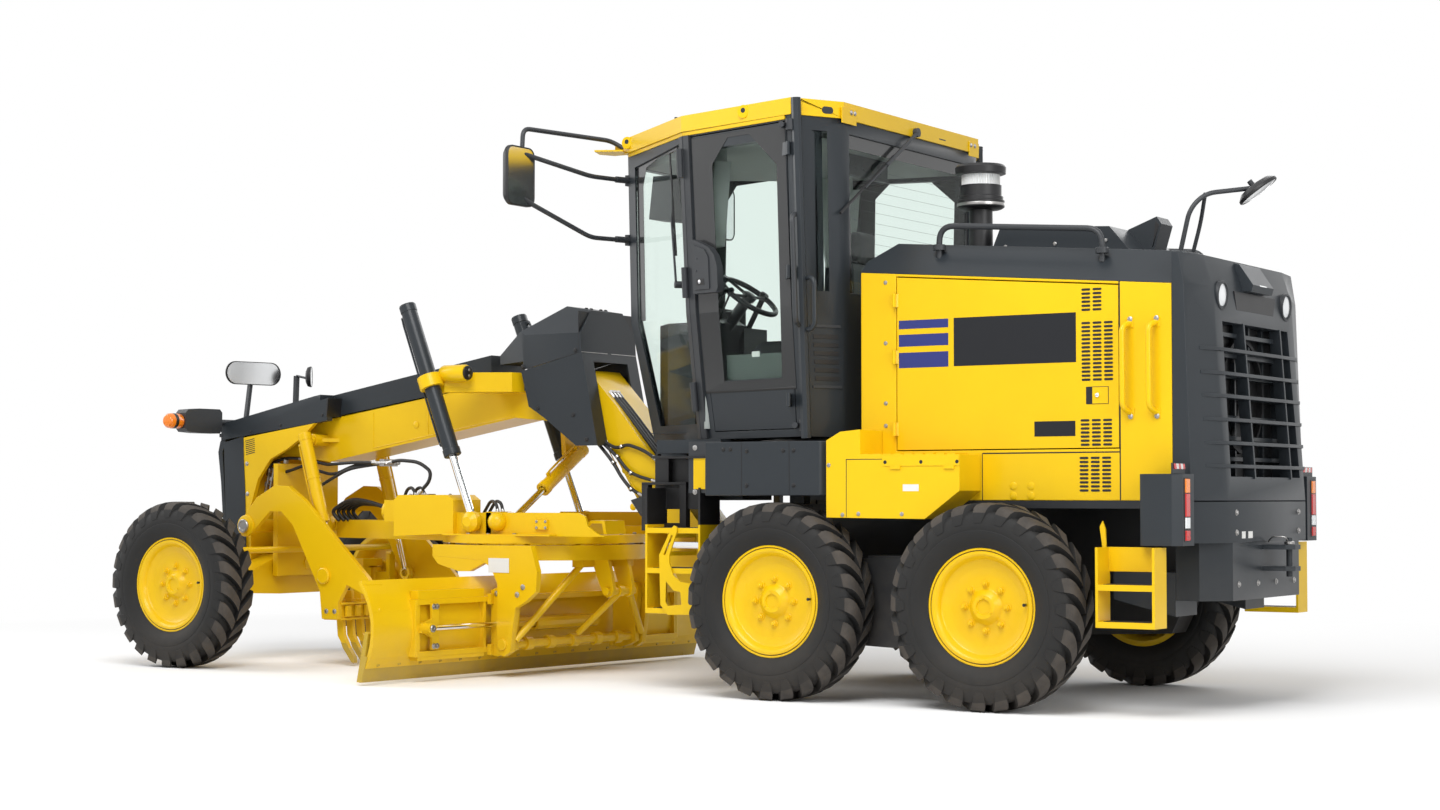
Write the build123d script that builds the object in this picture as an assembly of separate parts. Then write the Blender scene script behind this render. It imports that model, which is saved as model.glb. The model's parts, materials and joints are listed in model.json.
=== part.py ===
"""Articulated motor grader with a mid-mounted scarifier, built as separate pieces.

Units are millimetres. +Z is up, the machine drives towards -Y, and +X is its left side.
The origin is on the ground, under the middle of the machine's bounding box.
"""
from build123d import *
from math import asin, cos, pi, radians, sin
import os

# Wheels and axles
AXLE_Z = 525.0            # axle height, equal to the tyre radius
TYRE_R = 525.0
TYRE_GROOVE_R = 492.0     # floor of the tread grooves
TYRE_HALF_W = 140.0
RIM_R = 299.0
RIM_HALF_W = 106.0
WHEEL_X = 1004.0          # middle plane of a wheel
REAR_AXLE_Y = 2500.0
MID_AXLE_Y = 1250.0
FRONT_AXLE_Y = -3220.0
KINGPIN_X = 815.0

# Frames
ARTIC_Y = 350.0           # vertical articulation pin
BEAM_HALF_W = 165.0
FRAME_RAIL_X = 300.0      # centre of a rear frame rail
HITCH_PIN_TOP = 870.0

# Cab, as plan corners of its left half at three heights
CAB_FLOOR_Z = 1400.0
CAB_TOP_Z = 3115.0
ROOF_TOP_Z = 3205.0
CAB_WALL = 50.0
DOOR_GAP = 6.0

# Hood
HOOD_X = 810.0
HOOD_FRONT_Y = 1640.0
HOOD_REAR_Y = 3400.0
HOOD_LOW_Z = 1060.0
HOOD_EDGE_FRONT_Z = 2275.0
HOOD_TOP_X = 620.0
HOOD_TOP_RISE = 175.0
HOOD_SLOPE = -0.08
HOOD_SKIN = 25.0
HOOD_DOOR_Y = (1860.0, 3118.0)
HOOD_DOOR_LOW_Z = 1325.0

# Fittings
PRE_CLEANER = (225.0, 2060.0)
HOOD_RAIL_X = 690.0

# Working gear
DRAWBAR_BALL = (0.0, -2850.0, 900.0)
CIRCLE_Y = -1080.0
CIRCLE_Z = (700.0, 790.0)
CIRCLE_R = 640.0
RING_SIDES = 28
CIRCLE_TEETH = 32
BLADE_REST_TURN = -4.0    # degrees about +Z, as parked
BLADE_HALF_L = 1550.0
BLADE_SIDE = -6.0         # rest offset of the blade along its rails
BLADE_LOW_Z = 18.0
BLADE_PIN = (-860.0, 200.0)
ARM_X = 620.0             # middle plane of a circle arm
CARRIER_X = 570.0         # middle plane of a blade carrier
LIFT_X = 560.0
LIFT_TRUNNION = (-1550.0, 1785.0)
LIFT_EYE = (-1210.0, 930.0)
SHIFT_Y = -1060.0
SHIFT_TRUNNION = (-300.0, 1350.0)   # x, z
SHIFT_EYE = (380.0, 930.0)          # x, z
SCARIFIER_PIN = (-3210.0, 890.0)
SCARIFIER_ARM_X = 430.0
SCAR_CYL_X = 350.0
SCAR_CYL_TOP = (-2780.0, 1450.0)
SCAR_CYL_EYE = (-2520.0, 575.0)
ARTIC_CYL_Z = 800.0
ARTIC_CYL_REAR = (450.0, 1150.0)    # x, y
ARTIC_CYL_EYE = (330.0, 60.0)       # x, y

PARTS = {}


def keep(name, *solids):
    """Store the solids of one node."""
    kept = []
    for solid in solids:
        kept += list(solid) if isinstance(solid, (list, tuple)) else [solid]
    PARTS[name] = kept


def box(x, y, z):
    """Axis-aligned block from three (low, high) pairs."""
    size = (x[1] - x[0], y[1] - y[0], z[1] - z[0])
    return Pos(x[0], y[0], z[0]) * Box(*size, align=(Align.MIN, Align.MIN, Align.MIN))


def side_plate(points, x0, x1):
    """Profile of (y, z) points, extruded from x0 to x1."""
    face = make_face(Polyline(*points, close=True))
    return extrude(Plane.YZ.offset(x0) * face, x1 - x0)


def plan_plate(points, z0, z1):
    """Profile of (x, y) points, extruded from z0 to z1."""
    face = make_face(Polyline(*points, close=True))
    return extrude(Plane.XY.offset(z0) * face, z1 - z0)


def cross_plate(points, y0, y1):
    """Profile of (x, z) points, extruded from y0 to y1."""
    face = make_face(Polyline(*points, close=True))
    return extrude(Plane.XZ.offset(-y1) * face, y1 - y0)


def rod(start, end, radius):
    """Round bar between two points."""
    start, end = Vector(*start), Vector(*end)
    plane = Plane(origin=start, z_dir=end - start)
    return plane * Cylinder(radius, (end - start).length, align=(Align.CENTER, Align.CENTER, Align.MIN))


def bar(start, end, radius, sides=10):
    """Bar with a many-sided section whose corners lie on the radius."""
    start, end = Vector(*start), Vector(*end)
    plane = Plane(origin=start, z_dir=end - start)
    return extrude(plane * RegularPolygon(radius, sides), (end - start).length)


def pillar(x, y, z0, z1, radius, sides=10):
    """Upright bar."""
    return bar((x, y, z0), (x, y, z1), radius, sides)


def bent_bar(points, radius, sides=6):
    """Bar along straight runs that meet in mitred corners."""
    path = Polyline(*points)
    return sweep(Plane(path @ 0, z_dir=path % 0) * RegularPolygon(radius, sides), path=path, transition=Transition.RIGHT)


def flat_face(points):
    """Face inside a closed outline of flat points."""
    return Face(Wire.make_polygon([Vector(*p) for p in points], close=True))


def lathe_rings(profile, sides):
    """Corner points of each ring about the X axis, from (x, radius) points."""
    angles = [2 * pi * i / sides for i in range(sides)]
    return [[(x, radius * cos(angle), radius * sin(angle)) for angle in angles] for x, radius in profile]


def lathe(profile, sides):
    """Many-sided turned piece about the X axis with flat ends."""
    rings = lathe_rings(profile, sides)
    faces = [flat_face(rings[0]), flat_face(rings[-1])]
    for first, second in zip(rings, rings[1:]):
        for i in range(sides):
            j = (i + 1) % sides
            faces.append(flat_face((first[i], first[j], second[j], second[i])))
    return solid_of(faces)


def solid_of(faces):
    """Solid from faces that close, turned outwards."""
    solid = Solid(Shell(faces))
    return solid if solid.volume > 0 else -solid


def mirrored(solid):
    """The same piece on the machine's other side."""
    return mirror(solid, Plane.YZ)


def both(solid):
    """A piece and its mirror image."""
    return [solid, mirrored(solid)]


def fused(first, *others):
    """One solid from pieces that meet."""
    for other in others:
        first = first + other
    return first


# Wheels


def tyre():
    """Tyre about the X axis at the origin: slanted lugs on each side of a middle rib."""
    faces = []
    for side in (1, -1):
        for k in range(2 * LUG_COUNT):
            raised = (k % 2 == 0) == (side > 0)
            faces += strip(side, k, LUG_ROWS if raised else GROOVE_ROWS)
            flank = [tread_point(side, k, *row) for row in (*GROOVE_ROWS[1:], *reversed(LUG_ROWS[:-1]))]
            faces += [flat_face((flank[1], flank[i], flank[i + 1])) for i in (2, 3)]
            faces.append(flat_face((flank[0], flank[1], flank[4])))
        faces += sidewall(side)
    for k in range(2 * LUG_COUNT):
        rib = [tread_point(side, k + step, *LUG_ROWS[0]) for side, step in ((1, 0), (1, 1), (-1, 1), (-1, 0))]
        faces.append(flat_face(rib))
    bore = lathe_rings(((BEAD_ROW[0], BEAD_ROW[1]), (-BEAD_ROW[0], BEAD_ROW[1])), LUG_COUNT)
    for i in range(LUG_COUNT):
        j = (i + 1) % LUG_COUNT
        faces.append(flat_face((bore[0][i], bore[0][j], bore[1][j], bore[1][i])))
    return solid_of(faces)


def tread_point(side, k, x, radius):
    """Point of the tread at half pitch k, moved around the tyre by the lugs' slant."""
    slant = radians(LUG_SLANT) * (min(x, SHOULDER_ROW[0]) - RIB_HALF_W) / (SHOULDER_ROW[0] - RIB_HALF_W)
    angle = pi * k / LUG_COUNT + slant
    return (side * x, radius * cos(angle), radius * sin(angle))


def strip(side, k, rows):
    """Surface of one half pitch across the tread, in triangles because it twists."""
    faces = []
    for near_row, far_row in zip(rows, rows[1:]):
        a, b = tread_point(side, k, *near_row), tread_point(side, k + 1, *near_row)
        c, d = tread_point(side, k + 1, *far_row), tread_point(side, k, *far_row)
        faces += [flat_face((a, b, c)), flat_face((a, c, d))]
    return faces


def sidewall(side):
    """Bulged wall from the shoulder to the bead, with half as many sides as the tread."""
    faces = []
    bulge = [tread_point(side, 2 * i - 1, *BULGE_ROW) for i in range(LUG_COUNT)]
    bead = lathe_rings(((side * BEAD_ROW[0], BEAD_ROW[1]),), LUG_COUNT)[0]
    for i in range(LUG_COUNT):
        j = (i + 1) % LUG_COUNT
        shoulder = [tread_point(side, 2 * i + step, *SHOULDER_ROW) for step in (-1, 0, 1)]
        faces += [flat_face((bulge[i], shoulder[0], shoulder[1])), flat_face((bulge[i], shoulder[1], bulge[j]))]
        faces.append(flat_face((bulge[j], shoulder[1], shoulder[2])))
        faces += [flat_face((bead[i], bulge[i], bulge[j])), flat_face((bead[i], bulge[j], bead[j]))]
    return faces


LUG_COUNT = 16            # on each side, and flat sides of a rim
LUG_SLANT = 180.0 / LUG_COUNT   # degrees that a lug trails from the middle to the shoulder, half a pitch
RIB_HALF_W = 8.0
SHOULDER_ROW = (136.0, 432.0)   # x, radius
BULGE_ROW = (TYRE_HALF_W, 375.0)
BEAD_ROW = (RIM_HALF_W + 1, RIM_R + 0.5)
LUG_ROWS = ((RIB_HALF_W, TYRE_R), (84.0, TYRE_R), SHOULDER_ROW)
GROOVE_ROWS = ((RIB_HALF_W, TYRE_R), (RIB_HALF_W, TYRE_GROOVE_R), (112.0, TYRE_GROOVE_R - 8), SHOULDER_ROW)


def rim(outward):
    """Rim, dished wheel disc and hub about the X axis at the origin; outward is +1 or -1."""
    wheel = lathe(((84, 40), (84, 62), (52, 92), (52, 200), (66, 238), (RIM_HALF_W, 268), (RIM_HALF_W, RIM_R),
                   (-RIM_HALF_W, RIM_R), (-RIM_HALF_W, 268), (34, 236), (16, 60)), LUG_COUNT)
    return wheel if outward > 0 else mirror(wheel, Plane.YZ)


def wheels():
    """Six wheels, each a tyre node and a rim node."""
    table = (  # name, side, y of the axle
        ("front_left", 1, FRONT_AXLE_Y), ("front_right", -1, FRONT_AXLE_Y),
        ("mid_left", 1, MID_AXLE_Y), ("mid_right", -1, MID_AXLE_Y),
        ("rear_left", 1, REAR_AXLE_Y), ("rear_right", -1, REAR_AXLE_Y))
    plain_tyre = tyre()
    for name, side, y in table:
        place = Pos(side * WHEEL_X, y, AXLE_Z)
        keep("tyre_" + name, place * plain_tyre)
        keep("rim_" + name, place * rim(side))


# Rear frame and running gear


def rear_frame():
    """Rails, cross members and the pin yoke at the articulation."""
    rail = plan_plate(((120, 445), (190, 445), (335, 900), (335, 3330), (265, 3330), (265, 930)), 600, 1040)
    rail = rail & side_plate(((430, 640), (430, 960), (900, 1040), (3340, 1040), (3340, 660), (1000, 660)), 0, 500)
    frame = fused(rail, mirrored(rail))
    for half, y0, y1, z0, z1 in ((195, 445, 520, 640, 960), (336, 1800, 1960, 660, 1030), (336, 3200, 3330, 660, 1030)):
        frame += box((-half, half), (y0, y1), (z0, z1))
    for z0 in (655, 885):
        tongue = plan_plate(((-150, 450), (150, 450), (90, ARTIC_Y), (-90, ARTIC_Y)), z0, z0 + 60)
        frame += tongue + pillar(0, ARTIC_Y, z0, z0 + 60, 90)
    frame -= Pos(0, ARTIC_Y, 600) * Cylinder(40.05, 400, align=(Align.CENTER, Align.CENTER, Align.MIN))
    x, y = ARTIC_CYL_REAR
    for side in (1, -1):
        for z0 in (730, 846):
            frame += box(sorted((side * 330, side * (x + 40))), (y - 40, y + 40), (z0, z0 + 24))
        frame += pillar(side * x, y, 740, 860, 18, 8)
    keep("rear_frame", frame)


def tandems():
    """Chain cases on each side with their stub axles, and the axle housing between them."""
    case = side_plate(((880, 560), (960, 700), (1750, 760), (2000, 760), (2790, 700), (2870, 560), (2870, 480),
                       (2790, 320), (1900, 285), (960, 320), (880, 480)), 640, 850)
    for y in (MID_AXLE_Y, REAR_AXLE_Y):
        case += rod((840, y, AXLE_Z), (WHEEL_X + 12, y, AXLE_Z), 58)
    centre_y = (MID_AXLE_Y + REAR_AXLE_Y) / 2
    housing = bar((360, centre_y, AXLE_Z), (645, centre_y, AXLE_Z), 130)
    centre = box((-360, 360), (centre_y - 190, centre_y + 190), (AXLE_Z - 190, 660))
    keep("tandem_axle", fused(centre, case, housing, mirrored(case), mirrored(housing)))


def bumper():
    """Rear counterweight with the tow hitch and its pin."""
    block = plan_plate(((-800, 3335), (800, 3335), (800, 3480), (560, 3590), (-560, 3590), (-800, 3480)), 850, 1055)
    lower = plan_plate(((-620, 3335), (620, 3335), (620, 3460), (480, 3580), (-480, 3580), (-620, 3460)), 560, 852)
    skirt = side_plate(((3000, 560), (3334, 480), (3334, 700), (3000, 700)), 340, 620)
    weight = fused(block, lower)
    for z0 in (700, 810):
        weight += plan_plate(((-70, 3570), (70, 3570), (70, 3705), (40, 3745), (-40, 3745), (-70, 3705)), z0, z0 + 24)
    weight += rod((0, 3700, 670), (0, 3700, HITCH_PIN_TOP), 16)
    keep("rear_bumper", weight, both(skirt))


def under_cab():
    """Tool and battery boxes under the cab on both sides, with the cab's cross bearers."""
    side_box = plan_plate(((560, 800), (1050, 800), (1050, 1520), (1000, 1560), (560, 1560)), 1085, 1375)
    bearers = box((-560, 560), (900, 1000), (1200, 1375)) + box((-560, 560), (1400, 1500), (1200, 1375))
    legs = box((265, 335), (900, 1000), (1040, 1202)) + box((265, 335), (1400, 1500), (1040, 1202))
    keep("cab_base", fused(side_box, mirrored(side_box), bearers, legs, mirrored(legs)))


def side_tanks():
    """Fuel tank box on each side with its raised front part, and the step plates before and behind it."""
    tank = side_plate(((1565, 970), (1565, 1375), (1650, 1420), (1770, 1430), (1770, 1300), (2350, 1295), (2350, 1110),
                       (2150, 965)), HOOD_X + 2, 1050)
    front_step = step(700, 900, 300, 670, 430, 1130, 3)
    bracket = side_plate(((160, 890), (160, 1150), (200, 1150), (200, 930), (420, 930), (420, 1150), (460, 1150),
                          (460, 890)), 690, 730)
    rear_step = step(930, 1080, 3105, 3415, 440, 832, 2)
    keep("tanks_and_steps", both(tank), both(front_step), both(bracket), both(rear_step))


def step(x0, x1, y0, y1, z0, z1, treads):
    """Open step box: two upright cheeks with level treads between them."""
    thick = 14
    frame = box((x0, x1), (y0, y0 + thick), (z0, z1)) + box((x0, x1), (y1 - thick, y1), (z0, z1))
    for i in range(treads):
        z = z0 + (z1 - z0 - 30) * i / treads
        frame += box((x0, x1), (y0, y1), (z, z + 30))
    return frame + box((x0, x0 + thick), (y0, y1), (z1 - 120, z1))


# Cab

CAB_LEVELS = (  # z, then the left half's corners (x, y): front, door front, post, rear
    (CAB_FLOOR_Z, (330, -30), (690, 550), (985, 1400), (740, 1505)),
    (2100.0, (338, -195), (800, 545), (1030, 1380), (770, 1510)),
    (CAB_TOP_Z, (345, -216), (868, 536), (1075, 1365), (790, 1516)),
)


def cab_level(level, inset):
    """Closed plan wire of the cab at one height, moved inwards."""
    z, *half = level
    points = [*half, *[(-x, y) for x, y in reversed(half)]]
    face = make_face(Polyline(*points, close=True))
    outline = offset(face, -inset, kind=Kind.INTERSECTION) if inset else face
    return Pos(0, 0, z) * outline


def cab_body(inset, lift=0.0, drop=0.0):
    """Solid of the cab's outline moved inwards; lift and drop shorten it."""
    low, kink, top = CAB_LEVELS
    lower = loft([cab_level(low, inset).faces()[0], cab_level(kink, inset).faces()[0]], ruled=True)
    upper = loft([cab_level(kink, inset).faces()[0], cab_level(top, inset).faces()[0]], ruled=True)
    body = lower + upper
    if lift or drop:
        body = body & box((-1500, 1500), (-600, 2000), (CAB_FLOOR_Z + lift, CAB_TOP_Z - drop))
    return body


DOOR_FRONT = ((868.0, 590.0), -0.52)   # a point on the slanting front edge in plan, and its slope
DOOR_REAR_Y = 1335.0
DOOR_Z = (1440.0, 3085.0)   # from the floor plate up
DOOR_HINGE = (1080.0, 1352.0)
HOOD_HINGE = (830.0, 1852.0)
CORNER_POST = ((1000.0, 1414.0, 1390.0), (1067.0, 1392.0, ROOF_TOP_Z - 2.0))
SEAT_BASE_Y = 725.0


def door_prism(margin):
    """Upright prism that cuts a cab door from the wall; its front edge is square to the door's swing."""
    (x, y), slope = DOOR_FRONT
    front = [(edge_x, y + slope * (edge_x - x) + margin) for edge_x in (500, 1300)]
    return plan_plate((*front, (1300, DOOR_REAR_Y - margin), (500, DOOR_REAR_Y - margin)), DOOR_Z[0] + margin, DOOR_Z[1] - margin)


def hinge_tubes(place, levels):
    """Hinge barrels on an upright axis from (z, dx, dy) rows; each leaf reaches by dx and dy to the door."""
    x, y = place
    tubes = []
    for z, dx, dy in levels:
        leaf = plan_plate(((x - 4, y + 4), (x + 4, y - 4), (x + dx + 4, y + dy - 4), (x + dx - 4, y + dy + 4)), z, z + 70)
        barrel = pillar(x, y, z, z + 70, 11, 8) if tubes else rod((x, y, z), (x, y, z + 70), 11)
        tubes.append(barrel + leaf)
    return tubes


def cab():
    """Cab shell with cut windows, its glass, both doors, roof, seat and controls."""
    outer, inner = cab_body(0), cab_body(CAB_WALL)
    inner = inner & box((-1500, 1500), (-600, 2000), (CAB_FLOOR_Z + 40, CAB_TOP_Z + 1))
    shell = outer - inner
    pane = cab_body(14) - cab_body(22)
    corner_window = side_plate(((60, 1490), (500, 1490), (500, 3060), (-120, 3020), (-110, 2120)), 150, 1300)
    front_window = cross_plate(((-285, 1480), (285, 1480), (290, 3030), (-290, 3030)), -500, 90)
    rear_window = cross_plate(((-700, 2180), (700, 2180), (715, 3040), (-715, 3040)), 1445, 1700)
    quarter_window = side_plate(((1425, 2180), (1470, 2180), (1470, 3040), (1425, 3040)), 700, 1300)
    windows = [corner_window, mirrored(corner_window), front_window, rear_window,
               quarter_window, mirrored(quarter_window)]
    glass = []
    for window in windows:
        shell = shell - window
        glass += (pane & window).solids()
    hole = door_prism(0)
    door = (outer - inner) & door_prism(DOOR_GAP)
    door_window = side_plate(((720, 1720), (1265, 1720), (1265, 3000), (665, 3000)), 500, 1300)
    door_glass = pane & door_window
    door = door - door_window
    for tube in hinge_tubes(DOOR_HINGE, ((1560, -140, -74), (2240, -80, -64), (2900, -42, -66))):
        door = door + tube
    shell = shell - hole - mirrored(hole)
    post = bar(*CORNER_POST, 28, 8)
    shell = fused(shell, post, mirrored(post))
    keep("cab_shell", shell)
    keep("cab_glass", glass)
    keep("door_left", door)
    keep("door_right", mirrored(door))
    keep("door_glass_left", door_glass)
    keep("door_glass_right", mirrored(door_glass))
    roof_face = cab_level((CAB_TOP_Z, *[(x + dx, y + dy) for (x, y), (dx, dy) in zip(
        CAB_LEVELS[2][1:], ((4, -30), (14, -6), (8, 4), (4, 12)))]), 0)
    keep("cab_roof", extrude(roof_face, ROOF_TOP_Z - CAB_TOP_Z) - post - mirrored(post))
    seat = box((-230, 230), (760, 1180), (1760, 1880)) + box((-230, 230), (1120, 1240), (1850, 2420))
    seat += box((-120, 120), (1150, 1230), (2400, 2600))
    keep("seat", seat)
    console = box((-130, 130), (80, 300), (CAB_FLOOR_Z + 40, 1980)) + bar((0, 260, 1900), (0, 420, 2110), 30, 8)
    wheel_plane = Plane(origin=(0, 420, 2110), z_dir=(0, 160, 210))
    ring = extrude(wheel_plane * (RegularPolygon(200, 12) - RegularPolygon(176, 12)), 22)
    console += ring + wheel_plane * Box(370, 34, 24)
    for side in (1, -1):
        console += box(sorted((side * 330, side * 470)), (SEAT_BASE_Y, 1180), (1700, 1960))
    console += box((-500, 500), (SEAT_BASE_Y, 1100), (CAB_FLOOR_Z + 40, 1710))
    keep("console", console)


# Hood


def edge_z(y):
    """Height of the hood's shoulder line, which falls towards the rear."""
    return HOOD_EDGE_FRONT_Z + HOOD_SLOPE * (y - HOOD_FRONT_Y)


def hood():
    """Engine hood: fixed sides, two side doors, sloped dark top and the engine inside."""
    side = ((HOOD_FRONT_Y, HOOD_LOW_Z), (HOOD_REAR_Y, HOOD_LOW_Z), (HOOD_REAR_Y, edge_z(HOOD_REAR_Y)),
            (HOOD_FRONT_Y, HOOD_EDGE_FRONT_Z))
    shell = side_plate(side, -HOOD_X, HOOD_X) - box((-HOOD_X + HOOD_SKIN, HOOD_X - HOOD_SKIN),
                                                    (HOOD_FRONT_Y + HOOD_SKIN, HOOD_REAR_Y - HOOD_SKIN), (1000, 2400))
    shell -= box((-560, 560), (HOOD_REAR_Y - 60, HOOD_REAR_Y + 10), (1180, 2000))
    y0, y1 = HOOD_DOOR_Y
    gap = 6
    leaf = side_plate(((y0, HOOD_DOOR_LOW_Z), (y1, HOOD_DOOR_LOW_Z), (y1, edge_z(y1) - 20), (y0, edge_z(y0) - 20)),
                      HOOD_X - HOOD_SKIN, HOOD_X)
    opening = side_plate(((y0 - gap, HOOD_DOOR_LOW_Z - gap), (y1 + gap, HOOD_DOOR_LOW_Z - gap),
                          (y1 + gap, edge_z(y1) - 20 + gap), (y0 - gap, edge_z(y0) - 20 + gap)), -HOOD_X - 5, HOOD_X + 5)
    keep("hood_sides", shell - opening)
    for tube in hinge_tubes(HOOD_HINGE, ((1400, -30, 24), (1780, -30, 24), (2080, -30, 24))):
        leaf = leaf + tube
    keep("hood_door_left", leaf)
    keep("hood_door_right", mirrored(leaf))
    cap = hood_cap(HOOD_X, HOOD_TOP_X, 0, HOOD_TOP_RISE, HOOD_FRONT_Y, HOOD_REAR_Y)
    cap -= side_plate(((HOOD_FRONT_Y - 10, 2330), (HOOD_FRONT_Y + 150, 2460), (HOOD_FRONT_Y + 150, 2600),
                       (HOOD_FRONT_Y - 10, 2600)), -900, 900)
    inner = hood_cap(HOOD_X - 32, HOOD_TOP_X - 14, -1, HOOD_TOP_RISE - HOOD_SKIN, HOOD_FRONT_Y + HOOD_SKIN, HOOD_REAR_Y - HOOD_SKIN)
    inner -= side_plate(((HOOD_FRONT_Y, 2310), (HOOD_FRONT_Y + 190, 2460), (HOOD_FRONT_Y + 150, 2600),
                         (HOOD_FRONT_Y - 10, 2600)), -900, 900)
    pod = side_plate(((2170, 2390), (2230, 2530), (2860, 2495), (2990, 2345), (2990, 2300), (2170, 2360)), -330, 330)
    keep("hood_top", cap + (pod - cap).solids().sort_by(Axis.Z)[-1] - inner)
    keep("engine", box((-380, 380), (1950, 2950), (1045, 1950)))


def hood_cap(low_x, top_x, low, rise, y0, y1):
    """Bevelled prism that follows the hood's slope."""
    ends = []
    for y in (y0, y1):
        z = edge_z(y)
        outline = Polyline((-low_x, z + low), (low_x, z + low), (top_x, z + rise), (-top_x, z + rise), close=True)
        ends.append((Plane.XZ.offset(-y) * make_face(outline)).faces()[0])
    return loft(ends, ruled=True)


def rear_grille():
    """Dark rear moulding with its barred opening."""
    sections = []
    for z, depth in ((1060.0, 190.0), (2130.0, 120.0), (2290.0, 70.0)):
        y = HOOD_REAR_Y
        outline = Polyline((-HOOD_X, y + 2), (HOOD_X, y + 2), (HOOD_X - 8, y + depth * 0.5), (560, y + depth),
                           (-560, y + depth), (-HOOD_X + 8, y + depth * 0.5), close=True)
        sections.append(Pos(0, 0, z) * make_face(outline))
    lower = loft([sections[0].faces()[0], sections[1].faces()[0]], ruled=True)
    upper = loft([sections[1].faces()[0], sections[2].faces()[0]], ruled=True)
    body = lower + upper
    body -= cross_plate(((-500, 1180), (500, 1180), (470, 1960), (-470, 1960)), HOOD_REAR_Y - 10, HOOD_REAR_Y + 300)
    for i in range(7):
        z = 1260 + i * 105
        body += box((-505, 505), (HOOD_REAR_Y + 60, HOOD_REAR_Y + 100), (z, z + 22))
    for x in (-300, -100, 100, 300):
        body += box((x - 10, x + 10), (HOOD_REAR_Y + 20, HOOD_REAR_Y + 56), (1175, 1965))
    keep("rear_grille", body)


def above(solid):
    """What stands out above the hood's top."""
    cap = hood_cap(HOOD_X, HOOD_TOP_X, -200, HOOD_TOP_RISE, HOOD_FRONT_Y, HOOD_REAR_Y)
    return (solid - cap - PARTS["hood_top"][0]).solids().sort_by(SortBy.VOLUME)[-1]


def deck_fittings():
    """Air cleaner, exhaust outlet, handrails, steps, lamps and mirrors carried by the rear frame."""
    x, y = PRE_CLEANER
    cleaner = pillar(x, y, 2380, 2640, 62) + pillar(x, y, 2640, 2690, 134, 12)
    cleaner += pillar(x, y, 2690, 2800, 112, 12) + pillar(x, y, 2800, 2860, 136, 12) + pillar(x, y, 2860, 2900, 60)
    stack = side_plate(((2700, 2360), (2860, 2500), (3020, 2560), (3050, 2520), (3000, 2330)), -80, 80)
    keep("intake_and_exhaust", [above(item) for item in (cleaner, stack)])
    handrail = bent_bar(((HOOD_RAIL_X, 2050, 2300), (HOOD_RAIL_X, 2050, 2510), (HOOD_RAIL_X, 2980, 2440),
                         (HOOD_RAIL_X, 2980, 2230)), 16)
    grabs = [bent_bar(((HOOD_X - 2, y, 1490), (HOOD_X + 60, y, 1510), (HOOD_X + 60, y, 1930), (HOOD_X - 2, y, 1950)), 14)
             for y in (3180, 3310)]
    pillar_grab = bent_bar(((1046, 1398, 1990), (1110, 1420, 2010), (1135, 1412, 2560), (1072, 1388, 2580)), 13)
    keep("rails", [part for item in (handrail, *grabs, pillar_grab) for part in both(trimmed(item))])
    lamp = plan_plate(((HOOD_X + 2, 3302), (985, 3302), (1000, 3330), (1000, 3470), (960, 3512), (HOOD_X + 2, 3512)), 840, 1190)
    keep("tail_lamps", both(lamp))


def trimmed(item):
    """What a rail leaves outside the panels that carry it."""
    panels = PARTS["hood_top"] + PARTS["hood_sides"] + PARTS["cab_shell"]
    for panel in panels:
        item = item - panel
    pieces = item.solids()
    return pieces.sort_by(SortBy.VOLUME)[-1]


def mirrors():
    """Two cab mirrors on three tube arms from the front pillars and the roof, and the rear view mirror on the hood."""
    arms = [bent_bar(((350, -212, 2605), (600, -300, 2600), (1040, -465, 2790)), 13),
            bent_bar(((350, -212, 2955), (600, -300, 2960), (1040, -465, 3060)), 13),
            bent_bar(((320, -235, 3160), (360, -330, 3205), (1040, -470, 3205), (1040, -470, 3060)), 13)]
    glass = plan_plate(((940, -500), (1195, -515), (1200, -445), (945, -430)), 2745, 3095)
    cab_mirror = fused(glass, *arms)
    for panel in PARTS["cab_shell"] + PARTS["cab_roof"] + PARTS["cab_glass"]:
        cab_mirror = cab_mirror - panel
    rear = bent_bar(((300, 3240, 2310), (300, 3300, 2640), (160, 3480, 2660)), 13)
    rear = rear + plan_plate(((-60, 3640), (-40, 3660), (215, 3440), (200, 3420)), 2570, 2740)
    for panel in PARTS["hood_top"]:
        rear = rear - panel
    keep("mirrors", both(cab_mirror.solids().sort_by(SortBy.VOLUME)[-1]), rear.solids().sort_by(SortBy.VOLUME)[-1])


def front_fittings():
    """Front lamps on their bracket, both front mirrors on posts and the work lamp on the leg."""
    lamps = []
    for side in (1, -1):
        head = box(sorted((side * 330, side * 680)), (-3640, -3530), (1500, 1665))
        amber = box(sorted((side * 680, side * 760)), (-3630, -3540), (1515, 1650))
        arm = box(sorted((side * 303, side * 335)), (-3600, -3560), (1540, 1600))
        lamps.append(fused(head, amber, arm))
    posts = []
    for x, y, z0, z1, turn in ((110, -3490, 1580, 1920, 20), (-230, -3300, 1600, 1890, 75)):
        plate = Pos(x, y, z1) * Rot(0, 0, turn) * Box(250, 22, 210)
        posts.append(bar((x, y, z0), (x, y, z1), 11, 6) + plate)
    work_lamp = box((-60, 60), (20, 92), (560, 640)) & side_plate(((20, 560), (20, 640), (92, 640), (92, 560)), -60, 60)
    pieces = []
    for item in (*lamps, *posts, work_lamp):
        for panel in PARTS["beam_covers"] + PARTS["front_beam"]:
            item = item - panel
        pieces.append(item.solids().sort_by(SortBy.VOLUME)[-1])
    keep("front_fittings", pieces)


# Front frame


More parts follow.
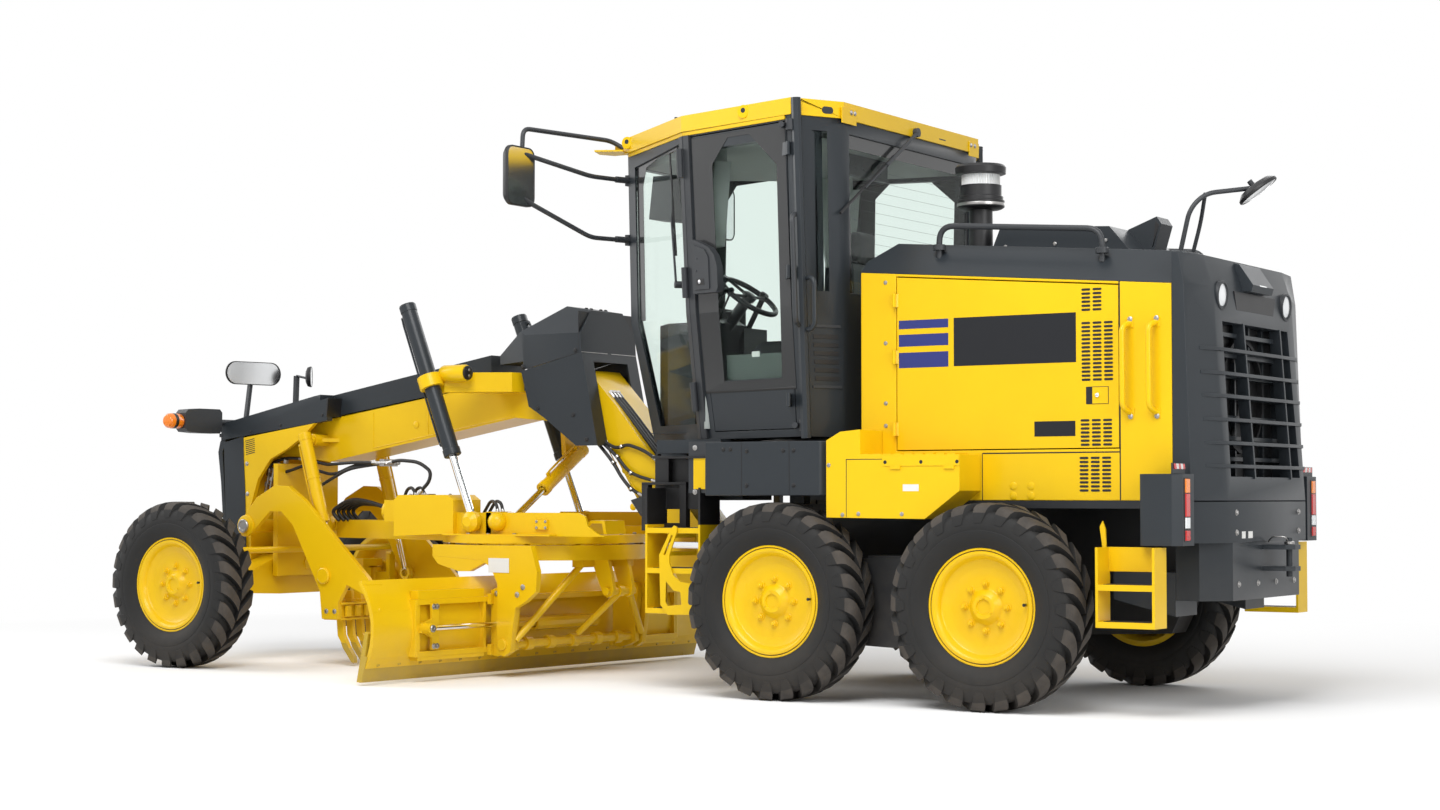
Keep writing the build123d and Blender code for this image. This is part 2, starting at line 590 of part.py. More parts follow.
def front_frame():
    """Box beam with its rear leg, the nose, the axle mount and every bracket on them."""
    beam = side_plate(((-3590, 1470), (-2760, 1584), (-1300, 1800), (-640, 1850), (-420, 1620), (170, 930), (170, 480),
                       (95, 480), (-550, 1510), (-1200, 1570), (-2740, 1310), (-3140, 1360), (-3380, 1180),
                       (-3400, 760), (-3540, 760)), -BEAM_HALF_W, BEAM_HALF_W)
    cheek = side_plate(((-3530, 735), (-3560, 1440), (-3380, 1475), (-2750, 1560), (-2860, 1470), (-2990, 1395),
                        (-3140, 1330), (-3250, 1200), (-3330, 980), (-3380, 735)), 270, 300)
    frame = fused(beam, cheek, mirrored(cheek))
    frame += box((-290, 290), (-3360, -3320), (560, 1300)) + box((-290, 290), (-3120, -3080), (560, 1300))
    frame += bar((0, -3370, 640), (0, -3070, 640), 40)
    frame += bar((-402, *SCARIFIER_PIN), (402, *SCARIFIER_PIN), 45)
    frame += bar((-470, *SCARIFIER_PIN), (470, *SCARIFIER_PIN), 30)
    for side in (1, -1):
        frame += bar((side * 460, *SCARIFIER_PIN), (side * 474, *SCARIFIER_PIN), 44)
        lug = side_plate(((-3085, 850), (-3085, 950), (-2810, 950), (-2790, 900), (-2810, 850)), side * 50, side * 80)
        frame += lug
    frame += bar((-80, *DRAWBAR_BALL[1:]), (80, *DRAWBAR_BALL[1:]), 25)
    tongue = plan_plate(((-150, 150), (150, 150), (80, ARTIC_Y), (-80, ARTIC_Y)), 726, 874)
    tongue += pillar(0, ARTIC_Y, 726, 874, 80) + pillar(0, ARTIC_Y, 650, 950, 40)
    frame += tongue
    frame = fused(frame, saddle_arm(1), saddle_arm(-1), shift_bracket())
    for side in (1, -1):
        frame = fused(frame, scarifier_bracket(side), artic_bracket(side))
    keep("front_beam", frame)
    covers = [cover - frame for cover in (spine(), rear_cover(), nose_cover())]
    keep("beam_covers", [cover.solids().sort_by(SortBy.VOLUME)[-1] for cover in covers])


def spine():
    """Dark bevelled cap along the top of the beam."""
    wide, top = BEAM_HALF_W + 6, 110
    cap = side_plate(((-3560, 1480), (-3575, 1570), (-2760, 1735), (-1385, 1965), (-1385, 1795), (-2760, 1590)), -wide, wide)
    for side in (1, -1):
        cap -= side_plate(((-3700, 1400), (-3700, 1620), (-1300, 2040), (-1300, 1880)), side * wide, side * (wide + 60))
    low = side_plate(((-3590, 1460), (-3590, 1560), (-2750, 1700), (-2640, 1720), (-2640, 1575), (-2760, 1562)), 250, 302)
    bridge = box((-302, 302), (-3560, -2700), (1420, 1800)) & side_plate(
        ((-3575, 1500), (-3575, 1572), (-2760, 1735), (-2700, 1745), (-2700, 1640)), -302, 302)
    return fused(cap, bridge, low, mirrored(low)) - side_plate(
        ((-3700, 1300), (-3700, 1462), (-2760, 1584), (-1300, 1800), (-1300, 1300)), -BEAM_HALF_W - 1, BEAM_HALF_W + 1)


def rear_cover():
    """Wide dark cover over the knee of the beam, with a skirt on each side."""
    half = 285
    cap = side_plate(((-1310, 1960), (-820, 2250), (-620, 2215), (-600, 1955), (-1310, 1800)), -half, half)
    for side in (1, -1):
        wedge = cross_plate(((side * 120, 2270), (side * (half + 2), 2070), (side * (half + 2), 2400), (side * 120, 2400)), -1400, -500)
        cap -= wedge
    nose = plan_plate(((-half - 5, -1400), (-175, -1400), (-175, -1310), (-half - 5, -1020)), 1700, 2400)
    cap -= nose
    cap -= mirrored(nose)
    skirt = side_plate(((-1060, 1850), (-600, 1955), (-480, 1388), (-640, 1388), (-880, 1560), (-1000, 1632)), half - 6, half)
    back = side_plate(((-612, 1955), (-600, 1955), (-480, 1388), (-492, 1388)), -half, half)
    back -= box((-BEAM_HALF_W - 12, BEAM_HALF_W + 12), (-700, -400), (1300, 1900))
    cap -= side_plate(((-1400, 1700), (-1400, 1900), (-640, 1925), (-640, 1700)), -half + 7, half - 7)
    return fused(cap, skirt, mirrored(skirt), back)


def nose_cover():
    """Curved dark plate on the machine's nose."""
    return side_plate(((-3565, 740), (-3600, 1180), (-3628, 1380), (-3610, 1450), (-3566, 1500), (-3562, 1440), (-3590, 1380),
                       (-3572, 1180), (-3542, 740)), -290, 290) & box((-290, 290), (-3700, -3532), (700, 1600))


def saddle_arm(side):
    """Arm from the beam out to one lift cylinder's trunnion."""
    y, z = LIFT_TRUNNION
    arm = plan_plate(((side * 160, -1330), (side * 160, -1080), (side * 300, -1120), (side * 502, -1490),
                      (side * 502, -1610), (side * 420, -1610)), z - 60, z + 60)
    arm += bar((side * 430, y, z), (side * 502, y, z), 66)
    return arm + bar((side * 430, y, z), (side * 524, y, z), 28)


def shift_bracket():
    """Plate hanging from the beam's right side for the shift cylinder's trunnion."""
    x, z = SHIFT_TRUNNION
    plate = cross_plate(((-160, 1560), (-160, 1700), (x - 40, 1640), (x - 50, z), (x, z - 50), (x + 50, z), (-230, 1560)),
                        SHIFT_Y - 90, SHIFT_Y - 56)
    return plate + bar((x, SHIFT_Y - 60, z), (x, SHIFT_Y - 32, z), 20)


def scarifier_bracket(side):
    """Bracket on the beam for the top pin of one scarifier cylinder."""
    y, z = SCAR_CYL_TOP
    gusset = plan_plate(((side * 160, y - 110), (side * 160, y + 130), (side * 250, y + 20), (side * 250, y - 20)), z - 12, z + 12)
    return fused(bar((side * 160, y, z), (side * 290, y, z), 42), gusset, bar((side * 160, y, z), (side * 318, y, z), 22))


def artic_bracket(side):
    """Fork on the leg for the eye of one articulation cylinder."""
    x, y = ARTIC_CYL_EYE
    fork = box(sorted((side * 150, side * 170)), (y - 20, y + 90), (736, 864))
    for z0 in (736, 840):
        fork += plan_plate(((side * 150, y - 20), (side * 150, y + 100), (side * (x + 10), y + 34), (side * (x + 34), y),
                            (side * (x + 10), y - 34), (side * (x - 30), y - 34)), z0, z0 + 24)
    return fork


def front_axle():
    """Axle beam with its end forks, both steering knuckles and the tie rod."""
    y = FRONT_AXLE_Y
    axle = cross_plate(((-700, 470), (-700, 590), (-450, 600), (-200, 700), (200, 700), (450, 600), (700, 590), (700, 470),
                        (450, 450), (200, 440), (-200, 440), (-450, 450)), y - 80, y + 80)
    axle -= bar((0, -3400, 640), (0, -3000, 640), 40)
    knuckles = []
    for side in (1, -1):
        x = side * KINGPIN_X
        for z0 in (400, 600):
            axle += box(sorted((side * 640, x)), (y - 60, y + 60), (z0, z0 + 50))
            axle += pillar(x, y, z0, z0 + 50, 62)
        axle += box(sorted((side * 640, side * 700)), (y - 60, y + 60), (400, 650))
        axle += pillar(x, y, 400, 650, 25)
        knuckle = pillar(x, y, 458, 592, 58)
        knuckle += box(sorted((x, side * 890)), (y - 40, y + 40), (AXLE_Z - 50, AXLE_Z + 50))
        knuckle += bar((side * 885, y, AXLE_Z), (side * 930, y, AXLE_Z), 110)
        knuckle += rod((side * 925, y, AXLE_Z), (side * (WHEEL_X + 12), y, AXLE_Z), 48)
        knuckle += side_plate(((y + 40, 500), (y + 172, 500), (y + 172, 704), (y + 140, 704), (y + 140, 560), (y + 40, 560)), x - 30, x + 30)
        knuckle += plan_plate(((x - side * 30, y + 140), (x + side * 30, y + 140), (x + side * 10, y + 205),
                               (x - side * 50, y + 205)), 684, 704)
        knuckle -= Pos(x, y, 380) * Cylinder(25.05, 300, align=(Align.CENTER, Align.CENTER, Align.MIN))
        knuckles.append(knuckle)
    keep("front_axle", axle)
    keep("knuckle_left", knuckles[0])
    keep("knuckle_right", knuckles[1])
    keep("tie_rod", bar((-790, y + 180, 735), (790, y + 180, 735), 22))


# Working gear


def cylinder(start, eye, across, barrel, rod_r, back, length, overlap, eye_r, eye_bore, eye_half, boss=None):
    """Barrel and rod of a hydraulic cylinder; across is the direction of its end pins."""
    start, eye, across = Vector(*start), Vector(*eye), Vector(*across)
    span = (eye - start).length
    unit = (eye - start).normalized()
    tube = bar(start - unit * back, start + unit * length, barrel, 12)
    tube -= bar(start - unit * (back - 30), start + unit * (length + 5), rod_r + 6, 6)
    stem = bar(start + unit * overlap, eye - unit * (eye_bore + 1), rod_r, 10)
    ring = bar(eye - across * eye_half, eye + across * eye_half, eye_r)
    ring -= bar(eye - across * (eye_half + 5), eye + across * (eye_half + 5), eye_bore, 8)
    if overlap < -back + 30 or overlap > length or span < length:
        raise ValueError("cylinder does not fit its barrel")
    return tube, stem + ring


def lift_gear():
    """Both lift cylinders, the shift cylinder and both scarifier and articulation cylinders."""
    tubes, stems = [], []
    for side in (1, -1):
        x = side * LIFT_X
        tube, stem = cylinder((x, *LIFT_TRUNNION), (x, *LIFT_EYE), (1, 0, 0), 50, 26, 520, 490, 100, 48, 30, 22)
        y, z = LIFT_TRUNNION
        boss = bar((side * 506, y, z), (side * 527, y, z), 46)
        tube = tube + boss - rod((side * 500, y, z), (side * 527, y, z), 28.05)
        tubes.append(tube)
        stems.append(stem)
    keep("lift_barrels", tubes)
    keep("lift_rods", stems)
    (x0, z0), (x1, z1) = SHIFT_TRUNNION, SHIFT_EYE
    tube, stem = cylinder((x0, SHIFT_Y, z0), (x1, SHIFT_Y, z1), (0, 1, 0), 42, 22, 70, 430, 100, 58, 42, 20)
    boss = bar((x0, SHIFT_Y - 50, z0), (x0, SHIFT_Y - 30, z0), 40)
    keep("shift_barrel", tube + boss - rod((x0, SHIFT_Y - 60, z0), (x0, SHIFT_Y - 30, z0), 20.05))
    keep("shift_rod", stem)
    tubes, stems = [], []
    for side in (1, -1):
        x = side * SCAR_CYL_X
        tube, stem = cylinder((x, *SCAR_CYL_TOP), (x, *SCAR_CYL_EYE), (1, 0, 0), 42, 22, 45, 560, 200, 44, 26, 18)
        y, z = SCAR_CYL_TOP
        tube = tube + bar((side * 304, y, z), (side * 321, y, z), 40) - rod((side * 300, y, z), (side * 321, y, z), 22.05)
        tubes.append(tube)
        stems.append(stem)
    keep("scarifier_barrels", tubes)
    keep("scarifier_rods", stems)
    for name, side in (("left", 1), ("right", -1)):
        (x0, y0), (x1, y1) = ARTIC_CYL_REAR, ARTIC_CYL_EYE
        tube, stem = cylinder((side * x0, y0, ARTIC_CYL_Z), (side * x1, y1, ARTIC_CYL_Z), (0, 0, 1), 38, 20, 0, 560, 210, 36, 25, 22)
        unit = Vector(side * (x1 - x0), y1 - y0, 0).normalized()
        centre = Vector(side * x0, y0, ARTIC_CYL_Z)
        ring = bar(centre - Vector(0, 0, 34), centre + Vector(0, 0, 34), 36)
        tube = (tube - bar(centre - unit * 60, centre + unit * 30, 70, 8)) + ring
        tube += bar(centre + unit * 20, centre + unit * 40, 38, 12)
        tube -= rod(tuple(centre - Vector(0, 0, 60)), tuple(centre + Vector(0, 0, 60)), 18.05)
        keep("artic_barrel_" + name, tube)
        keep("artic_rod_" + name, stem + pillar(side * x1, y1, 768, 832, 25.5, 8))


def drawbar():
    """A-frame with its front eye, guide ring, circle motor and cylinder pins."""
    plate = RegularPolygon(CIRCLE_R, RING_SIDES) - RegularPolygon(CIRCLE_R - 130, RING_SIDES)
    frame = extrude(Plane((0, CIRCLE_Y, 800)) * plate, 50)
    for side in (1, -1):
        leg = plan_plate(((side * 8, -2790), (side * 8, -2640), (side * 400, -1450), (side * 520, -1450),
                          (side * 34, -2790)), 812, 930)
        frame += leg
        frame += box(sorted((side * 440, side * 528)), (-1280, -1140), (845, 970))
        frame += bar((side * 470, *LIFT_EYE), (side * 600, *LIFT_EYE), 20, 8)
        frame += bar((side * 590, *LIFT_EYE), (side * 602, *LIFT_EYE), 36, 8)
    frame += box((-360, 360), (-1800, -1640), (812, 900)) + box((-500, 500), (-820, -700), (812, 880))
    frame += bar((-44, *DRAWBAR_BALL[1:]), (44, *DRAWBAR_BALL[1:]), 56) + box((-34, 34), (-2830, -2700), (860, 930))
    frame -= rod((-90, *DRAWBAR_BALL[1:]), (90, *DRAWBAR_BALL[1:]), 25.05)
    x, z = SHIFT_EYE
    frame += box((x - 50, 530), (SHIFT_Y - 75, SHIFT_Y - 35), (845, 990)) + bar((x, SHIFT_Y - 60, z), (x, SHIFT_Y + 30, z), 16, 8)
    motor = box((300, 480), (-1990, -1700), (925, 1060)) + bar((390, -1730, 990), (390, -1520, 990), 60)
    motor += bar((390, -2040, 990), (390, -1980, 990), 62)
    keep("drawbar", frame + motor)


def turned(solid):
    """Turn a piece of the circle or blade to its parked angle."""
    return Pos(0, CIRCLE_Y, 0) * Rot(0, 0, BLADE_REST_TURN) * Pos(0, -CIRCLE_Y, 0) * solid


def circle():
    """Toothed ring with the two arms that carry the blade."""
    low, high = CIRCLE_Z
    ring = pillar(0, CIRCLE_Y, low, high, CIRCLE_R, RING_SIDES)
    outline = []
    for i in range(CIRCLE_TEETH):
        for radius, share in ((500, 0.0), (500, 0.36), (532, 0.68)):
            angle = 2 * pi * (i + share) / CIRCLE_TEETH
            outline.append((radius * cos(angle), CIRCLE_Y + radius * sin(angle)))
    ring -= plan_plate(outline, low - 5, high + 5)
    arm = side_plate(((-1440, 790), (-640, 790), (-590, 640), (-600, 520), (-680, 460), (-760, 420), (-800, 160),
                      (-850, 130), (-905, 150), (-905, 560), (-960, 660), (-1040, 700), (-1440, 720)),
                     ARM_X - 20, ARM_X + 20)
    y, z = BLADE_PIN
    arm += bar((ARM_X - 80, y, z), (ARM_X + 30, y, z), 22)
    keep("circle", turned(fused(ring, arm, mirrored(arm))))


def arc_strip(centre, inner, outer, low, high, x0, x1, steps=8):
    """Curved plate between two radii about a (y, z) centre, on its rear side, cut level at low and high."""
    start, end = [asin((z - centre[1]) / inner) for z in (low, high)]
    angles = [start + (end - start) * i / steps for i in range(steps + 1)]
    outline = [(centre[0] + inner * cos(a), centre[1] + inner * sin(a)) for a in angles]
    outline += [(centre[0] + outer * cos(a), centre[1] + outer * sin(a)) for a in reversed(angles)]
    return side_plate(outline, x0, x1)


BOARD_CENTRE = (-1448.0, 318.0)
BOARD_R = 395.0


def blade():
    """Moldboard with its rails, cutting edge and end bits, and the carriers it slides in."""
    x0, x1 = BLADE_SIDE - BLADE_HALF_L, BLADE_SIDE + BLADE_HALF_L
    board = arc_strip(BOARD_CENTRE, BOARD_R, BOARD_R + 24, 110, 585, x0 + 5, x1 - 5)
    rails = []
    for z in (452.0, 150.0):
        rails.append(box((x0 + 330, x1 - 330), (-1072, -1004), (z, z + 32)))
    for x in (x0 + 320, x0 + 900, x1 - 920, x1 - 340):
        rails.append(box((x, x + 20), (-1072, -1008), (150, 484)))
    barrel = bar((-292, -930, 310), (284, -930, 310), 40) - bar((-269, -930, 310), (290, -930, 310), 26, 8)
    mount = box((-294, -250), (-1040, -900), (280, 340)) - bar((-269, -930, 310), (290, -930, 310), 26, 8)
    keep("moldboard", turned(fused(board, *rails, barrel, mount)))
    edge = side_plate(((-1142, BLADE_LOW_Z), (-1125, BLADE_LOW_Z), (-1074, 165), (-1100, 172)), x0, x1)
    ends = [side_plate(((-1160, BLADE_LOW_Z + 2), (-1120, BLADE_LOW_Z + 2), (-1070, 300), (-1096, 310)), xa, xa + 130)
            for xa in (x0, x1 - 130)]
    keep("cutting_edge", turned(fused(edge, *ends) - board - rails[1]))
    carriers = []
    for side in (1, -1):
        plate = side_plate(((-1000, 130), (-1000, 520), (-930, 545), (-810, 540), (-790, 500), (-815, 250), (-810, 170),
                            (-860, 145), (-940, 125)), side * CARRIER_X - 20, side * CARRIER_X + 20)
        y, z = BLADE_PIN
        plate -= rod((side * 500, y, z), (side * 640, y, z), 22.05)
        carriers.append(plate)
    carriers[0] += bar((-5, -930, 310), (552, -930, 310), 18, 8)
    keep("blade_carriers", [turned(item) for item in carriers])


def scarifier():
    """Arched side arms, cross bar and curved teeth."""
    y, z = SCARIFIER_PIN
    rack = box((-SCARIFIER_ARM_X + 18, SCARIFIER_ARM_X - 18), (-2530, -2410), (300, 400))
    arms = []
    for side in (1, -1):
        x = side * SCARIFIER_ARM_X
        arm = side_plate(((-3262, 872), (-3256, 925), (-3120, 1075), (-2960, 1155), (-2840, 1150), (-2700, 1060), (-2150, 565),
                          (-2120, 505), (-2170, 455), (-2330, 520), (-2400, 410), (-2400, 300), (-2540, 300), (-2560, 480),
                          (-2800, 900), (-2900, 985), (-3000, 985), (-3165, 840), (-3225, 835)), x - 18, x + 18)
        arm -= rod((x - 60, y, z), (x + 60, y, z), 30.05)
        arms.append(arm + bar((x - side * 60, *SCAR_CYL_EYE), (x, *SCAR_CYL_EYE), 18, 8))
    for i in range(9):
        x = -360 + 90 * i
        shank = side_plate(((-2500, 480), (-2440, 480), (-2420, 200), (-2330, 40), (-2330, 22), (-2350, 22), (-2470, 190)),
                           x - 14, x + 14)
        rack += shank
    keep("scarifier_arms", arms)
    keep("scarifier_rack", rack)


def build():
    """Make every node."""
    wheels()
    rear_frame()
    tandems()
    bumper()
    under_cab()
    side_tanks()
    cab()
    hood()
    rear_grille()
    deck_fittings()
    mirrors()
    front_frame()
    front_fittings()
    front_axle()
    lift_gear()
    drawbar()
    circle()
    blade()
    scarifier()


def main():
    """Write one STEP file per node."""
    os.makedirs("parts", exist_ok=True)
    for old in os.listdir("parts"):
        os.remove(os.path.join("parts", old))
    build()
    for name, solids in PARTS.items():
        flat = []
        for solid in solids:
            flat += list(solid.solids())
        shape = flat[0] if len(flat) == 1 else Compound(children=flat)
        export_step(shape, f"parts/{name}.step")


main()
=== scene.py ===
"""Dresses the motor grader: finishes, tread, glass, seams, hoses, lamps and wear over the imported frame."""
from __future__ import annotations

import json
import logging
import math
from dataclasses import dataclass
from enum import Enum
from functools import cache

import bmesh
import bpy
from mathutils import Matrix, Vector

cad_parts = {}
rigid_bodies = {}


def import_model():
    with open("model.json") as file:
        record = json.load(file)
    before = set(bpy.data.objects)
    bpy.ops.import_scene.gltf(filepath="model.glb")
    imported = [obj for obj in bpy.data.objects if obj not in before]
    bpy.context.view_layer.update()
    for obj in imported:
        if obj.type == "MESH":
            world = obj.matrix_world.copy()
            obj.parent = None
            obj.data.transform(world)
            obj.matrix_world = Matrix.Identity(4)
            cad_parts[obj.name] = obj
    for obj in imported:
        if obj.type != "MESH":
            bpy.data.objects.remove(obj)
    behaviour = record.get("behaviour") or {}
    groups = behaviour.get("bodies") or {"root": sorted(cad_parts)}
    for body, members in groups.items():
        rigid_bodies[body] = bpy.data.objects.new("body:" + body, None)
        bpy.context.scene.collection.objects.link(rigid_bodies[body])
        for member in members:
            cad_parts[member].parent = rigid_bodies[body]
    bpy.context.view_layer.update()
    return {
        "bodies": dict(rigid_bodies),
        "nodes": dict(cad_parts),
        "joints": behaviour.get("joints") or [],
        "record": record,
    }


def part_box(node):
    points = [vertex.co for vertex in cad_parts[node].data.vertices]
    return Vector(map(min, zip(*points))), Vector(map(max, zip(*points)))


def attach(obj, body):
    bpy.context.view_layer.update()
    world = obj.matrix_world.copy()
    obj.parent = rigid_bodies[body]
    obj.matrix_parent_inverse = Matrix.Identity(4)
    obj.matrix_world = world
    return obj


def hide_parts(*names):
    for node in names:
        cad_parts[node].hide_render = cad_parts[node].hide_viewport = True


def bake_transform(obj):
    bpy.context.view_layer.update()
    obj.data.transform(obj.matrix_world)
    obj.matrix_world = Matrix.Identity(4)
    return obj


LOG = logging.getLogger("grader")
SMOOTH_ANGLE = math.radians(36)
MERGE_DISTANCE = 1e-6
MARK = "finish_"

Point = tuple[float, float, float]
Flat = tuple[float, float]
Colour = tuple[float, float, float]
Zone = tuple[Flat, Flat, Flat]
Group = tuple[bpy.types.NodeTree, dict]


class Body(str, Enum):
    """Rigid bodies of the frame that pieces ride on."""

    REAR = "rear_machine"
    FRONT = "front_frame"
    DOOR_LEFT = "cab_door_left"
    DOOR_RIGHT = "cab_door_right"
    HOOD_LEFT = "hood_door_left"
    HOOD_RIGHT = "hood_door_right"
    DRAWBAR = "drawbar"
    CIRCLE = "circle"
    CARRIERS = "blade_carriers"
    BLADE = "blade"
    SCARIFIER = "scarifier"


class Side(Enum):
    """The machine's two sides, as the sign of X."""

    LEFT = 1
    RIGHT = -1


class Axis(Enum):
    """Direction that an outline is drawn across and pushed along."""

    X = 0
    Y = 1
    Z = 2


class NodeKit:
    """Shader and geometry tree helpers."""

    @staticmethod
    def add(tree: bpy.types.NodeTree, kind: str, inputs: dict | None = None,
            **settings: object) -> bpy.types.Node:
        """Add a node, set its properties and fill its inputs.

        Args:
            tree: Tree that receives the node.
            kind: Blender's type name of the node.
            inputs: Values, or outputs to link, by the input's name or number.
            settings: Properties set on the node.

        Returns:
            The new node.
        """
        node = tree.nodes.new(kind)
        for name, value in settings.items():
            setattr(node, name, value)
        for key, value in (inputs or {}).items():
            if isinstance(value, bpy.types.NodeSocket):
                tree.links.new(value, node.inputs[key])
            else:
                node.inputs[key].default_value = value
        return node

    @classmethod
    def math(cls, tree: bpy.types.NodeTree, operation: str, *terms: object,
            clamp: bool = False) -> bpy.types.NodeSocket:
        """Give the result of a math node on values or outputs."""
        return cls.add(tree, "ShaderNodeMath", dict(enumerate(terms)), operation=operation,
            use_clamp=clamp).outputs[0]

    @classmethod
    def vector(cls, tree: bpy.types.NodeTree, operation: str, inputs: dict) -> bpy.types.NodeSocket:
        """Give the first result of a vector math node."""
        return cls.add(tree, "ShaderNodeVectorMath", inputs, operation=operation).outputs[0]

    @classmethod
    def tint(cls, tree: bpy.types.NodeTree, share: object, first: object,
            second: object) -> bpy.types.NodeSocket:
        """Give the colour between two colours, by a share."""
        return cls.add(tree, "ShaderNodeMix", {"Factor": share, 6: first, 7: second},
            data_type="RGBA").outputs[2]

    @staticmethod
    def cleared(owner: bpy.types.Material | bpy.types.World) -> bpy.types.NodeTree:
        """Give the empty node tree of a material or world."""
        owner.use_nodes = True
        owner.node_tree.nodes.clear()
        return owner.node_tree


class EffectGroups:
    """Shader node groups that several finishes share, each built once."""

    @staticmethod
    def _new(name: str, inputs: dict[str, object], outputs: dict[str, str]) -> Group:
        """Make an empty group with named sockets.

        Args:
            name: Name of the group.
            inputs: Defaults by socket name: None for a vector, a tuple for a colour, a number for a value.
            outputs: Socket kinds by socket name.

        Returns:
            The group and the outputs of its input node.
        """
        tree = bpy.data.node_groups.new(name, "ShaderNodeTree")
        for label, default in inputs.items():
            kind = "Vector" if default is None else "Color" if isinstance(default, tuple) else "Float"
            socket = tree.interface.new_socket(name=label, in_out="INPUT", socket_type="NodeSocket" + kind)
            if default is not None:
                socket.default_value = default
        for label, kind in outputs.items():
            tree.interface.new_socket(name=label, in_out="OUTPUT", socket_type="NodeSocket" + kind)
        return tree, NodeKit.add(tree, "NodeGroupInput").outputs

    @classmethod
    @cache
    def tone_drift(cls) -> bpy.types.NodeTree:
        """Slow colour and roughness drift over a surface, with outputs Color and Roughness."""
        tree, given = cls._new("tone_drift", {"Vector": None, "Base": (0.5, 0.5, 0.5, 1),
            "Shade": (0.4, 0.4, 0.4, 1), "Scale": 3.0, "Amount": 0.3, "Smooth": 0.3, "Rough": 0.5},
            {"Color": "Color", "Roughness": "Float"})
        noise = NodeKit.add(tree, "ShaderNodeTexNoise", {"Vector": given["Vector"], "Scale": given["Scale"],
            "Detail": 6.0, "Roughness": 0.6}).outputs["Fac"]
        spread = NodeKit.add(tree, "ShaderNodeMapRange", {"Value": noise, "From Min": 0.35,
            "From Max": 0.68})
        share = NodeKit.math(tree, "MULTIPLY", spread.outputs["Result"], given["Amount"])
        rough = NodeKit.add(tree, "ShaderNodeMapRange", {
            "Value": noise, "To Min": given["Smooth"], "To Max": given["Rough"]})
        NodeKit.add(tree, "NodeGroupOutput",
            {"Color": NodeKit.tint(tree, share, given["Base"], given["Shade"]),
            "Roughness": rough.outputs["Result"]})
        return tree

    @classmethod
    @cache
    def fine_grain(cls) -> bpy.types.NodeTree:
        """Height of a fine grain such as orange peel, moulded texture or worn rubber, with output Height."""
        tree, given = cls._new("fine_grain", {"Vector": None, "Scale": 200.0, "Softness": 0.5},
            {"Height": "Float"})
        noise = NodeKit.add(tree, "ShaderNodeTexNoise", {"Vector": given["Vector"], "Scale": given["Scale"],
            "Detail": 3.0, "Roughness": given["Softness"]})
        NodeKit.add(tree, "NodeGroupOutput", {"Height": noise.outputs["Fac"]})
        return tree

    @classmethod
    @cache
    def low_dust(cls) -> bpy.types.NodeTree:
        """Dust that gathers on the lower part of the machine and fades upwards, with output Color."""
        tree, given = cls._new("low_dust", {"Vector": None, "Color": (0.5, 0.5, 0.5, 1),
            "Dust": (0.25, 0.2, 0.15, 1), "Top": 0.6, "Amount": 0.3}, {"Color": "Color"})
        height = NodeKit.add(tree, "ShaderNodeSeparateXYZ", {"Vector": given["Vector"]}).outputs["Z"]
        fade = NodeKit.add(tree, "ShaderNodeMapRange", {
            "Value": height, "From Max": given["Top"], "To Min": 1.0, "To Max": 0.0})
        noise = NodeKit.add(tree, "ShaderNodeTexNoise", {"Vector": given["Vector"], "Scale": 14.0,
            "Detail": 5.0})
        patch = NodeKit.math(tree, "MULTIPLY", fade.outputs["Result"], noise.outputs["Fac"])
        share = NodeKit.math(tree, "MULTIPLY", patch, given["Amount"], clamp=True)
        NodeKit.add(tree, "NodeGroupOutput",
            {"Color": NodeKit.tint(tree, share, given["Color"], given["Dust"])})
        return tree


@dataclass(frozen=True)
class Finish:
    """One finish of the machine: its colours, gloss, grain and dust."""

    name: str
    colour: Colour
    shade: Colour
    drift_scale: float = 2.0
    drift: float = 0.35
    smooth: float = 0.3
    rough: float = 0.45
    metallic: float = 0.0
    coat: float = 0.0
    coat_rough: float = 0.1
    sheen: float = 0.0
    grain_scale: float = 300.0
    grain: float = 0.05
    grain_depth: float = 0.0004
    dust_top: float = 0.0
    dust: float = 0.0
    dust_colour: Colour = (0.2, 0.165, 0.13)
    transmission: float = 0.0
    ior: float = 1.45
    specular: float = 0.5

    def build(self) -> bpy.types.Material:
        """Make the finish's node material.

        Returns:
            The material.
        """
        material = bpy.data.materials.new(self.name)
        tree = NodeKit.cleared(material)
        place = NodeKit.add(tree, "ShaderNodeTexCoord").outputs["Object"]
        tone = NodeKit.add(tree, "ShaderNodeGroup", {"Vector": place, "Base": (*self.colour, 1),
            "Shade": (*self.shade, 1), "Scale": self.drift_scale, "Amount": self.drift,
            "Smooth": self.smooth, "Rough": self.rough}, node_tree=EffectGroups.tone_drift())
        colour = tone.outputs["Color"]
        if self.dust:
            colour = NodeKit.add(tree, "ShaderNodeGroup", {
                "Vector": place, "Color": colour, "Dust": (*self.dust_colour, 1), "Top": self.dust_top,
                "Amount": self.dust}, node_tree=EffectGroups.low_dust()).outputs["Color"]
        grain = NodeKit.add(tree, "ShaderNodeGroup", {"Vector": place, "Scale": self.grain_scale},
                            node_tree=EffectGroups.fine_grain())
        bump = NodeKit.add(tree, "ShaderNodeBump", {
            "Strength": self.grain, "Distance": self.grain_depth, "Height": grain.outputs["Height"]})
        shader = NodeKit.add(tree, "ShaderNodeBsdfPrincipled", {
            "Base Color": colour, "Roughness": tone.outputs["Roughness"], "Normal": bump.outputs["Normal"],
            "Metallic": self.metallic, "Coat Weight": self.coat, "Coat Roughness": self.coat_rough,
            "Sheen Weight": self.sheen, "Transmission Weight": self.transmission, "IOR": self.ior,
            "Specular IOR Level": self.specular})
        NodeKit.add(tree, "ShaderNodeOutputMaterial", {"Surface": shader.outputs["BSDF"]})
        return material


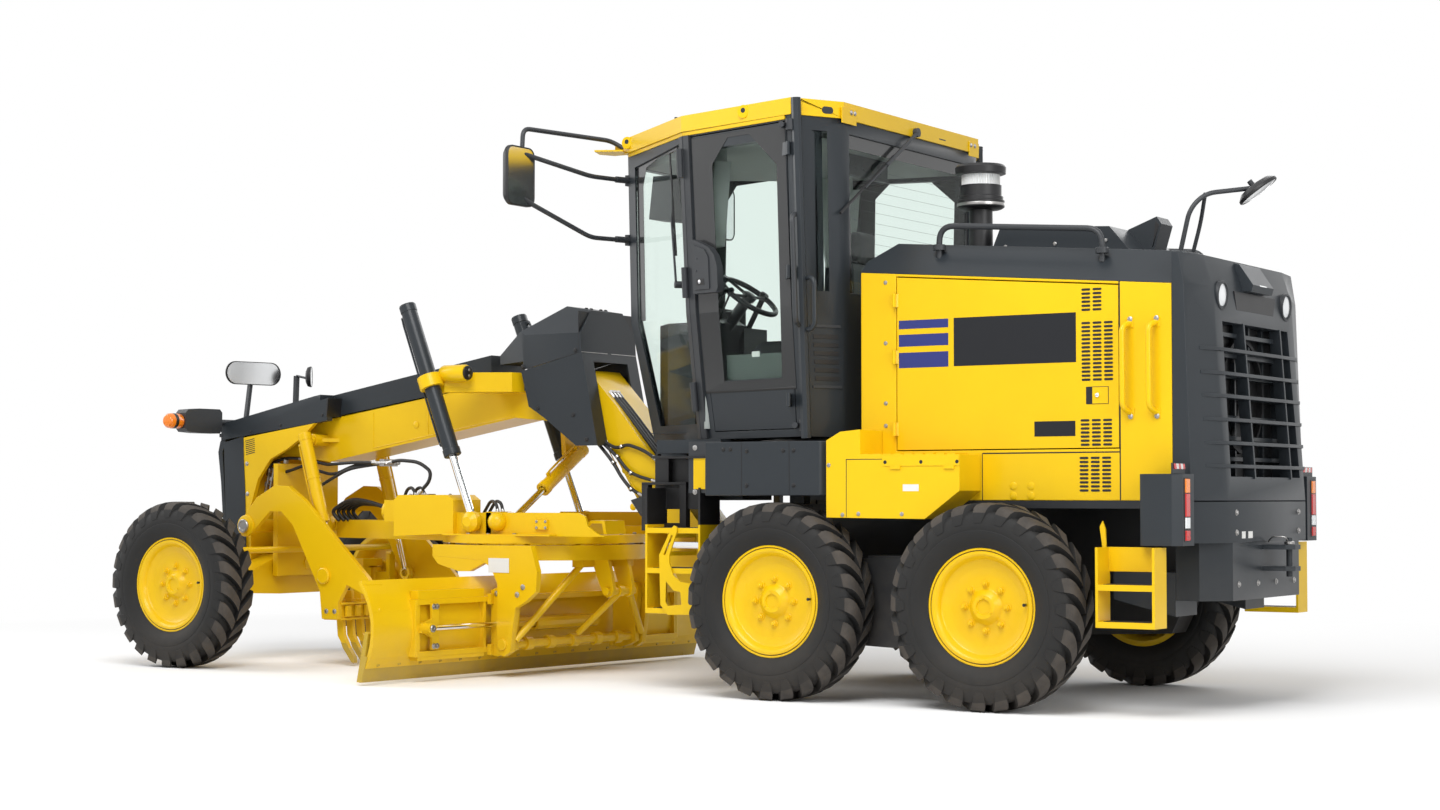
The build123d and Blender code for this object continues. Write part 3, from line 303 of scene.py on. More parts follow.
YELLOW = Finish("yellow_paint", (0.79, 0.51, 0.004), (0.72, 0.42, 0.003), 1.2, 0.5, 0.28, 0.38, coat=0.16,
    coat_rough=0.10, specular=0.26, grain_scale=420, grain=0.12, grain_depth=0.0005, dust_top=0.5,
    dust=0.25)
DARK = Finish("dark_paint", (0.025, 0.030, 0.035), (0.018, 0.022, 0.026), 1.5, 0.5, 0.3, 0.42, coat=0.1,
    coat_rough=0.15, specular=0.3, grain_scale=420, grain=0.12, grain_depth=0.0005, dust_top=0.9, dust=0.25)
CHASSIS = Finish("chassis_paint", (0.012, 0.014, 0.017), (0.02, 0.021, 0.022), 3.0, 0.5, 0.38, 0.55,
    dust_top=1.0, dust=0.3)
PLASTIC = Finish("dark_plastic", (0.028, 0.031, 0.035), (0.02, 0.022, 0.025), 3.0, 0.4, 0.4, 0.52,
    grain_scale=900, grain=0.3, grain_depth=0.0008)
BLACK = Finish("black_trim", (0.010, 0.010, 0.011), (0.016, 0.016, 0.017), 4.0, 0.4, 0.35, 0.5,
    grain_scale=800, grain=0.2)
RUBBER = Finish("tyre_rubber", (0.013, 0.013, 0.013), (0.019, 0.018, 0.017), 5.0, 0.6, 0.55, 0.75,
    grain_scale=260, grain=0.45, grain_depth=0.001, dust_top=0.35, dust=0.2, specular=0.35)
WORN_RUBBER = Finish("worn_tread", (0.062, 0.052, 0.043), (0.03, 0.027, 0.024), 9.0, 0.8, 0.68, 0.85,
    grain_scale=160, grain=0.6, grain_depth=0.0016)
CHROME = Finish("rod_chrome", (0.86, 0.87, 0.88), (0.78, 0.79, 0.8), 3.0, 0.3, 0.06, 0.14, metallic=1.0,
    grain=0.02)
STEEL = Finish("bare_steel", (0.42, 0.41, 0.40), (0.3, 0.29, 0.28), 8.0, 0.6, 0.25, 0.42, metallic=1.0,
    grain=0.15)
EDGE = Finish("edge_steel", (0.56, 0.37, 0.012), (0.40, 0.27, 0.02), 3.0, 0.5, 0.35, 0.5, coat=0.1,
    dust_top=0.3, dust=0.5)
HOSE = Finish("hose_rubber", (0.014, 0.014, 0.015), (0.022, 0.022, 0.022), 6.0, 0.4, 0.45, 0.6,
    grain_scale=700, grain=0.3)
BLUE = Finish("stripe_blue", (0.012, 0.02, 0.16), (0.01, 0.017, 0.13), 2.0, 0.3, 0.3, 0.38, coat=0.4,
    grain=0.05)
PLATE = Finish("bare_plate", (0.014, 0.015, 0.018), (0.012, 0.013, 0.015), 2.0, 0.3, 0.3, 0.38, coat=0.1,
    grain=0.05, specular=0.25)
LABEL = Finish("pale_plate", (0.72, 0.72, 0.70), (0.66, 0.66, 0.65), 5.0, 0.3, 0.4, 0.5, grain=0.05)
GLASS = Finish("window_glass", (0.87, 0.935, 0.905), (0.86, 0.925, 0.895), 1.0, 0.2, 0.0, 0.02,
    transmission=1.0, ior=1.14, grain=0.0)
MIRROR = Finish("mirror_glass", (0.80, 0.81, 0.82), (0.70, 0.71, 0.72), 6.0, 0.3, 0.16, 0.20, metallic=1.0,
    grain=0.0)
AMBER = Finish("amber_lens", (0.85, 0.22, 0.01), (0.75, 0.17, 0.01), 8.0, 0.3, 0.12, 0.2, coat=0.6,
    grain=0.1)
RED = Finish("red_lens", (0.55, 0.012, 0.01), (0.45, 0.01, 0.01), 8.0, 0.3, 0.12, 0.2, coat=0.6, grain=0.1)
CLEAR = Finish("clear_lens", (0.8, 0.82, 0.83), (0.7, 0.72, 0.73), 8.0, 0.3, 0.08, 0.16, coat=0.7,
    grain=0.1)
CLOTH = Finish("seat_cloth", (0.022, 0.023, 0.026), (0.034, 0.035, 0.038), 30.0, 0.7, 0.75, 0.9, sheen=0.25,
    grain_scale=1200, grain=0.7, grain_depth=0.001)
IRON = Finish("engine_iron", (0.03, 0.03, 0.032), (0.05, 0.05, 0.052), 7.0, 0.6, 0.5, 0.65, metallic=0.4,
    grain=0.4)
FRIT = Finish("glass_border", (0.030, 0.031, 0.032), (0.026, 0.027, 0.028), 1.0, 0.2, 0.10, 0.16, coat=0.3,
    grain=0.0)
STORE = Finish("store_box", (0.080, 0.100, 0.092), (0.070, 0.088, 0.080), 3.0, 0.3, 0.35, 0.45, grain=0.1)
LINING = Finish("cab_lining", (0.34, 0.37, 0.355), (0.29, 0.315, 0.30), 4.0, 0.4, 0.6, 0.75,
    grain_scale=700, grain=0.2)
INTERIOR = Finish("cab_trim", (0.05, 0.052, 0.056), (0.038, 0.04, 0.043), 4.0, 0.4, 0.5, 0.62,
    grain_scale=900, grain=0.3)


class Paintshop:
    """Keeps one material for each finish."""

    @staticmethod
    @cache
    def material(finish: Finish) -> bpy.types.Material:
        """Give the finish's material, made on first use."""
        return finish.build()


class Shape:
    """Mesh under construction, in metres in the shared frame."""

    def __init__(self, name: str, finish: Finish) -> None:
        """Start an empty shape with its first finish."""
        self.name = name
        self.mesh = bmesh.new()
        self.finishes: list[Finish] = [finish]
        self.current = 0

    def use(self, finish: Finish) -> "Shape":
        """Give what is added next another finish."""
        if finish not in self.finishes:
            self.finishes.append(finish)
        self.current = self.finishes.index(finish)
        return self

    def rings(self, rings: list[list[Point]], closed_path: bool = False) -> "Shape":
        """Skin closed rings of equal count into one surface.

        Args:
            rings: Rings of points in order.
            closed_path: Whether the last ring joins the first. Otherwise both ends are filled.

        Returns:
            This shape.
        """
        made = [[self.mesh.verts.new(p) for p in ring] for ring in rings]
        count = len(made[0])
        following = made[1:] + made[:1] if closed_path else made[1:]
        for first, second in zip(made, following):
            for i in range(count):
                j = (i + 1) % count
                self.face((first[i], first[j], second[j], second[i]))
        if not closed_path:
            self.face(made[0])
            self.face(made[-1])
        return self

    def face(self, points: tuple | list) -> None:
        """Add one face with the current finish, unless it is there already."""
        try:
            face = self.mesh.faces.new(points)
        except ValueError:
            return
        face.material_index = self.current

    def prism(self, outline: list[Flat], axis: Axis, low: float, high: float) -> "Shape":
        """Push a flat outline along an axis.

        Args:
            outline: Points in the two other axes, in XYZ order.
            axis: Axis that the outline is pushed along.
            low: One end along that axis.
            high: The other end.

        Returns:
            This shape.
        """
        cut = axis.value
        return self.rings([[(*p[:cut], level, *p[cut:]) for p in outline] for level in sorted((low, high))])

    def block(self, x: Flat, y: Flat, z: Flat) -> "Shape":
        """Add a block from its two levels in each direction."""
        return self.prism([(y[0], z[0]), (y[1], z[0]), (y[1], z[1]), (y[0], z[1])], Axis.X, *x)

    def turned(self, profile: list[Flat], centre: Point, direction: Point, steps: int = 32,
            ring: bool = False) -> "Shape":
        """Turn a profile of (along, radius) points about an axis.

        Args:
            profile: Points along the axis with their radius.
            centre: Point on the axis where along is 0.
            direction: Direction of the axis.
            steps: Number of sides.
            ring: Whether the profile closes on itself, as for a hoop.

        Returns:
            This shape.
        """
        axis = Vector(direction).normalized()
        across = axis.orthogonal().normalized()
        other = axis.cross(across)
        rings = []
        for along, radius in profile:
            middle = Vector(centre) + axis * along
            circle = []
            for i in range(steps):
                angle = 2 * math.pi * i / steps
                circle.append(middle + (across * math.cos(angle) + other * math.sin(angle)) * max(radius,
                    0.00005))
            rings.append(circle)
        return self.rings(rings, closed_path=ring)

    def bar(self, start: Point, end: Point, radius: float, steps: int = 20) -> "Shape":
        """Add a round bar between two points."""
        run = Vector(end) - Vector(start)
        return self.turned([(0, radius), (run.length, radius)], start, run, steps)

    def tube(self, points: list[Point], radius: float, bend: float = 0.04, steps: int = 12) -> "Shape":
        """Add a tube along straight runs with rounded corners.

        Args:
            points: Corners of the path.
            radius: Radius of the tube.
            bend: Radius of the rounded corners.
            steps: Sides of the tube.

        Returns:
            This shape.
        """
        path = self._rounded([Vector(p) for p in points], bend)
        rings = []
        side = None
        for i, point in enumerate(path):
            ahead = path[min(i + 1, len(path) - 1)] - path[max(i - 1, 0)]
            ahead.normalize()
            side = ahead.orthogonal().normalized() if side is None else (side - ahead
                * side.dot(ahead)).normalized()
            other = ahead.cross(side)
            angles = [2 * math.pi * k / steps for k in range(steps)]
            rings.append([point + (side * math.cos(a) + other * math.sin(a)) * radius for a in angles])
        return self.rings(rings)

    @staticmethod
    def _rounded(points: list[Vector], bend: float, steps: int = 6) -> list[Vector]:
        """Round the corners of a path with short curves."""
        path = [points[0]]
        for before, corner, after in zip(points, points[1:], points[2:]):
            first, second = before - corner, after - corner
            reach = min(bend, first.length * 0.49, second.length * 0.49)
            start, end = corner + first.normalized() * reach, corner + second.normalized() * reach
            for i in range(steps + 1):
                t = i / steps
                path.append(start * (1 - t) ** 2 + corner * 2 * t * (1 - t) + end * t ** 2)
        path.append(points[-1])
        return path

    def bolts(self, places: list[Point], out: Point, radius: float = 0.009, washer: bool = True) -> "Shape":
        """Add hexagon heads on their washers.

        Args:
            places: Points on the surface.
            out: Direction out of the surface.
            radius: Radius of a head's corners.
            washer: Whether a washer lies under each head.

        Returns:
            This shape.
        """
        for place in places:
            if washer:
                self.turned([(-0.001, radius * 1.35), (0.0015, radius * 1.35), (0.0025, radius * 1.2)],
                    place, out, 16)
            self.turned([(0.001, radius), (radius * 0.6, radius), (radius * 0.75, radius * 0.8)], place,
                out, 6)
        return self

    def pin_end(self, place: Point, out: Point, radius: float) -> "Shape":
        """Add a pin's round cap with a grease nipple in its middle."""
        cap = [(-0.01, radius), (0.005, radius), (0.009, radius * 0.86), (0.009, 0.008), (0.006, 0.006)]
        return self.turned(cap, place, out, 32).turned([(0.006, 0.0045), (0.016, 0.0045), (0.019, 0.003)],
            place, out, 10)

    def hose(self, points: list[Point], radius: float) -> "Shape":
        """Add a clipped hydraulic hose with crimped ends and hexagon fittings."""
        self.use(HOSE).tube(points, radius, bend=0.09, steps=12)
        self.use(STEEL)
        for end, nearby in ((points[0], points[1]), (points[-1], points[-2])):
            out = (Vector(nearby) - Vector(end)).normalized()
            self.turned([(-0.004, radius * 1.25), (0.028, radius * 1.25), (0.034, radius * 1.05)], end, out,
                14)
            self.turned([(-0.020, radius * 1.45), (-0.004, radius * 1.45)], end, out, 6)
        return self

    def mirrored(self) -> "Shape":
        """Add the mirror image of everything so far across the machine's middle."""
        copy = bmesh.ops.duplicate(self.mesh,
            geom=self.mesh.verts[:] + self.mesh.edges[:] + self.mesh.faces[:])
        for vert in (g for g in copy["geom"] if isinstance(g, bmesh.types.BMVert)):
            vert.co.x = -vert.co.x
        return self

    def flipped(self) -> "Shape":
        """Move everything so far to the machine's other side."""
        for vert in self.mesh.verts:
            vert.co.x = -vert.co.x
        return self

    def turn(self, degrees: float, centre: Point) -> "Shape":
        """Turn everything so far about an upright axis through a point."""
        bmesh.ops.transform(self.mesh, matrix=upright_turn(degrees, centre), verts=self.mesh.verts)
        return self

    def done(self, body: Body | str, bevel: float = 0.0,
            replaced: tuple[str, ...] = ()) -> bpy.types.Object:
        """Turn the shape into a finished object that rides on a body.

        Args:
            body: Body that carries the piece.
            bevel: Width of the rounded edges, or 0 for none.
            replaced: CAD nodes that the piece stands for.

        Returns:
            The object.
        """
        return Trim.mount(self.made(bevel), body, replaced)

    def made(self, bevel: float = 0.0) -> bpy.types.Object:
        """Turn the shape into an object that rides on nothing yet.

        Args:
            bevel: Width of the rounded edges, or 0 for none.

        Returns:
            The object.
        """
        bmesh.ops.remove_doubles(self.mesh, verts=self.mesh.verts, dist=MERGE_DISTANCE)
        bmesh.ops.recalc_face_normals(self.mesh, faces=self.mesh.faces)
        return Trim.smooth(Trim.solid(self.name, self.mesh, *self.finishes), bevel)


def rectangle(across: Flat, up: Flat) -> list[Flat]:
    """Corners of a rectangle in its own plane."""
    return [(across[0], up[0]), (across[1], up[0]), (across[1], up[1]), (across[0], up[1])]


def arc(centre: Flat, radius: float, angles: range) -> list[Flat]:
    """Points on a circle at the given degrees."""
    return [(centre[0] + radius * math.cos(math.radians(a)), centre[1] + radius * math.sin(math.radians(a)))
            for a in angles]


def upright_turn(degrees: float, centre: Point) -> Matrix:
    """Matrix that turns about an upright axis through a point."""
    middle = Vector(centre)
    return Matrix.Translation(middle) @ Matrix.Rotation(math.radians(degrees), 4,
        "Z") @ Matrix.Translation(-middle)


class Trim:
    """Steps that finish any object."""

    @staticmethod
    def linked(name: str, data: bpy.types.ID) -> bpy.types.Object:
        """Give an object of some data, linked to the scene."""
        piece = bpy.data.objects.new(name, data)
        bpy.context.scene.collection.objects.link(piece)
        return piece

    @classmethod
    def solid(cls, name: str, mesh: bmesh.types.BMesh, *finishes: Finish) -> bpy.types.Object:
        """Turn a mesh under construction into a linked object with its finishes, and free it."""
        data = bpy.data.meshes.new(name)
        mesh.to_mesh(data)
        mesh.free()
        for finish in finishes:
            data.materials.append(Paintshop.material(finish))
        return cls.linked(name, data)

    @staticmethod
    def smooth(piece: bpy.types.Object, bevel: float = 0.0) -> bpy.types.Object:
        """Shade by angle and round the edges."""
        piece.data.shade_smooth()
        piece.data.set_sharp_from_angle(angle=SMOOTH_ANGLE)
        if bevel:
            modifier = piece.modifiers.new("rounded edges", "BEVEL")
            modifier.width = bevel
            modifier.segments = 2
            modifier.limit_method = "ANGLE"
            modifier.angle_limit = SMOOTH_ANGLE
            modifier.harden_normals = True
        return piece

    @staticmethod
    def mount(piece: bpy.types.Object, body: Body | str, replaced: tuple[str, ...] = (),
            slot: str = "") -> bpy.types.Object:
        """Let a piece ride on its body and stand for CAD nodes."""
        name = body.value if isinstance(body, Body) else body
        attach(piece, name)
        if replaced:
            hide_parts(*replaced)
        LOG.info("piece %s on %s, %d faces", piece.name, name, len(piece.data.polygons))
        return piece

    @classmethod
    def plain(cls, piece: bpy.types.Object) -> bpy.types.Object:
        """Replace an object by the plain mesh that its modifiers give.

        Args:
            piece: Object with modifiers.

        Returns:
            The new object without modifiers.
        """
        graph = bpy.context.evaluated_depsgraph_get()
        data = bpy.data.meshes.new_from_object(piece.evaluated_get(graph), preserve_all_data_layers=True,
            depsgraph=graph)
        name = piece.name
        bpy.data.objects.remove(piece)
        return cls.linked(name, data)


class Repeater:
    """Geometry Nodes trees that repeat a seed mesh in rows or round an axis."""

    @staticmethod
    def _tree(name: str, inputs: dict[str, object]) -> tuple[bpy.types.NodeTree, dict[str, object], dict]:
        """Start a geometry tree with named inputs.

        Args:
            name: Name of the tree.
            inputs: Values by socket name, a whole number or a vector each.

        Returns:
            The tree, the values by socket identifier, and the outputs of its input node.
        """
        tree = bpy.data.node_groups.new(name, "GeometryNodeTree")
        for way in ("INPUT", "OUTPUT"):
            tree.interface.new_socket(name="Geometry", in_out=way, socket_type="NodeSocketGeometry")
        values = {}
        for label, value in inputs.items():
            kind = "NodeSocketInt" if isinstance(value, int) else "NodeSocketVector"
            values[tree.interface.new_socket(name=label, in_out="INPUT",
                socket_type=kind).identifier] = value
        return tree, values, NodeKit.add(tree, "NodeGroupInput").outputs

    @staticmethod
    def _run(seed: Shape, tree: bpy.types.NodeTree, copies: bpy.types.NodeSocket,
            values: dict[str, object]) -> bpy.types.Object:
        """End a tree in Realize Instances and Set Material, run it on its seed and keep the plain mesh.

        Args:
            seed: Shape that is repeated; it is used up.
            tree: Geometry tree.
            copies: Output that gives the instances.
            values: Input identifiers with their values.

        Returns:
            The repeated object, without modifiers.
        """
        last = NodeKit.add(tree, "GeometryNodeRealizeInstances", {"Geometry": copies}).outputs["Geometry"]
        for index, finish in enumerate(seed.finishes):
            inputs = {"Geometry": last, "Material": Paintshop.material(finish)}
            if index:
                mark = NodeKit.add(tree, "GeometryNodeInputNamedAttribute", {"Name": MARK + str(index)},
                    data_type="BOOLEAN")
                inputs["Selection"] = mark.outputs["Attribute"]
            last = NodeKit.add(tree, "GeometryNodeSetMaterial", inputs).outputs["Geometry"]
        NodeKit.add(tree, "NodeGroupOutput", {"Geometry": last})
        bmesh.ops.recalc_face_normals(seed.mesh, faces=seed.mesh.faces)
        piece = Trim.solid(seed.name, seed.mesh)
        for index in range(1, len(seed.finishes)):
            mark = piece.data.attributes.new(MARK + str(index), "BOOLEAN", "FACE")
            mark.data.foreach_set("value", [face.material_index == index for face in piece.data.polygons])
        modifier = piece.modifiers.new("repeat", "NODES")
        modifier.node_group = tree
        for identifier, value in values.items():
            modifier[identifier] = value
        return Trim.plain(piece)

    @classmethod
    def grid(cls, seed: Shape, across: tuple[int, Point],
            along: tuple[int, Point] = (1, (0, 0, 0))) -> bpy.types.Object:
        """Repeat a seed in a row or a grid.

        Args:
            seed: Shape at the first place.
            across: Count and step of the first direction.
            along: Count and step of the second direction.

        Returns:
            The repeated object.
        """
        tree, values, given = cls._tree("grid of " + seed.name, {
            "Columns": across[0], "Rows": along[0], "Column step": across[1], "Row step": along[1]})
        total = NodeKit.math(tree, "MULTIPLY", given["Columns"], given["Rows"])
        points = NodeKit.add(tree, "GeometryNodePoints", {"Count": total}).outputs["Points"]
        index = NodeKit.add(tree, "GeometryNodeInputIndex").outputs["Index"]
        row = NodeKit.math(tree, "FLOOR", NodeKit.math(tree, "DIVIDE", index, given["Columns"]))
        column = NodeKit.math(tree, "FLOORED_MODULO", index, given["Columns"])
        moves = [NodeKit.vector(tree, "SCALE", {0: given[step], "Scale": factor})
                 for factor, step in ((column, "Column step"), (row, "Row step"))]
        place = NodeKit.vector(tree, "ADD", dict(enumerate(moves)))
        spread = NodeKit.add(tree, "GeometryNodeSetPosition", {"Geometry": points, "Position": place})
        copies = NodeKit.add(tree, "GeometryNodeInstanceOnPoints", {
            "Points": spread.outputs["Geometry"], "Instance": given["Geometry"]})
        return cls._run(seed, tree, copies.outputs["Instances"], values)

    @classmethod
    def ring(cls, seed: Shape, count: int, centre: Point, axis: Point) -> bpy.types.Object:
        """Repeat a seed round an axis.

        Args:
            seed: Shape at the first place.
            count: Number of copies.
            centre: Point on the axis.
            axis: Direction of the axis, one of X, Y or Z.

        Returns:
            The repeated object.
        """
        tree, values, given = cls._tree("ring of " + seed.name, {"Count": count, "Centre": centre,
            "Axis": axis})
        points = NodeKit.add(tree, "GeometryNodePoints", {"Count": given["Count"]}).outputs["Points"]
        copies = NodeKit.add(tree, "GeometryNodeInstanceOnPoints",
            {"Points": points, "Instance": given["Geometry"]})
        index = NodeKit.add(tree, "GeometryNodeInputIndex").outputs["Index"]
        share = NodeKit.math(tree, "DIVIDE", index, given["Count"])
        angle = NodeKit.math(tree, "MULTIPLY", share, 2 * math.pi)
        around = NodeKit.add(tree, "GeometryNodeRotateInstances", {
            "Instances": copies.outputs["Instances"], "Pivot Point": given["Centre"], "Local Space": False,
            "Rotation": NodeKit.vector(tree, "SCALE", {0: given["Axis"], "Scale": angle})})
        return cls._run(seed, tree, around.outputs["Instances"], values)


@dataclass
class Refinish:
    """Gives CAD nodes their finish and, where asked, rounded edges on a merged copy."""

    frame: dict

    def paint(self, finish: Finish, *nodes: str) -> None:
        """Give CAD nodes a finish as they are."""
        for name in nodes:
            data = self.frame["nodes"][name].data
            data.materials.clear()
            data.materials.append(Paintshop.material(finish))

    def rounded(self, finish: Finish, bevel: float, *nodes: str, dark_part: Zone | None = None) -> None:
        """Stand a merged copy with rounded edges in for each node.

        Args:
            finish: Finish of the copies.
            bevel: Width of the rounded edges in metres.
            nodes: Names of the CAD nodes.
            dark_part: Ranges in x, y and z of the part that is painted black.
        """
        for name in nodes:
            mesh = bmesh.new()
            mesh.from_mesh(self.frame["nodes"][name].data)
            bmesh.ops.remove_doubles(mesh, verts=mesh.verts, dist=1e-5)
            bmesh.ops.dissolve_limit(mesh, angle_limit=math.radians(1.0), verts=mesh.verts,
                edges=mesh.edges)
            finishes = [finish]
            if dark_part:
                self._split(mesh, dark_part)
                finishes.append(BLACK)
            piece = Trim.smooth(Trim.solid("smooth_" + name, mesh, *finishes), bevel)
            Trim.mount(piece, self._body(name), (name,))

    @staticmethod
    def _split(mesh: bmesh.types.BMesh, part: Zone) -> None:
        """Cut a mesh at a part's lower plane and give the faces in the part the second material.

        Args:
            mesh: Mesh to cut.
            part: Ranges in x, y and z.
        """
        (x0, x1), (y0, y1), (z0, z1) = part
        for side in (1, -1):
            inside = [face for face in mesh.faces if x0 < face.calc_center_median().x * side < x1
                      and y0 < face.calc_center_median().y < y1]
            shape = {item for face in inside for item in (face, *face.edges, *face.verts)}
            bmesh.ops.bisect_plane(mesh, geom=list(shape), plane_co=(0, 0, z0), plane_no=(0, 0, 1))
            for face in mesh.faces:
                middle = face.calc_center_median()
                if x0 < middle.x * side < x1 and y0 < middle.y < y1 and z0 < middle.z < z1:
                    face.material_index = 1

    def _body(self, node: str) -> str:
        """Name of the body that holds a node."""
        bodies = self.frame["record"]["behaviour"]["bodies"]
        return next(body for body, members in bodies.items() if node in members)


@dataclass
class Studio:
    """Pale floor, soft lights and the camera at the photograph's angle."""

    camera_place: Point = (11.788, 7.919, 1.074)
    camera_aim: Point = (-0.8364, -0.5468, 0.0391)
    lens_mm: float = 59.28
    floor_half: float = 60.0
    fade_start: float = 4.2
    fade_end: float = 9.0
    sky: float = 0.45

    def build(self) -> None:
        """Make the floor, world, lights and camera."""
        self._floor()
        self._world()
        self._lights()
        self._camera()

    def _floor(self) -> None:
        """Floor that keeps the shadow near the machine and fades to white."""
        mesh = bmesh.new()
        bmesh.ops.create_grid(mesh, x_segments=1, y_segments=1, size=self.floor_half)
        floor = Trim.solid("floor", mesh)
        material = bpy.data.materials.new("studio_floor")
        tree = NodeKit.cleared(material)
        diffuse = NodeKit.add(tree, "ShaderNodeBsdfDiffuse", {"Color": (0.93, 0.93, 0.93, 1)})
        glow = NodeKit.add(tree, "ShaderNodeEmission")
        place = NodeKit.add(tree, "ShaderNodeTexCoord").outputs["Object"]
        reach = NodeKit.add(tree, "ShaderNodeVectorMath", {0: place}, operation="LENGTH").outputs["Value"]
        fade = NodeKit.add(tree, "ShaderNodeMapRange", {
            "Value": reach, "From Min": self.fade_start, "From Max": self.fade_end}).outputs["Result"]
        seen = NodeKit.add(tree, "ShaderNodeLightPath").outputs["Is Camera Ray"]
        mix = NodeKit.add(tree, "ShaderNodeMixShader", {"Fac": NodeKit.math(tree, "MULTIPLY", fade, seen),
            1: diffuse.outputs["BSDF"], 2: glow.outputs["Emission"]})
        NodeKit.add(tree, "ShaderNodeOutputMaterial", {"Surface": mix.outputs["Shader"]})
        floor.data.materials.append(material)

    def _world(self) -> None:
        """World that lights softly and shows as white to the camera, in gloss and through glass."""
        world = bpy.data.worlds.new("studio")
        bpy.context.scene.world = world
        tree = NodeKit.cleared(world)
        soft, white = [NodeKit.add(tree, "ShaderNodeBackground",
            {"Color": (1, 1, 1, 1), "Strength": strength}) for strength in (self.sky, 1.0)]
        rays = NodeKit.add(tree, "ShaderNodeLightPath").outputs
        clear = NodeKit.math(tree, "MAXIMUM", rays["Is Camera Ray"], rays["Is Transmission Ray"])
        mix = NodeKit.add(tree, "ShaderNodeMixShader", {
            "Fac": NodeKit.math(tree, "MAXIMUM", clear, rays["Is Glossy Ray"]),
            1: soft.outputs["Background"], 2: white.outputs["Background"]})
        NodeKit.add(tree, "ShaderNodeOutputWorld", {"Surface": mix.outputs["Shader"]})

    def _lights(self) -> None:
        """Large soft lamps over and beside the machine."""
        rows = (  # name, place, aim, size, power
            ("key", (7.0, 3.0, 9.0), (0.0, 0.0, 1.0), 7.0, 900.0),
            ("front", (3.0, -9.0, 6.0), (0.0, -1.0, 1.0), 6.0, 350.0),
            ("rear", (4.0, 10.0, 4.0), (0.0, 2.0, 1.5), 5.0, 260.0),
            ("far", (-9.0, 0.0, 6.0), (0.0, 0.0, 1.0), 7.0, 260.0))
        for name, place, aim, size, power in rows:
            light = bpy.data.lights.new(name, "AREA")
            light.shape = "DISK"
            light.size = size
            light.energy = power
            lamp = Trim.linked(name, light)
            lamp.location = place
            lamp.rotation_euler = (Vector(aim) - Vector(place)).to_track_quat("-Z", "Y").to_euler()

    def _camera(self) -> None:
        """Camera at the photograph's place."""
        data = bpy.data.cameras.new("camera")
        data.lens = self.lens_mm
        data.sensor_width = 36.0
        data.sensor_fit = "HORIZONTAL"
        camera = Trim.linked("camera", data)
        camera.location = self.camera_place
        camera.rotation_euler = Vector(self.camera_aim).to_track_quat("-Z", "Y").to_euler()
        bpy.context.scene.camera = camera
        bpy.context.scene.view_settings.view_transform = "Standard"


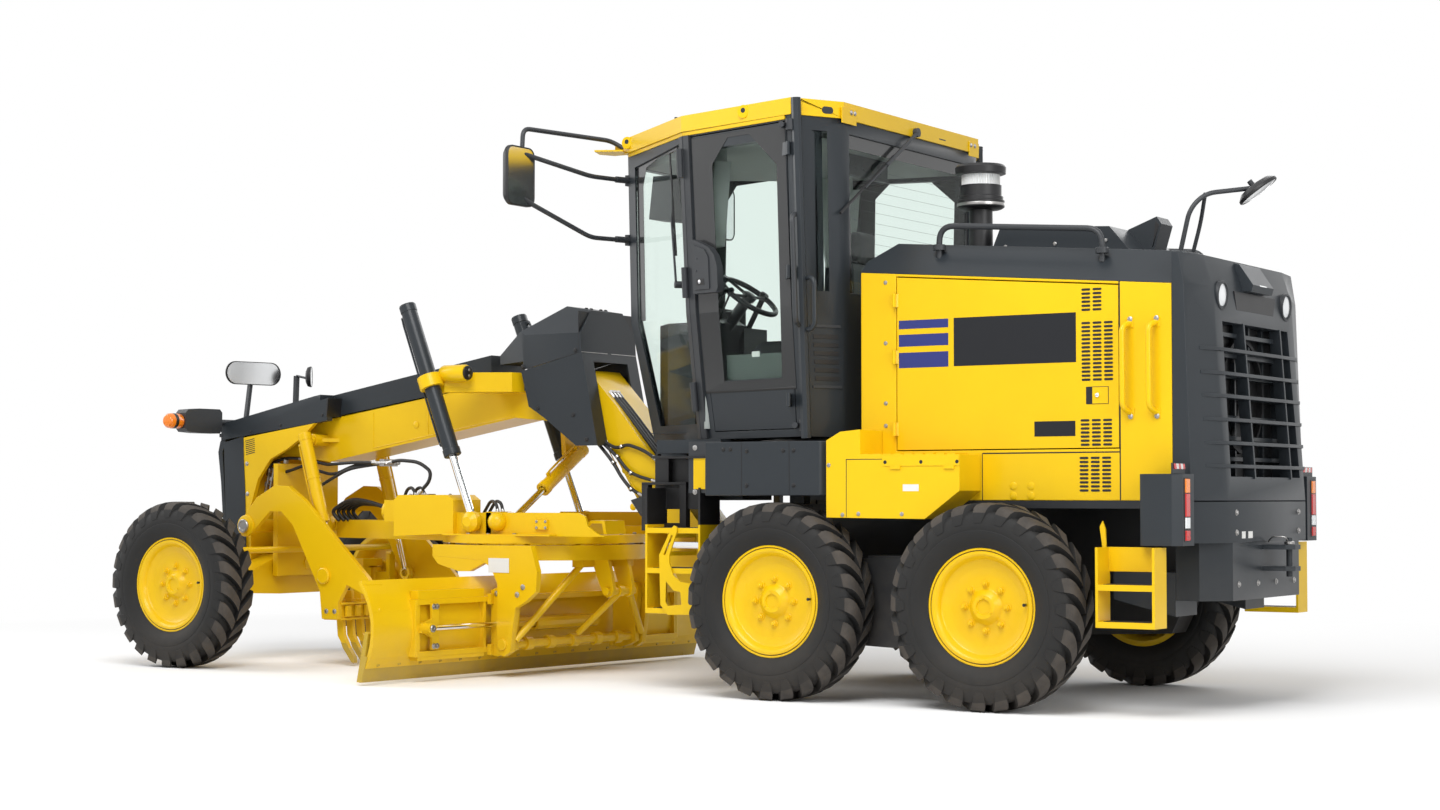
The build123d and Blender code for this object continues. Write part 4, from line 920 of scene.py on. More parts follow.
@dataclass
class Wheel:
    """A tyre with chevron lugs and a painted rim with its nuts, hub and valve."""

    name: str
    centre: Point
    outward: int
    lugs: int = 24
    radius: float = 0.525
    groove: float = 0.491
    half: float = 0.140
    slant: float = math.radians(15.0)
    nuts: int = 8

    def carcass(self) -> Shape:
        """Bulged casing about the X axis, with its bead, thin ring line and groove floor.

        Returns:
            The casing's shape.
        """
        side = [(0.107, 0.2995), (0.1115, 0.3100), (0.1205, 0.3230), (0.1300, 0.3420), (0.1375, 0.3620),
            (0.1395, 0.3780), (0.1396, 0.3860), (0.1378, 0.3880), (0.1378, 0.3915), (0.1390, 0.3940),
            (0.1376, 0.4150), (0.1345, 0.4360), (0.1285, 0.4580), (0.1190, 0.4740), (0.1060, 0.4840),
            (0.0700, 0.4900), (0.0, self.groove)]
        section = side + [(-x, r) for x, r in reversed(side[:-1])]
        shape = Shape("tyre", RUBBER)
        rings = [[self._round(x, r, 2 * math.pi * i / 72) for i in range(72)] for x, r in section]
        return shape.rings(rings, closed_path=True)

    def lug(self, side: int, phase: float) -> Shape:
        """One curved lug from the middle of the tread down the shoulder, its crown in the worn finish.

        Args:
            side: Side of the tread, +1 or -1 along X.
            phase: Share of a pitch that this side is moved by.

        Returns:
            The lug's shape.
        """
        shape = Shape("lug", RUBBER)
        crown_rows = 6
        pitch = 2 * math.pi / self.lugs
        rows = ((0.004, self.radius, 0.484, 0.27), (0.030, self.radius, 0.484, 0.29),
            (0.060, self.radius, 0.482, 0.31),
                (0.090, self.radius - 0.002, 0.480, 0.33), (0.112, self.radius - 0.010, 0.474, 0.34),
                (0.1240, 0.500, 0.466, 0.34), (0.1315, 0.476, 0.452, 0.32), (0.1372, 0.448, 0.436, 0.28),
                (0.1392, 0.424, 0.416, 0.20))
        tops, feet = [], []
        for x, high, low, half in rows:
            share = (x / 0.136) ** 0.8
            middle = phase * pitch + self.slant * share
            wide, narrow = half * pitch, half * pitch * 0.86
            tops.append([self._round(side * x, high, middle - narrow),
                self._round(side * x, high, middle + narrow)])
            inset = 0.012 if x > 0.12 else 0.0
            feet.append([self._round(side * (x - inset), low, middle - wide),
                self._round(side * (x - inset), low, middle + wide)])
        make = shape.mesh.verts.new
        top_verts = [[make(p) for p in pair] for pair in tops]
        foot_verts = [[make(p) for p in pair] for pair in feet]
        for i in range(len(rows) - 1):
            shape.use(WORN_RUBBER if i < crown_rows else RUBBER)
            shape.face((top_verts[i][0], top_verts[i][1], top_verts[i + 1][1], top_verts[i + 1][0]))
            shape.use(RUBBER)
            for k in (0, 1):
                shape.face((top_verts[i][k], foot_verts[i][k], foot_verts[i + 1][k], top_verts[i + 1][k]))
            shape.face((foot_verts[i][0], foot_verts[i][1], foot_verts[i + 1][1], foot_verts[i + 1][0]))
        for i in (0, -1):
            shape.face((top_verts[i][0], top_verts[i][1], foot_verts[i][1], foot_verts[i][0]))
        return shape

    @staticmethod
    def _round(x: float, radius: float, angle: float) -> Vector:
        """Point at an angle round the X axis."""
        return Vector((x, radius * math.cos(angle), radius * math.sin(angle)))

    def disc(self) -> Shape:
        """Turned rim with its flange, groove, dished disc and recessed hub.

        Returns:
            The rim's shape, outward along +X.
        """
        profile = [(0.074, 0.0), (0.074, 0.036), (0.0835, 0.040), (0.084, 0.044), (0.084, 0.059),
            (0.081, 0.063),
                   (0.060, 0.085), (0.054, 0.090), (0.052, 0.094), (0.052, 0.196), (0.054, 0.203),
                    (0.064, 0.236),
                   (0.068, 0.242), (0.074, 0.245), (0.092, 0.252), (0.102, 0.262), (0.1055, 0.268),
                    (0.106, 0.272),
                   (0.106, 0.2805), (0.104, 0.282), (0.098, 0.283), (0.098, 0.2865), (0.104, 0.2875),
                    (0.106, 0.289), (0.106, 0.296),
                   (0.103, 0.299), (-0.104, 0.299), (-0.106, 0.296), (-0.106, 0.270), (-0.100, 0.264),
                    (-0.060, 0.237),
                   (0.036, 0.236), (0.040, 0.228), (0.038, 0.104), (0.026, 0.092), (0.016, 0.060),
                    (0.016, 0.0)]
        shape = Shape("rim", YELLOW).turned(profile, (0, 0, 0), (1, 0, 0), 64)
        shape.use(BLACK).turned(rectangle((0.0985, 0.1002), (0.2832, 0.2863)), (0, 0, 0), (1, 0, 0), 64,
            ring=True)
        shape.bar((0.05, 0.223, 0.016), (0.083, 0.226, 0.016), 0.0065, 12)
        shape.bar((0.083, 0.226, 0.016), (0.088, 0.2265, 0.016), 0.0082, 12)
        shape.use(YELLOW)
        for y, z in arc((0, 0), 0.05, range(90, 450, 120)):
            shape.bar((0.083, y, z), (0.0885, y, z), 0.0062, 6)
        return shape

    def nut(self) -> Shape:
        """Wheel nut with its washer and stud end."""
        shape = Shape("nut", YELLOW)
        reach = 0.120
        shape.turned([(0, 0.021), (0.004, 0.021), (0.006, 0.019)], (0.0515, reach, 0), (1, 0, 0), 16)
        shape.turned([(0, 0.0165), (0.012, 0.0165), (0.0135, 0.0145)], (0.057, reach, 0), (1, 0, 0), 6)
        shape.turned([(0, 0.009), (0.007, 0.009), (0.009, 0.007)], (0.070, reach, 0), (1, 0, 0), 12)
        return shape

    def build(self, shared: dict[str, bpy.types.Object]) -> None:
        """Place the wheel's pieces, made once and copied for each wheel.

        Args:
            shared: Finished prototypes about the origin, by name.
        """
        if not shared:
            shared["casing"] = self.carcass().made()
            shared["lugs_a"] = Repeater.ring(self.lug(1, 0.0), self.lugs, (0, 0, 0), (1, 0, 0))
            shared["lugs_b"] = Repeater.ring(self.lug(-1, 0.5), self.lugs, (0, 0, 0), (1, 0, 0))
            shared["rim"] = self.disc().made()
            shared["nuts"] = Repeater.ring(self.nut(), self.nuts, (0, 0, 0), (1, 0, 0))
        body = "wheel_" + self.name
        replaced = {"casing": ("tyre_" + self.name,), "rim": ("rim_" + self.name,)}
        slots = {"casing": "tyre_rubber", "lugs_a": "tyre_rubber", "lugs_b": "tyre_rubber"}
        for key, prototype in shared.items():
            data = prototype.data.copy()
            turn = Matrix.Identity(4)
            if self.outward < 0 and key in ("rim", "nuts"):
                turn = Matrix.Rotation(math.pi, 4, "Z")
            data.transform(Matrix.Translation(Vector(self.centre)) @ turn)
            piece = Trim.smooth(Trim.linked(f"{key}_{self.name}", data))
            Trim.mount(piece, body, replaced.get(key, ()), slots.get(key, "yellow_paint"))

    @staticmethod
    def clear(shared: dict[str, bpy.types.Object]) -> None:
        """Remove the prototypes."""
        for prototype in shared.values():
            bpy.data.objects.remove(prototype)
        shared.clear()


@dataclass
class Hood:
    """Yellow engine hood: doors with stripes, a bare dark panel, louvres, locks, seams and handles."""

    side: float = 0.8102
    proud: float = 0.0014
    stripe_y: Flat = (1.871, 2.164)
    stripes_z: tuple[Flat, ...] = ((1.963, 2.008), (1.870, 1.933), (1.757, 1.838))
    panel_y: Flat = (2.196, 2.888)
    panel_z: Flat = (1.758, 2.010)
    slot_step: float = 0.0612
    slot_rise: float = -0.0204

    def build(self) -> None:
        """Build both sides."""
        for side in Side:
            door = Body.HOOD_LEFT if side is Side.LEFT else Body.HOOD_RIGHT
            label = side.name.lower()
            self._artwork(side).done(door)
            self._lock(side).done(door, 0.001)
            rows = (("upper", 2, 2.919, 2.122, 6, door), ("long", 3, 2.918, 1.953, 15, door),
                    ("low", 3, 2.911, 1.463, 7, door), ("fixed", 3, 2.904, 1.274, 9, Body.REAR))
            for name, columns, y, z, count, body in rows:
                seed = Shape(f"louvres_{name}_{label}", BLACK)
                self._slot(seed, side, y, z)
                slots = Repeater.grid(seed, (columns, (0, self.slot_step, 0)),
                    (count, (0, 0, self.slot_rise)))
                Trim.mount(Trim.smooth(slots), body)
            self._fixed_panel(side).done(Body.REAR, 0.0008)
            self._tank(side).done(Body.REAR, 0.001)

    def _x(self, side: Side, out: float) -> Flat:
        """Pair of X levels from just inside the skin to a height above it."""
        return side.value * (self.side - 0.003), side.value * (self.side + out)

    def _slot(self, shape: Shape, side: Side, y: float, z: float) -> None:
        """Add one louvre slot with rounded ends and a fine lip."""
        radius = 0.0058
        outline = []
        for centre, start in ((y + 0.0485 - radius, -90), (y + radius, 90)):
            outline += arc((centre, z), radius, range(start, start + 181, 45))
        shape.prism(outline, Axis.X, *self._x(side, self.proud))

    def _artwork(self, side: Side) -> Shape:
        """Three stripes, the bare dark panel and a small bare plate."""
        shape = Shape("stripes_" + side.name.lower(), BLUE)
        x = self._x(side, self.proud * 0.5)
        for z in self.stripes_z:
            shape.block(x, self.stripe_y, z)
        shape.use(PLATE).block(x, self.panel_y, self.panel_z)
        shape.block(x, (2.655, 2.882), (1.385, 1.462))
        return shape

    def _lock(self, side: Side) -> Shape:
        """Lock plate with its round knob, on a black plate whose left strip and thin rim are painted shade of
        the lock's recess.
        """
        shape = Shape("door_lock_" + side.name.lower(), YELLOW)
        x = self._x(side, 0.0022)
        shape.block(x, (2.976, 3.061), (1.546, 1.629))
        # The black plate shows round the yellow lock plate, widest at the left: painted shade of the lock's
        # recess.
        shape.use(BLACK).block(self._x(side, 0.0008), (2.941, 3.064), (1.543, 1.632))
        shape.use(CHROME).turned([(0, 0.011), (0.008, 0.011), (0.010, 0.008)],
            (side.value * 0.811, 3.004, 1.588), (side.value, 0, 0), 24)
        return shape

    def _fixed_panel(self, side: Side) -> Shape:
        """Seams, bolts and plugs on the fixed panels, and the dark sill below."""
        shape = Shape("hood_panel_dress_" + side.name.lower(), BLACK)
        thin = self._x(side, 0.0006)
        shape.block(thin, (2.356, 2.361), (1.062, 1.303))
        shape.block(thin, (3.1205, 3.1275), (1.062, 2.158))
        shape.block(thin, (2.361, 3.1205), (1.299, 1.306))
        shape.use(STEEL)
        face = side.value * self.side
        shape.bolts([(face, 1.791, z) for z in (2.214, 1.892, 1.573, 1.454)], (side.value, 0, 0), 0.0085)
        shape.use(YELLOW)
        for y in (2.535, 2.634):
            for z in (1.134, 1.084):
                shape.turned([(0, 0.0205), (0.0016, 0.0205), (0.0028, 0.018)], (face, y, z),
                    (side.value, 0, 0), 24)
        shape.use(CHASSIS).block((side.value * 0.60, side.value * 0.806), (1.66, 3.33), (1.02, 1.0605))
        return shape

    def _tank(self, side: Side) -> Shape:
        """Seams, hinge flange, tabs, bolts and the bare plate on the tank box."""
        shape = Shape("tank_dress_" + side.name.lower(), BLACK)
        face = side.value * 1.05
        out = (side.value, 0, 0)

        def x(proud: float) -> Flat:
            return face - side.value * 0.003, face + side.value * proud

        shape.block(x(0.0006), (1.685, 1.689), (0.972, 1.276))
        shape.block(x(0.0006), (1.689, 1.903), (1.272, 1.276))
        shape.use(YELLOW).block(x(0.004), (1.903, 2.348), (1.238, 1.292))
        for y in (1.951, 2.262):
            shape.block(x(0.009), (y, y + 0.06), (1.222, 1.240))
        for i in range(9):
            y = 1.78 + 0.062 * i
            shape.block((side.value * 0.90, side.value * 1.044), (y, y + 0.045), (1.292, 1.3025))
        shape.use(BLACK)
        for y in (1.921, 2.131, 2.338):
            shape.turned([(0.003, 0.010), (0.0046, 0.010)], (face, y, 1.258), out, 20)
        shape.use(STEEL).bolts([(face, y, z) for y, z in ((1.581, 1.245), (1.664, 0.985), (1.76, 0.990),
            (2.017, 0.990))], out, 0.0085)
        shape.use(LABEL).block(x(0.0008), (2.023, 2.116), (1.108, 1.143))
        return shape


@dataclass
class Rails:
    """Handrails on the hood, grab handles on its rear strip and on the cab posts."""

    tube: float = 0.016

    def build(self) -> None:
        """Build the rails as one piece that stands for the CAD node."""
        shape = Shape("smooth_rails", PLASTIC)
        shape.tube([(0.69, 2.05, 2.33), (0.69, 2.05, 2.512), (0.69, 2.98, 2.44), (0.69, 2.98, 2.27)],
            self.tube, 0.09, 16)
        for y, z in ((2.05, 2.402), (2.98, 2.334)):
            shape.turned([(-0.02, 0.034), (0.006, 0.034), (0.01, 0.03)], (0.69, y, z), (0, 0, 1), 24)
        shape.tube([(1.046, 1.398, 1.99), (1.118, 1.420, 2.005), (1.140, 1.412, 2.56),
            (1.072, 1.388, 2.58)], 0.0135, 0.05, 14)
        shape.use(YELLOW)
        for y in (3.18, 3.32):
            shape.tube([(0.806, y, 1.945), (0.868, y - 0.018, 1.925), (0.868, y - 0.018, 1.52),
                (0.806, y, 1.495)], 0.0145, 0.05, 16)
            for z, dz in ((1.945, 0.026), (1.495, -0.026)):
                shape.prism([(y - 0.022, z - dz * 0.9), (y + 0.022, z - dz * 0.9), (y + 0.018, z + dz),
                    (y - 0.012, z + dz)], Axis.X, 0.809, 0.815)
        shape.use(STEEL)
        for y in (3.183, 3.323):
            shape.bolts([(0.815, y, 1.962), (0.815, y, 1.478)], (1, 0, 0), 0.010)
        shape.mirrored().done(Body.REAR, 0.0, ("rails",))


@dataclass
class RearCowl:
    """Rear moulding's fins, lamps, camera hood, tail lamps, hitch details and markers."""

    fins_z: tuple[float, ...] = (1.232, 1.348, 1.465, 1.583, 1.697, 1.817)
    fan: Point = (0, 3.43, 1.60)

    def depth(self, z: float) -> float:
        """Y of the rear face at a height."""
        if z <= 2.13:
            return 3.59 - (z - 1.06) * 0.07 / 1.07
        return 3.52 - (z - 2.13) * 0.05 / 0.16

    def build(self) -> None:
        """Build the rear details."""
        shape = Shape("cowl_fins", DARK)
        for z in self.fins_z:
            y = self.depth(z)
            side_y = 3.4 + (y - 3.4) * 0.5
            outer = [(0.700, side_y + (y - side_y) * 0.42 + 0.002), (0.560, y + 0.010), (0.30, y + 0.014)]
            outer += [(-x, v) for x, v in reversed(outer)]
            inner = [(-0.690, side_y + (y - side_y) * 0.42 - 0.03), (-0.52, y - 0.05), (0.52, y - 0.05),
                     (0.690, side_y + (y - side_y) * 0.42 - 0.03)]
            shape.prism(outer + inner, Axis.Z, z - 0.009, z + 0.009)
        for x in (0.18, -0.35):
            shape.prism([(3.592 - 0.06, 1.17), (3.592, 1.17), (3.535, 1.965), (3.475, 1.965)], Axis.X,
                x - 0.009, x + 0.009)
        shape.done(Body.REAR, 0.002)
        self._cavity().done(Body.REAR)
        self._lamps().done(Body.REAR, 0.0015)
        self._tail_lamps().done(Body.REAR, 0.002, ("tail_lamps",))
        self._low_details().done(Body.REAR, 0.002)

    def _cavity(self) -> Shape:
        """Dark radiator, hose and fan ring seen between the fins."""
        shape = Shape("cooling_core", BLACK)
        shape.block((-0.52, 0.52), (3.405, 3.43), (1.16, 1.98))
        shape.use(IRON).turned(rectangle((0, 0.03), (0.30, 0.28)), self.fan, (0, 1, 0), 48, ring=True)
        shape.turned([(0, 0.06), (0.04, 0.055), (0.045, 0.04)], self.fan, (0, 1, 0), 24)
        for x, z in arc((0, 1.60), 0.28, range(0, 360, 60)):
            shape.bar((0, 3.445, 1.60), (x, 3.445, z), 0.012, 8)
        shape.use(HOSE).tube([(0.40, 3.45, 1.20), (0.40, 3.46, 1.50), (0.34, 3.46, 1.90)], 0.028, 0.2, 14)
        return shape

    def _lamps(self) -> Shape:
        """Round work lamps in sunk bezels, the upper slot and the middle hood above it."""
        shape = Shape("cowl_lamps", BLACK)
        for x in (0.46, -0.46):
            face = self.depth(2.09)
            shape.use(PLASTIC).turned([(-0.01, 0.075), (0.012, 0.075), (0.014, 0.064), (0.004, 0.060),
                (0.004, 0.07)], (x, face, 2.09), (0, 1, -0.06), 40, ring=True)
            shape.use(MIRROR).turned([(-0.004, 0.060), (0.003, 0.058), (0.002, 0.02)], (x, face, 2.09),
                (0, 1, -0.06), 40)
            shape.use(CLEAR).turned([(0.004, 0.060), (0.009, 0.045), (0.011, 0.02)], (x, face, 2.09),
                (0, 1, -0.06), 40)
        shape.use(BLACK).prism([(-0.27, 2.030), (0.26, 2.030), (0.29, 2.125), (-0.30, 2.125)], Axis.Y,
            3.500, 3.5275)
        shape.use(DARK).prism([(3.40, 2.300), (3.50, 2.275), (3.575, 2.165), (3.565, 2.130), (3.40, 2.14)],
            Axis.X, -0.15, 0.15)
        shape.use(CLEAR).prism([(3.562, 2.142), (3.5755, 2.165), (3.570, 2.172), (3.556, 2.150)], Axis.X,
            -0.05, 0.05)
        return shape

    def _tail_lamps(self) -> Shape:
        """Lamp boxes with amber, red and clear lenses, a red reflector and the striped marker."""
        shape = Shape("tail_lamp_boxes", DARK)
        outline = [(0.812, 3.302), (0.985, 3.302), (1.0, 3.33), (1.0, 3.47), (0.96, 3.512), (0.812, 3.512)]
        shape.prism(outline, Axis.Z, 0.84, 1.19)
        shape.use(BLACK).block((0.868, 0.942), (3.508, 3.5145), (0.860, 1.172))
        for low, high, lens in ((1.098, 1.166, AMBER), (0.982, 1.094, RED), (0.925, 0.978, CLEAR),
                (0.866, 0.915, RED)):
            shape.use(lens).prism([(0.876, 3.512), (0.934, 3.512), (0.930, 3.520), (0.880, 3.520)], Axis.Z,
                low, high)
        for i in range(5):
            shape.use(RED if i % 2 == 0 else LABEL)
            x = 0.845 + 0.027 * i
            shape.prism([(x, 1.213), (x + 0.027, 1.213), (x + 0.034, 1.240), (x + 0.007, 1.240)], Axis.Y,
                3.478, 3.482)
        shape.use(DARK).prism(rectangle((0.84, 1.0), (1.19, 1.243)), Axis.Y, 3.470, 3.478)
        return shape.mirrored()

    def _low_details(self) -> Shape:
        """Bolts and bare plates on the rear block, and the hitch's latch."""
        shape = Shape("rear_block_dress", LABEL)
        shape.block((0.23, 0.29), (3.590, 3.5915), (0.870, 0.905))
        shape.block((0.33, 0.38), (3.590, 3.5915), (0.870, 0.905))
        shape.use(STEEL).bolts([(x, 3.59, z) for x in (-0.45, 0.45) for z in (0.90, 1.0)], (0, 1, 0), 0.012)
        shape.bolts([(x, 3.58, 0.64) for x in (-0.40, -0.13, 0.13, 0.40)], (0, 1, 0), 0.012)
        shape.turned([(0.0, 0.026), (0.012, 0.026), (0.016, 0.02)], (0, 3.70, 0.836), (0, 0, 1), 20)
        shape.tube([(0.022, 3.70, 0.852), (0.06, 3.70, 0.875), (0.06, 3.63, 0.875), (0.03, 3.60, 0.85)],
            0.004, 0.02, 8)
        return shape


class Facet(Enum):
    """Walls of the cab's left half, by the number of their first corner."""

    QUARTER = 0
    DOOR = 1
    REAR_QUARTER = 2
    REAR = 3


@dataclass
class Cab:
    """Cab trim: printed glass borders, columns, door hardware, wipers, roof fittings and inside."""

    levels: tuple[float, ...] = (1.400, 2.100, 3.115)
    console_rise: float = 0.15
    corners: tuple[tuple[Flat, ...], ...] = (
        ((0.330, -0.030), (0.690, 0.550), (0.985, 1.400), (0.740, 1.505), (-0.740, 1.505)),
        ((0.338, -0.195), (0.800, 0.545), (1.030, 1.380), (0.770, 1.510), (-0.770, 1.510)),
        ((0.345, -0.216), (0.868, 0.536), (1.075, 1.365), (0.790, 1.516), (-0.790, 1.516)))

    def at(self, facet: Facet, share: float, z: float, out: float = 0.0) -> Point:
        """Point on a cab wall.

        Args:
            facet: The wall.
            share: Place along the wall, 0 to 1.
            z: Height.
            out: Distance out from the wall.

        Returns:
            The point.
        """
        upper = 0 if z < self.levels[1] else 1
        rise = (z - self.levels[upper]) / (self.levels[upper + 1] - self.levels[upper])
        ends = []
        for k in (facet.value, facet.value + 1):
            low, high = Vector(self.corners[upper][k]), Vector(self.corners[upper + 1][k])
            ends.append(low.lerp(high, rise))
        along = ends[1] - ends[0]
        normal = Vector((along.y, -along.x)).normalized()
        place = ends[0] + along * share + normal * out
        return place.x, place.y, z

    def panel(self, shape: Shape, facet: Facet, outline: list[Flat], low: float, high: float) -> Shape:
        """Add a thin sheet that lies along a wall.

        Args:
            shape: Shape that receives it.
            facet: The wall.
            outline: Points as (share, z).
            low: Distance of the inner face out from the wall.
            high: Distance of the outer face out from the wall.

        Returns:
            The shape.
        """
        return shape.rings([[self.at(facet, s, z, out) for s, z in outline] for out in (low, high)])

    def build(self) -> None:
        """Build every piece of the cab."""
        self._shell_trim().mirrored().done(Body.REAR, 0.0015)
        self._rear_wall().done(Body.REAR, 0.0015)
        for body, turned in ((Body.DOOR_LEFT, False), (Body.DOOR_RIGHT, True)):
            door = self._door("right" if turned else "left")
            (door.flipped() if turned else door).done(body, 0.0015)
        self._front_wipers().mirrored().done(Body.REAR)
        self._roof().done(Body.REAR, 0.002)
        self._inside().done(Body.REAR, 0.004)
        self._wheel_and_levers().done(Body.REAR, 0.0, ("console",))
        self._seat_frame().done(Body.REAR, 0.004)
        Seat().build()

    def _shell_trim(self) -> Shape:
        """Frit borders of the quarter glass, the front column and the post fittings, for the left side."""
        shape = Shape("cab_columns", FRIT)
        low, high = -0.0145, -0.0125
        self.panel(shape, Facet.QUARTER, [(0.13, 2.11), (0.215, 2.11), (0.235, 2.97), (0.13, 2.90)], low,
            high)
        self.panel(shape, Facet.QUARTER, [(0.13, 2.86), (0.235, 2.90), (0.30, 3.00), (0.55, 3.035),
            (0.84, 3.035), (0.84, 3.09), (0.13, 3.05)], low, high)
        shape.use(PLASTIC)
        for facet, share in ((Facet.QUARTER, 0.985), (Facet.DOOR, 0.035)):
            corners = ((-0.028, -0.01), (-0.028, 0.016), (0.028, 0.016), (0.028, -0.01))
            for span in ((1.405, 2.1), (2.1, 3.09)):
                shape.rings([[self.at(facet, share + step, z, out) for step, out in corners] for z in span])
        for z0, z1 in ((2.86, 3.02), (1.56, 1.72), (2.19, 2.36)):
            middle = [self.at(Facet.QUARTER, 1.0, z, 0.030) for z in (z0, z1)]
            shape.bar(middle[0], middle[1], 0.019, 18)
            self.panel(shape, Facet.QUARTER, rectangle((0.955, 1.0), (z0 + 0.01, z1 - 0.01)), 0.012, 0.034)
        for z in (3.06, 1.46):
            near = self.at(Facet.DOOR, 0.995, z, 0.004)
            shape.bar((near[0], near[1], z - 0.03), (near[0], near[1], z + 0.03), 0.024, 20)
            shape.bar((near[0] - 0.02, near[1] - 0.05, z), (near[0] + 0.035, near[1] - 0.035, z), 0.016, 16)
        return shape

    def _rear_wall(self) -> Shape:
        """Border of the rear glass, heater lines, post flanges, wiper and the louvre under the glass."""
        shape = Shape("cab_rear_trim", FRIT)
        low, high = -0.0138, -0.0118
        for outline in ([(0.03, 2.10), (0.075, 2.10), (0.055, 3.05), (0.02, 3.05)],
                [(0.925, 2.10), (0.97, 2.10), (0.98, 3.05), (0.945, 3.05)],
                [(0.05, 2.965), (0.95, 2.965), (0.97, 3.05), (0.03, 3.05)]):
            self.panel(shape, Facet.REAR, outline, low, high)
        shape.use(INTERIOR)
        for i in range(12):
            z = 2.24 + 0.058 * i
            self.panel(shape, Facet.REAR, rectangle((0.10, 0.90), (z, z + 0.0014)), -0.0235, -0.0225)
        shape.use(PLASTIC)
        pivot = Vector(self.at(Facet.REAR, 0.503, 3.140, 0.016))
        tip = Vector(self.at(Facet.REAR, -0.03, 2.60, 0.012))
        shape.bar(pivot + Vector((0, -0.02, 0)), pivot + Vector((0, 0.022, 0)), 0.026, 20)
        elbow = pivot.lerp(tip, 0.42) + Vector((0, 0.012, 0))
        shape.bar(pivot + Vector((0, 0.014, 0)), elbow, 0.011, 10)
        shape.bar(elbow, pivot.lerp(tip, 0.70) + Vector((0, 0.010, 0)), 0.006, 8)
        shape.use(BLACK).bar(pivot.lerp(tip, 0.30), tip, 0.008, 8)
        for i in range(6):
            z = 1.70 + 0.045 * i
            self.panel(shape, Facet.REAR_QUARTER, rectangle((0.30, 0.86), (z, z + 0.022)), 0.0005, 0.003)
        shape.use(PLASTIC)
        self.panel(shape, Facet.REAR_QUARTER, rectangle((0.24, 0.92), (1.66, 1.675)), 0.0, 0.006)
        self.panel(shape, Facet.REAR_QUARTER, rectangle((0.24, 0.92), (1.985, 2.0)), 0.0, 0.006)
        return shape

    def _door(self, side: str) -> Shape:
        """Glass border, latch case and lock, low store box, rubber edge and bare plates on a left door."""
        shape = Shape("door_dress_" + side, FRIT)
        frame = [
            [(0.075, 1.665), (0.27, 1.715), (0.27, 2.1), (0.075, 2.1)],
            [(0.075, 2.1), (0.27, 2.1), (0.265, 2.91), (0.075, 3.07)],
            [(0.265, 2.91), (0.42, 3.045), (0.62, 3.045), (0.62, 3.07), (0.075, 3.07)],
            [(0.62, 3.045), (0.86, 2.86), (0.945, 2.86), (0.945, 3.07), (0.62, 3.07)],
            [(0.86, 2.86), (0.845, 2.1), (0.945, 2.1), (0.945, 2.86)],
            [(0.845, 2.1), (0.82, 1.715), (0.945, 1.665), (0.945, 2.1)],
            [(0.075, 1.665), (0.945, 1.665), (0.82, 1.715), (0.27, 1.715)],
        ]
        for outline in frame:
            self.panel(shape, Facet.DOOR, outline, 0.0008, 0.0028)
        shape.use(PLASTIC)
        case = [(0.085, 2.205), (0.31, 2.205), (0.325, 2.23), (0.325, 2.345), (0.30, 2.41), (0.25, 2.455),
            (0.11, 2.505), (0.085, 2.505)]
        self.panel(shape, Facet.DOOR, case, 0.002, 0.046)
        small = [(0.105, 2.225), (0.25, 2.225), (0.25, 2.40), (0.215, 2.445), (0.12, 2.475), (0.105, 2.475)]
        self.panel(shape, Facet.DOOR, small, 0.046, 0.052)
        shape.use(BLACK)
        self.panel(shape, Facet.DOOR, rectangle((0.13, 0.205), (2.250, 2.285)), 0.052, 0.0535)
        key = self.at(Facet.DOOR, 0.165, 2.268, 0.0535)
        shape.use(CHROME).turned([(0, 0.011), (0.004, 0.011), (0.005, 0.009)], key, (0.93, -0.3, 0), 18)
        shape.use(PLASTIC)
        for share, z in ((0.14, 2.40), (0.13, 2.33)):
            shape.turned([(0, 0.007), (0.003, 0.006)], self.at(Facet.DOOR, share, z, 0.052),
                (0.93, -0.3, 0), 14)
        shape.use(STORE)
        self.panel(shape, Facet.DOOR, [(0.26, 1.70), (0.84, 1.70), (0.835, 1.855), (0.27, 1.862)], -0.070,
            -0.028)
        shape.use(LABEL)
        self.panel(shape, Facet.DOOR, rectangle((0.52, 0.59), (1.842, 1.872)), -0.030, -0.024)
        shape.use(RUBBER)
        self.panel(shape, Facet.DOOR, rectangle((0.075, 0.945), (1.655, 1.665)), 0.0, 0.003)
        return shape

    def _front_wipers(self) -> Shape:
        """Wiper of a front quarter glass with its washer hose."""
        shape = Shape("front_wipers", PLASTIC)
        pivot = Vector(self.at(Facet.QUARTER, 0.86, 2.274, 0.020))
        tip = Vector(self.at(Facet.QUARTER, 0.785, 3.02, 0.010))
        middle = pivot.lerp(tip, 0.52)
        shape.bar(pivot - Vector((0.02, -0.02, 0)), pivot + Vector((0.014, -0.014, 0)), 0.02, 18)
        shape.bar(pivot + Vector((0.008, -0.008, 0)), middle + Vector((0.010, -0.010, 0)), 0.007, 8)
        low, high = pivot.lerp(tip, 0.22), pivot.lerp(tip, 1.0)
        shape.use(BLACK).bar(low, high, 0.006, 8)
        shape.bar(middle + Vector((0.004, -0.004, -0.14)), middle + Vector((0.006, -0.006, 0.14)), 0.0045,
            8)
        return shape

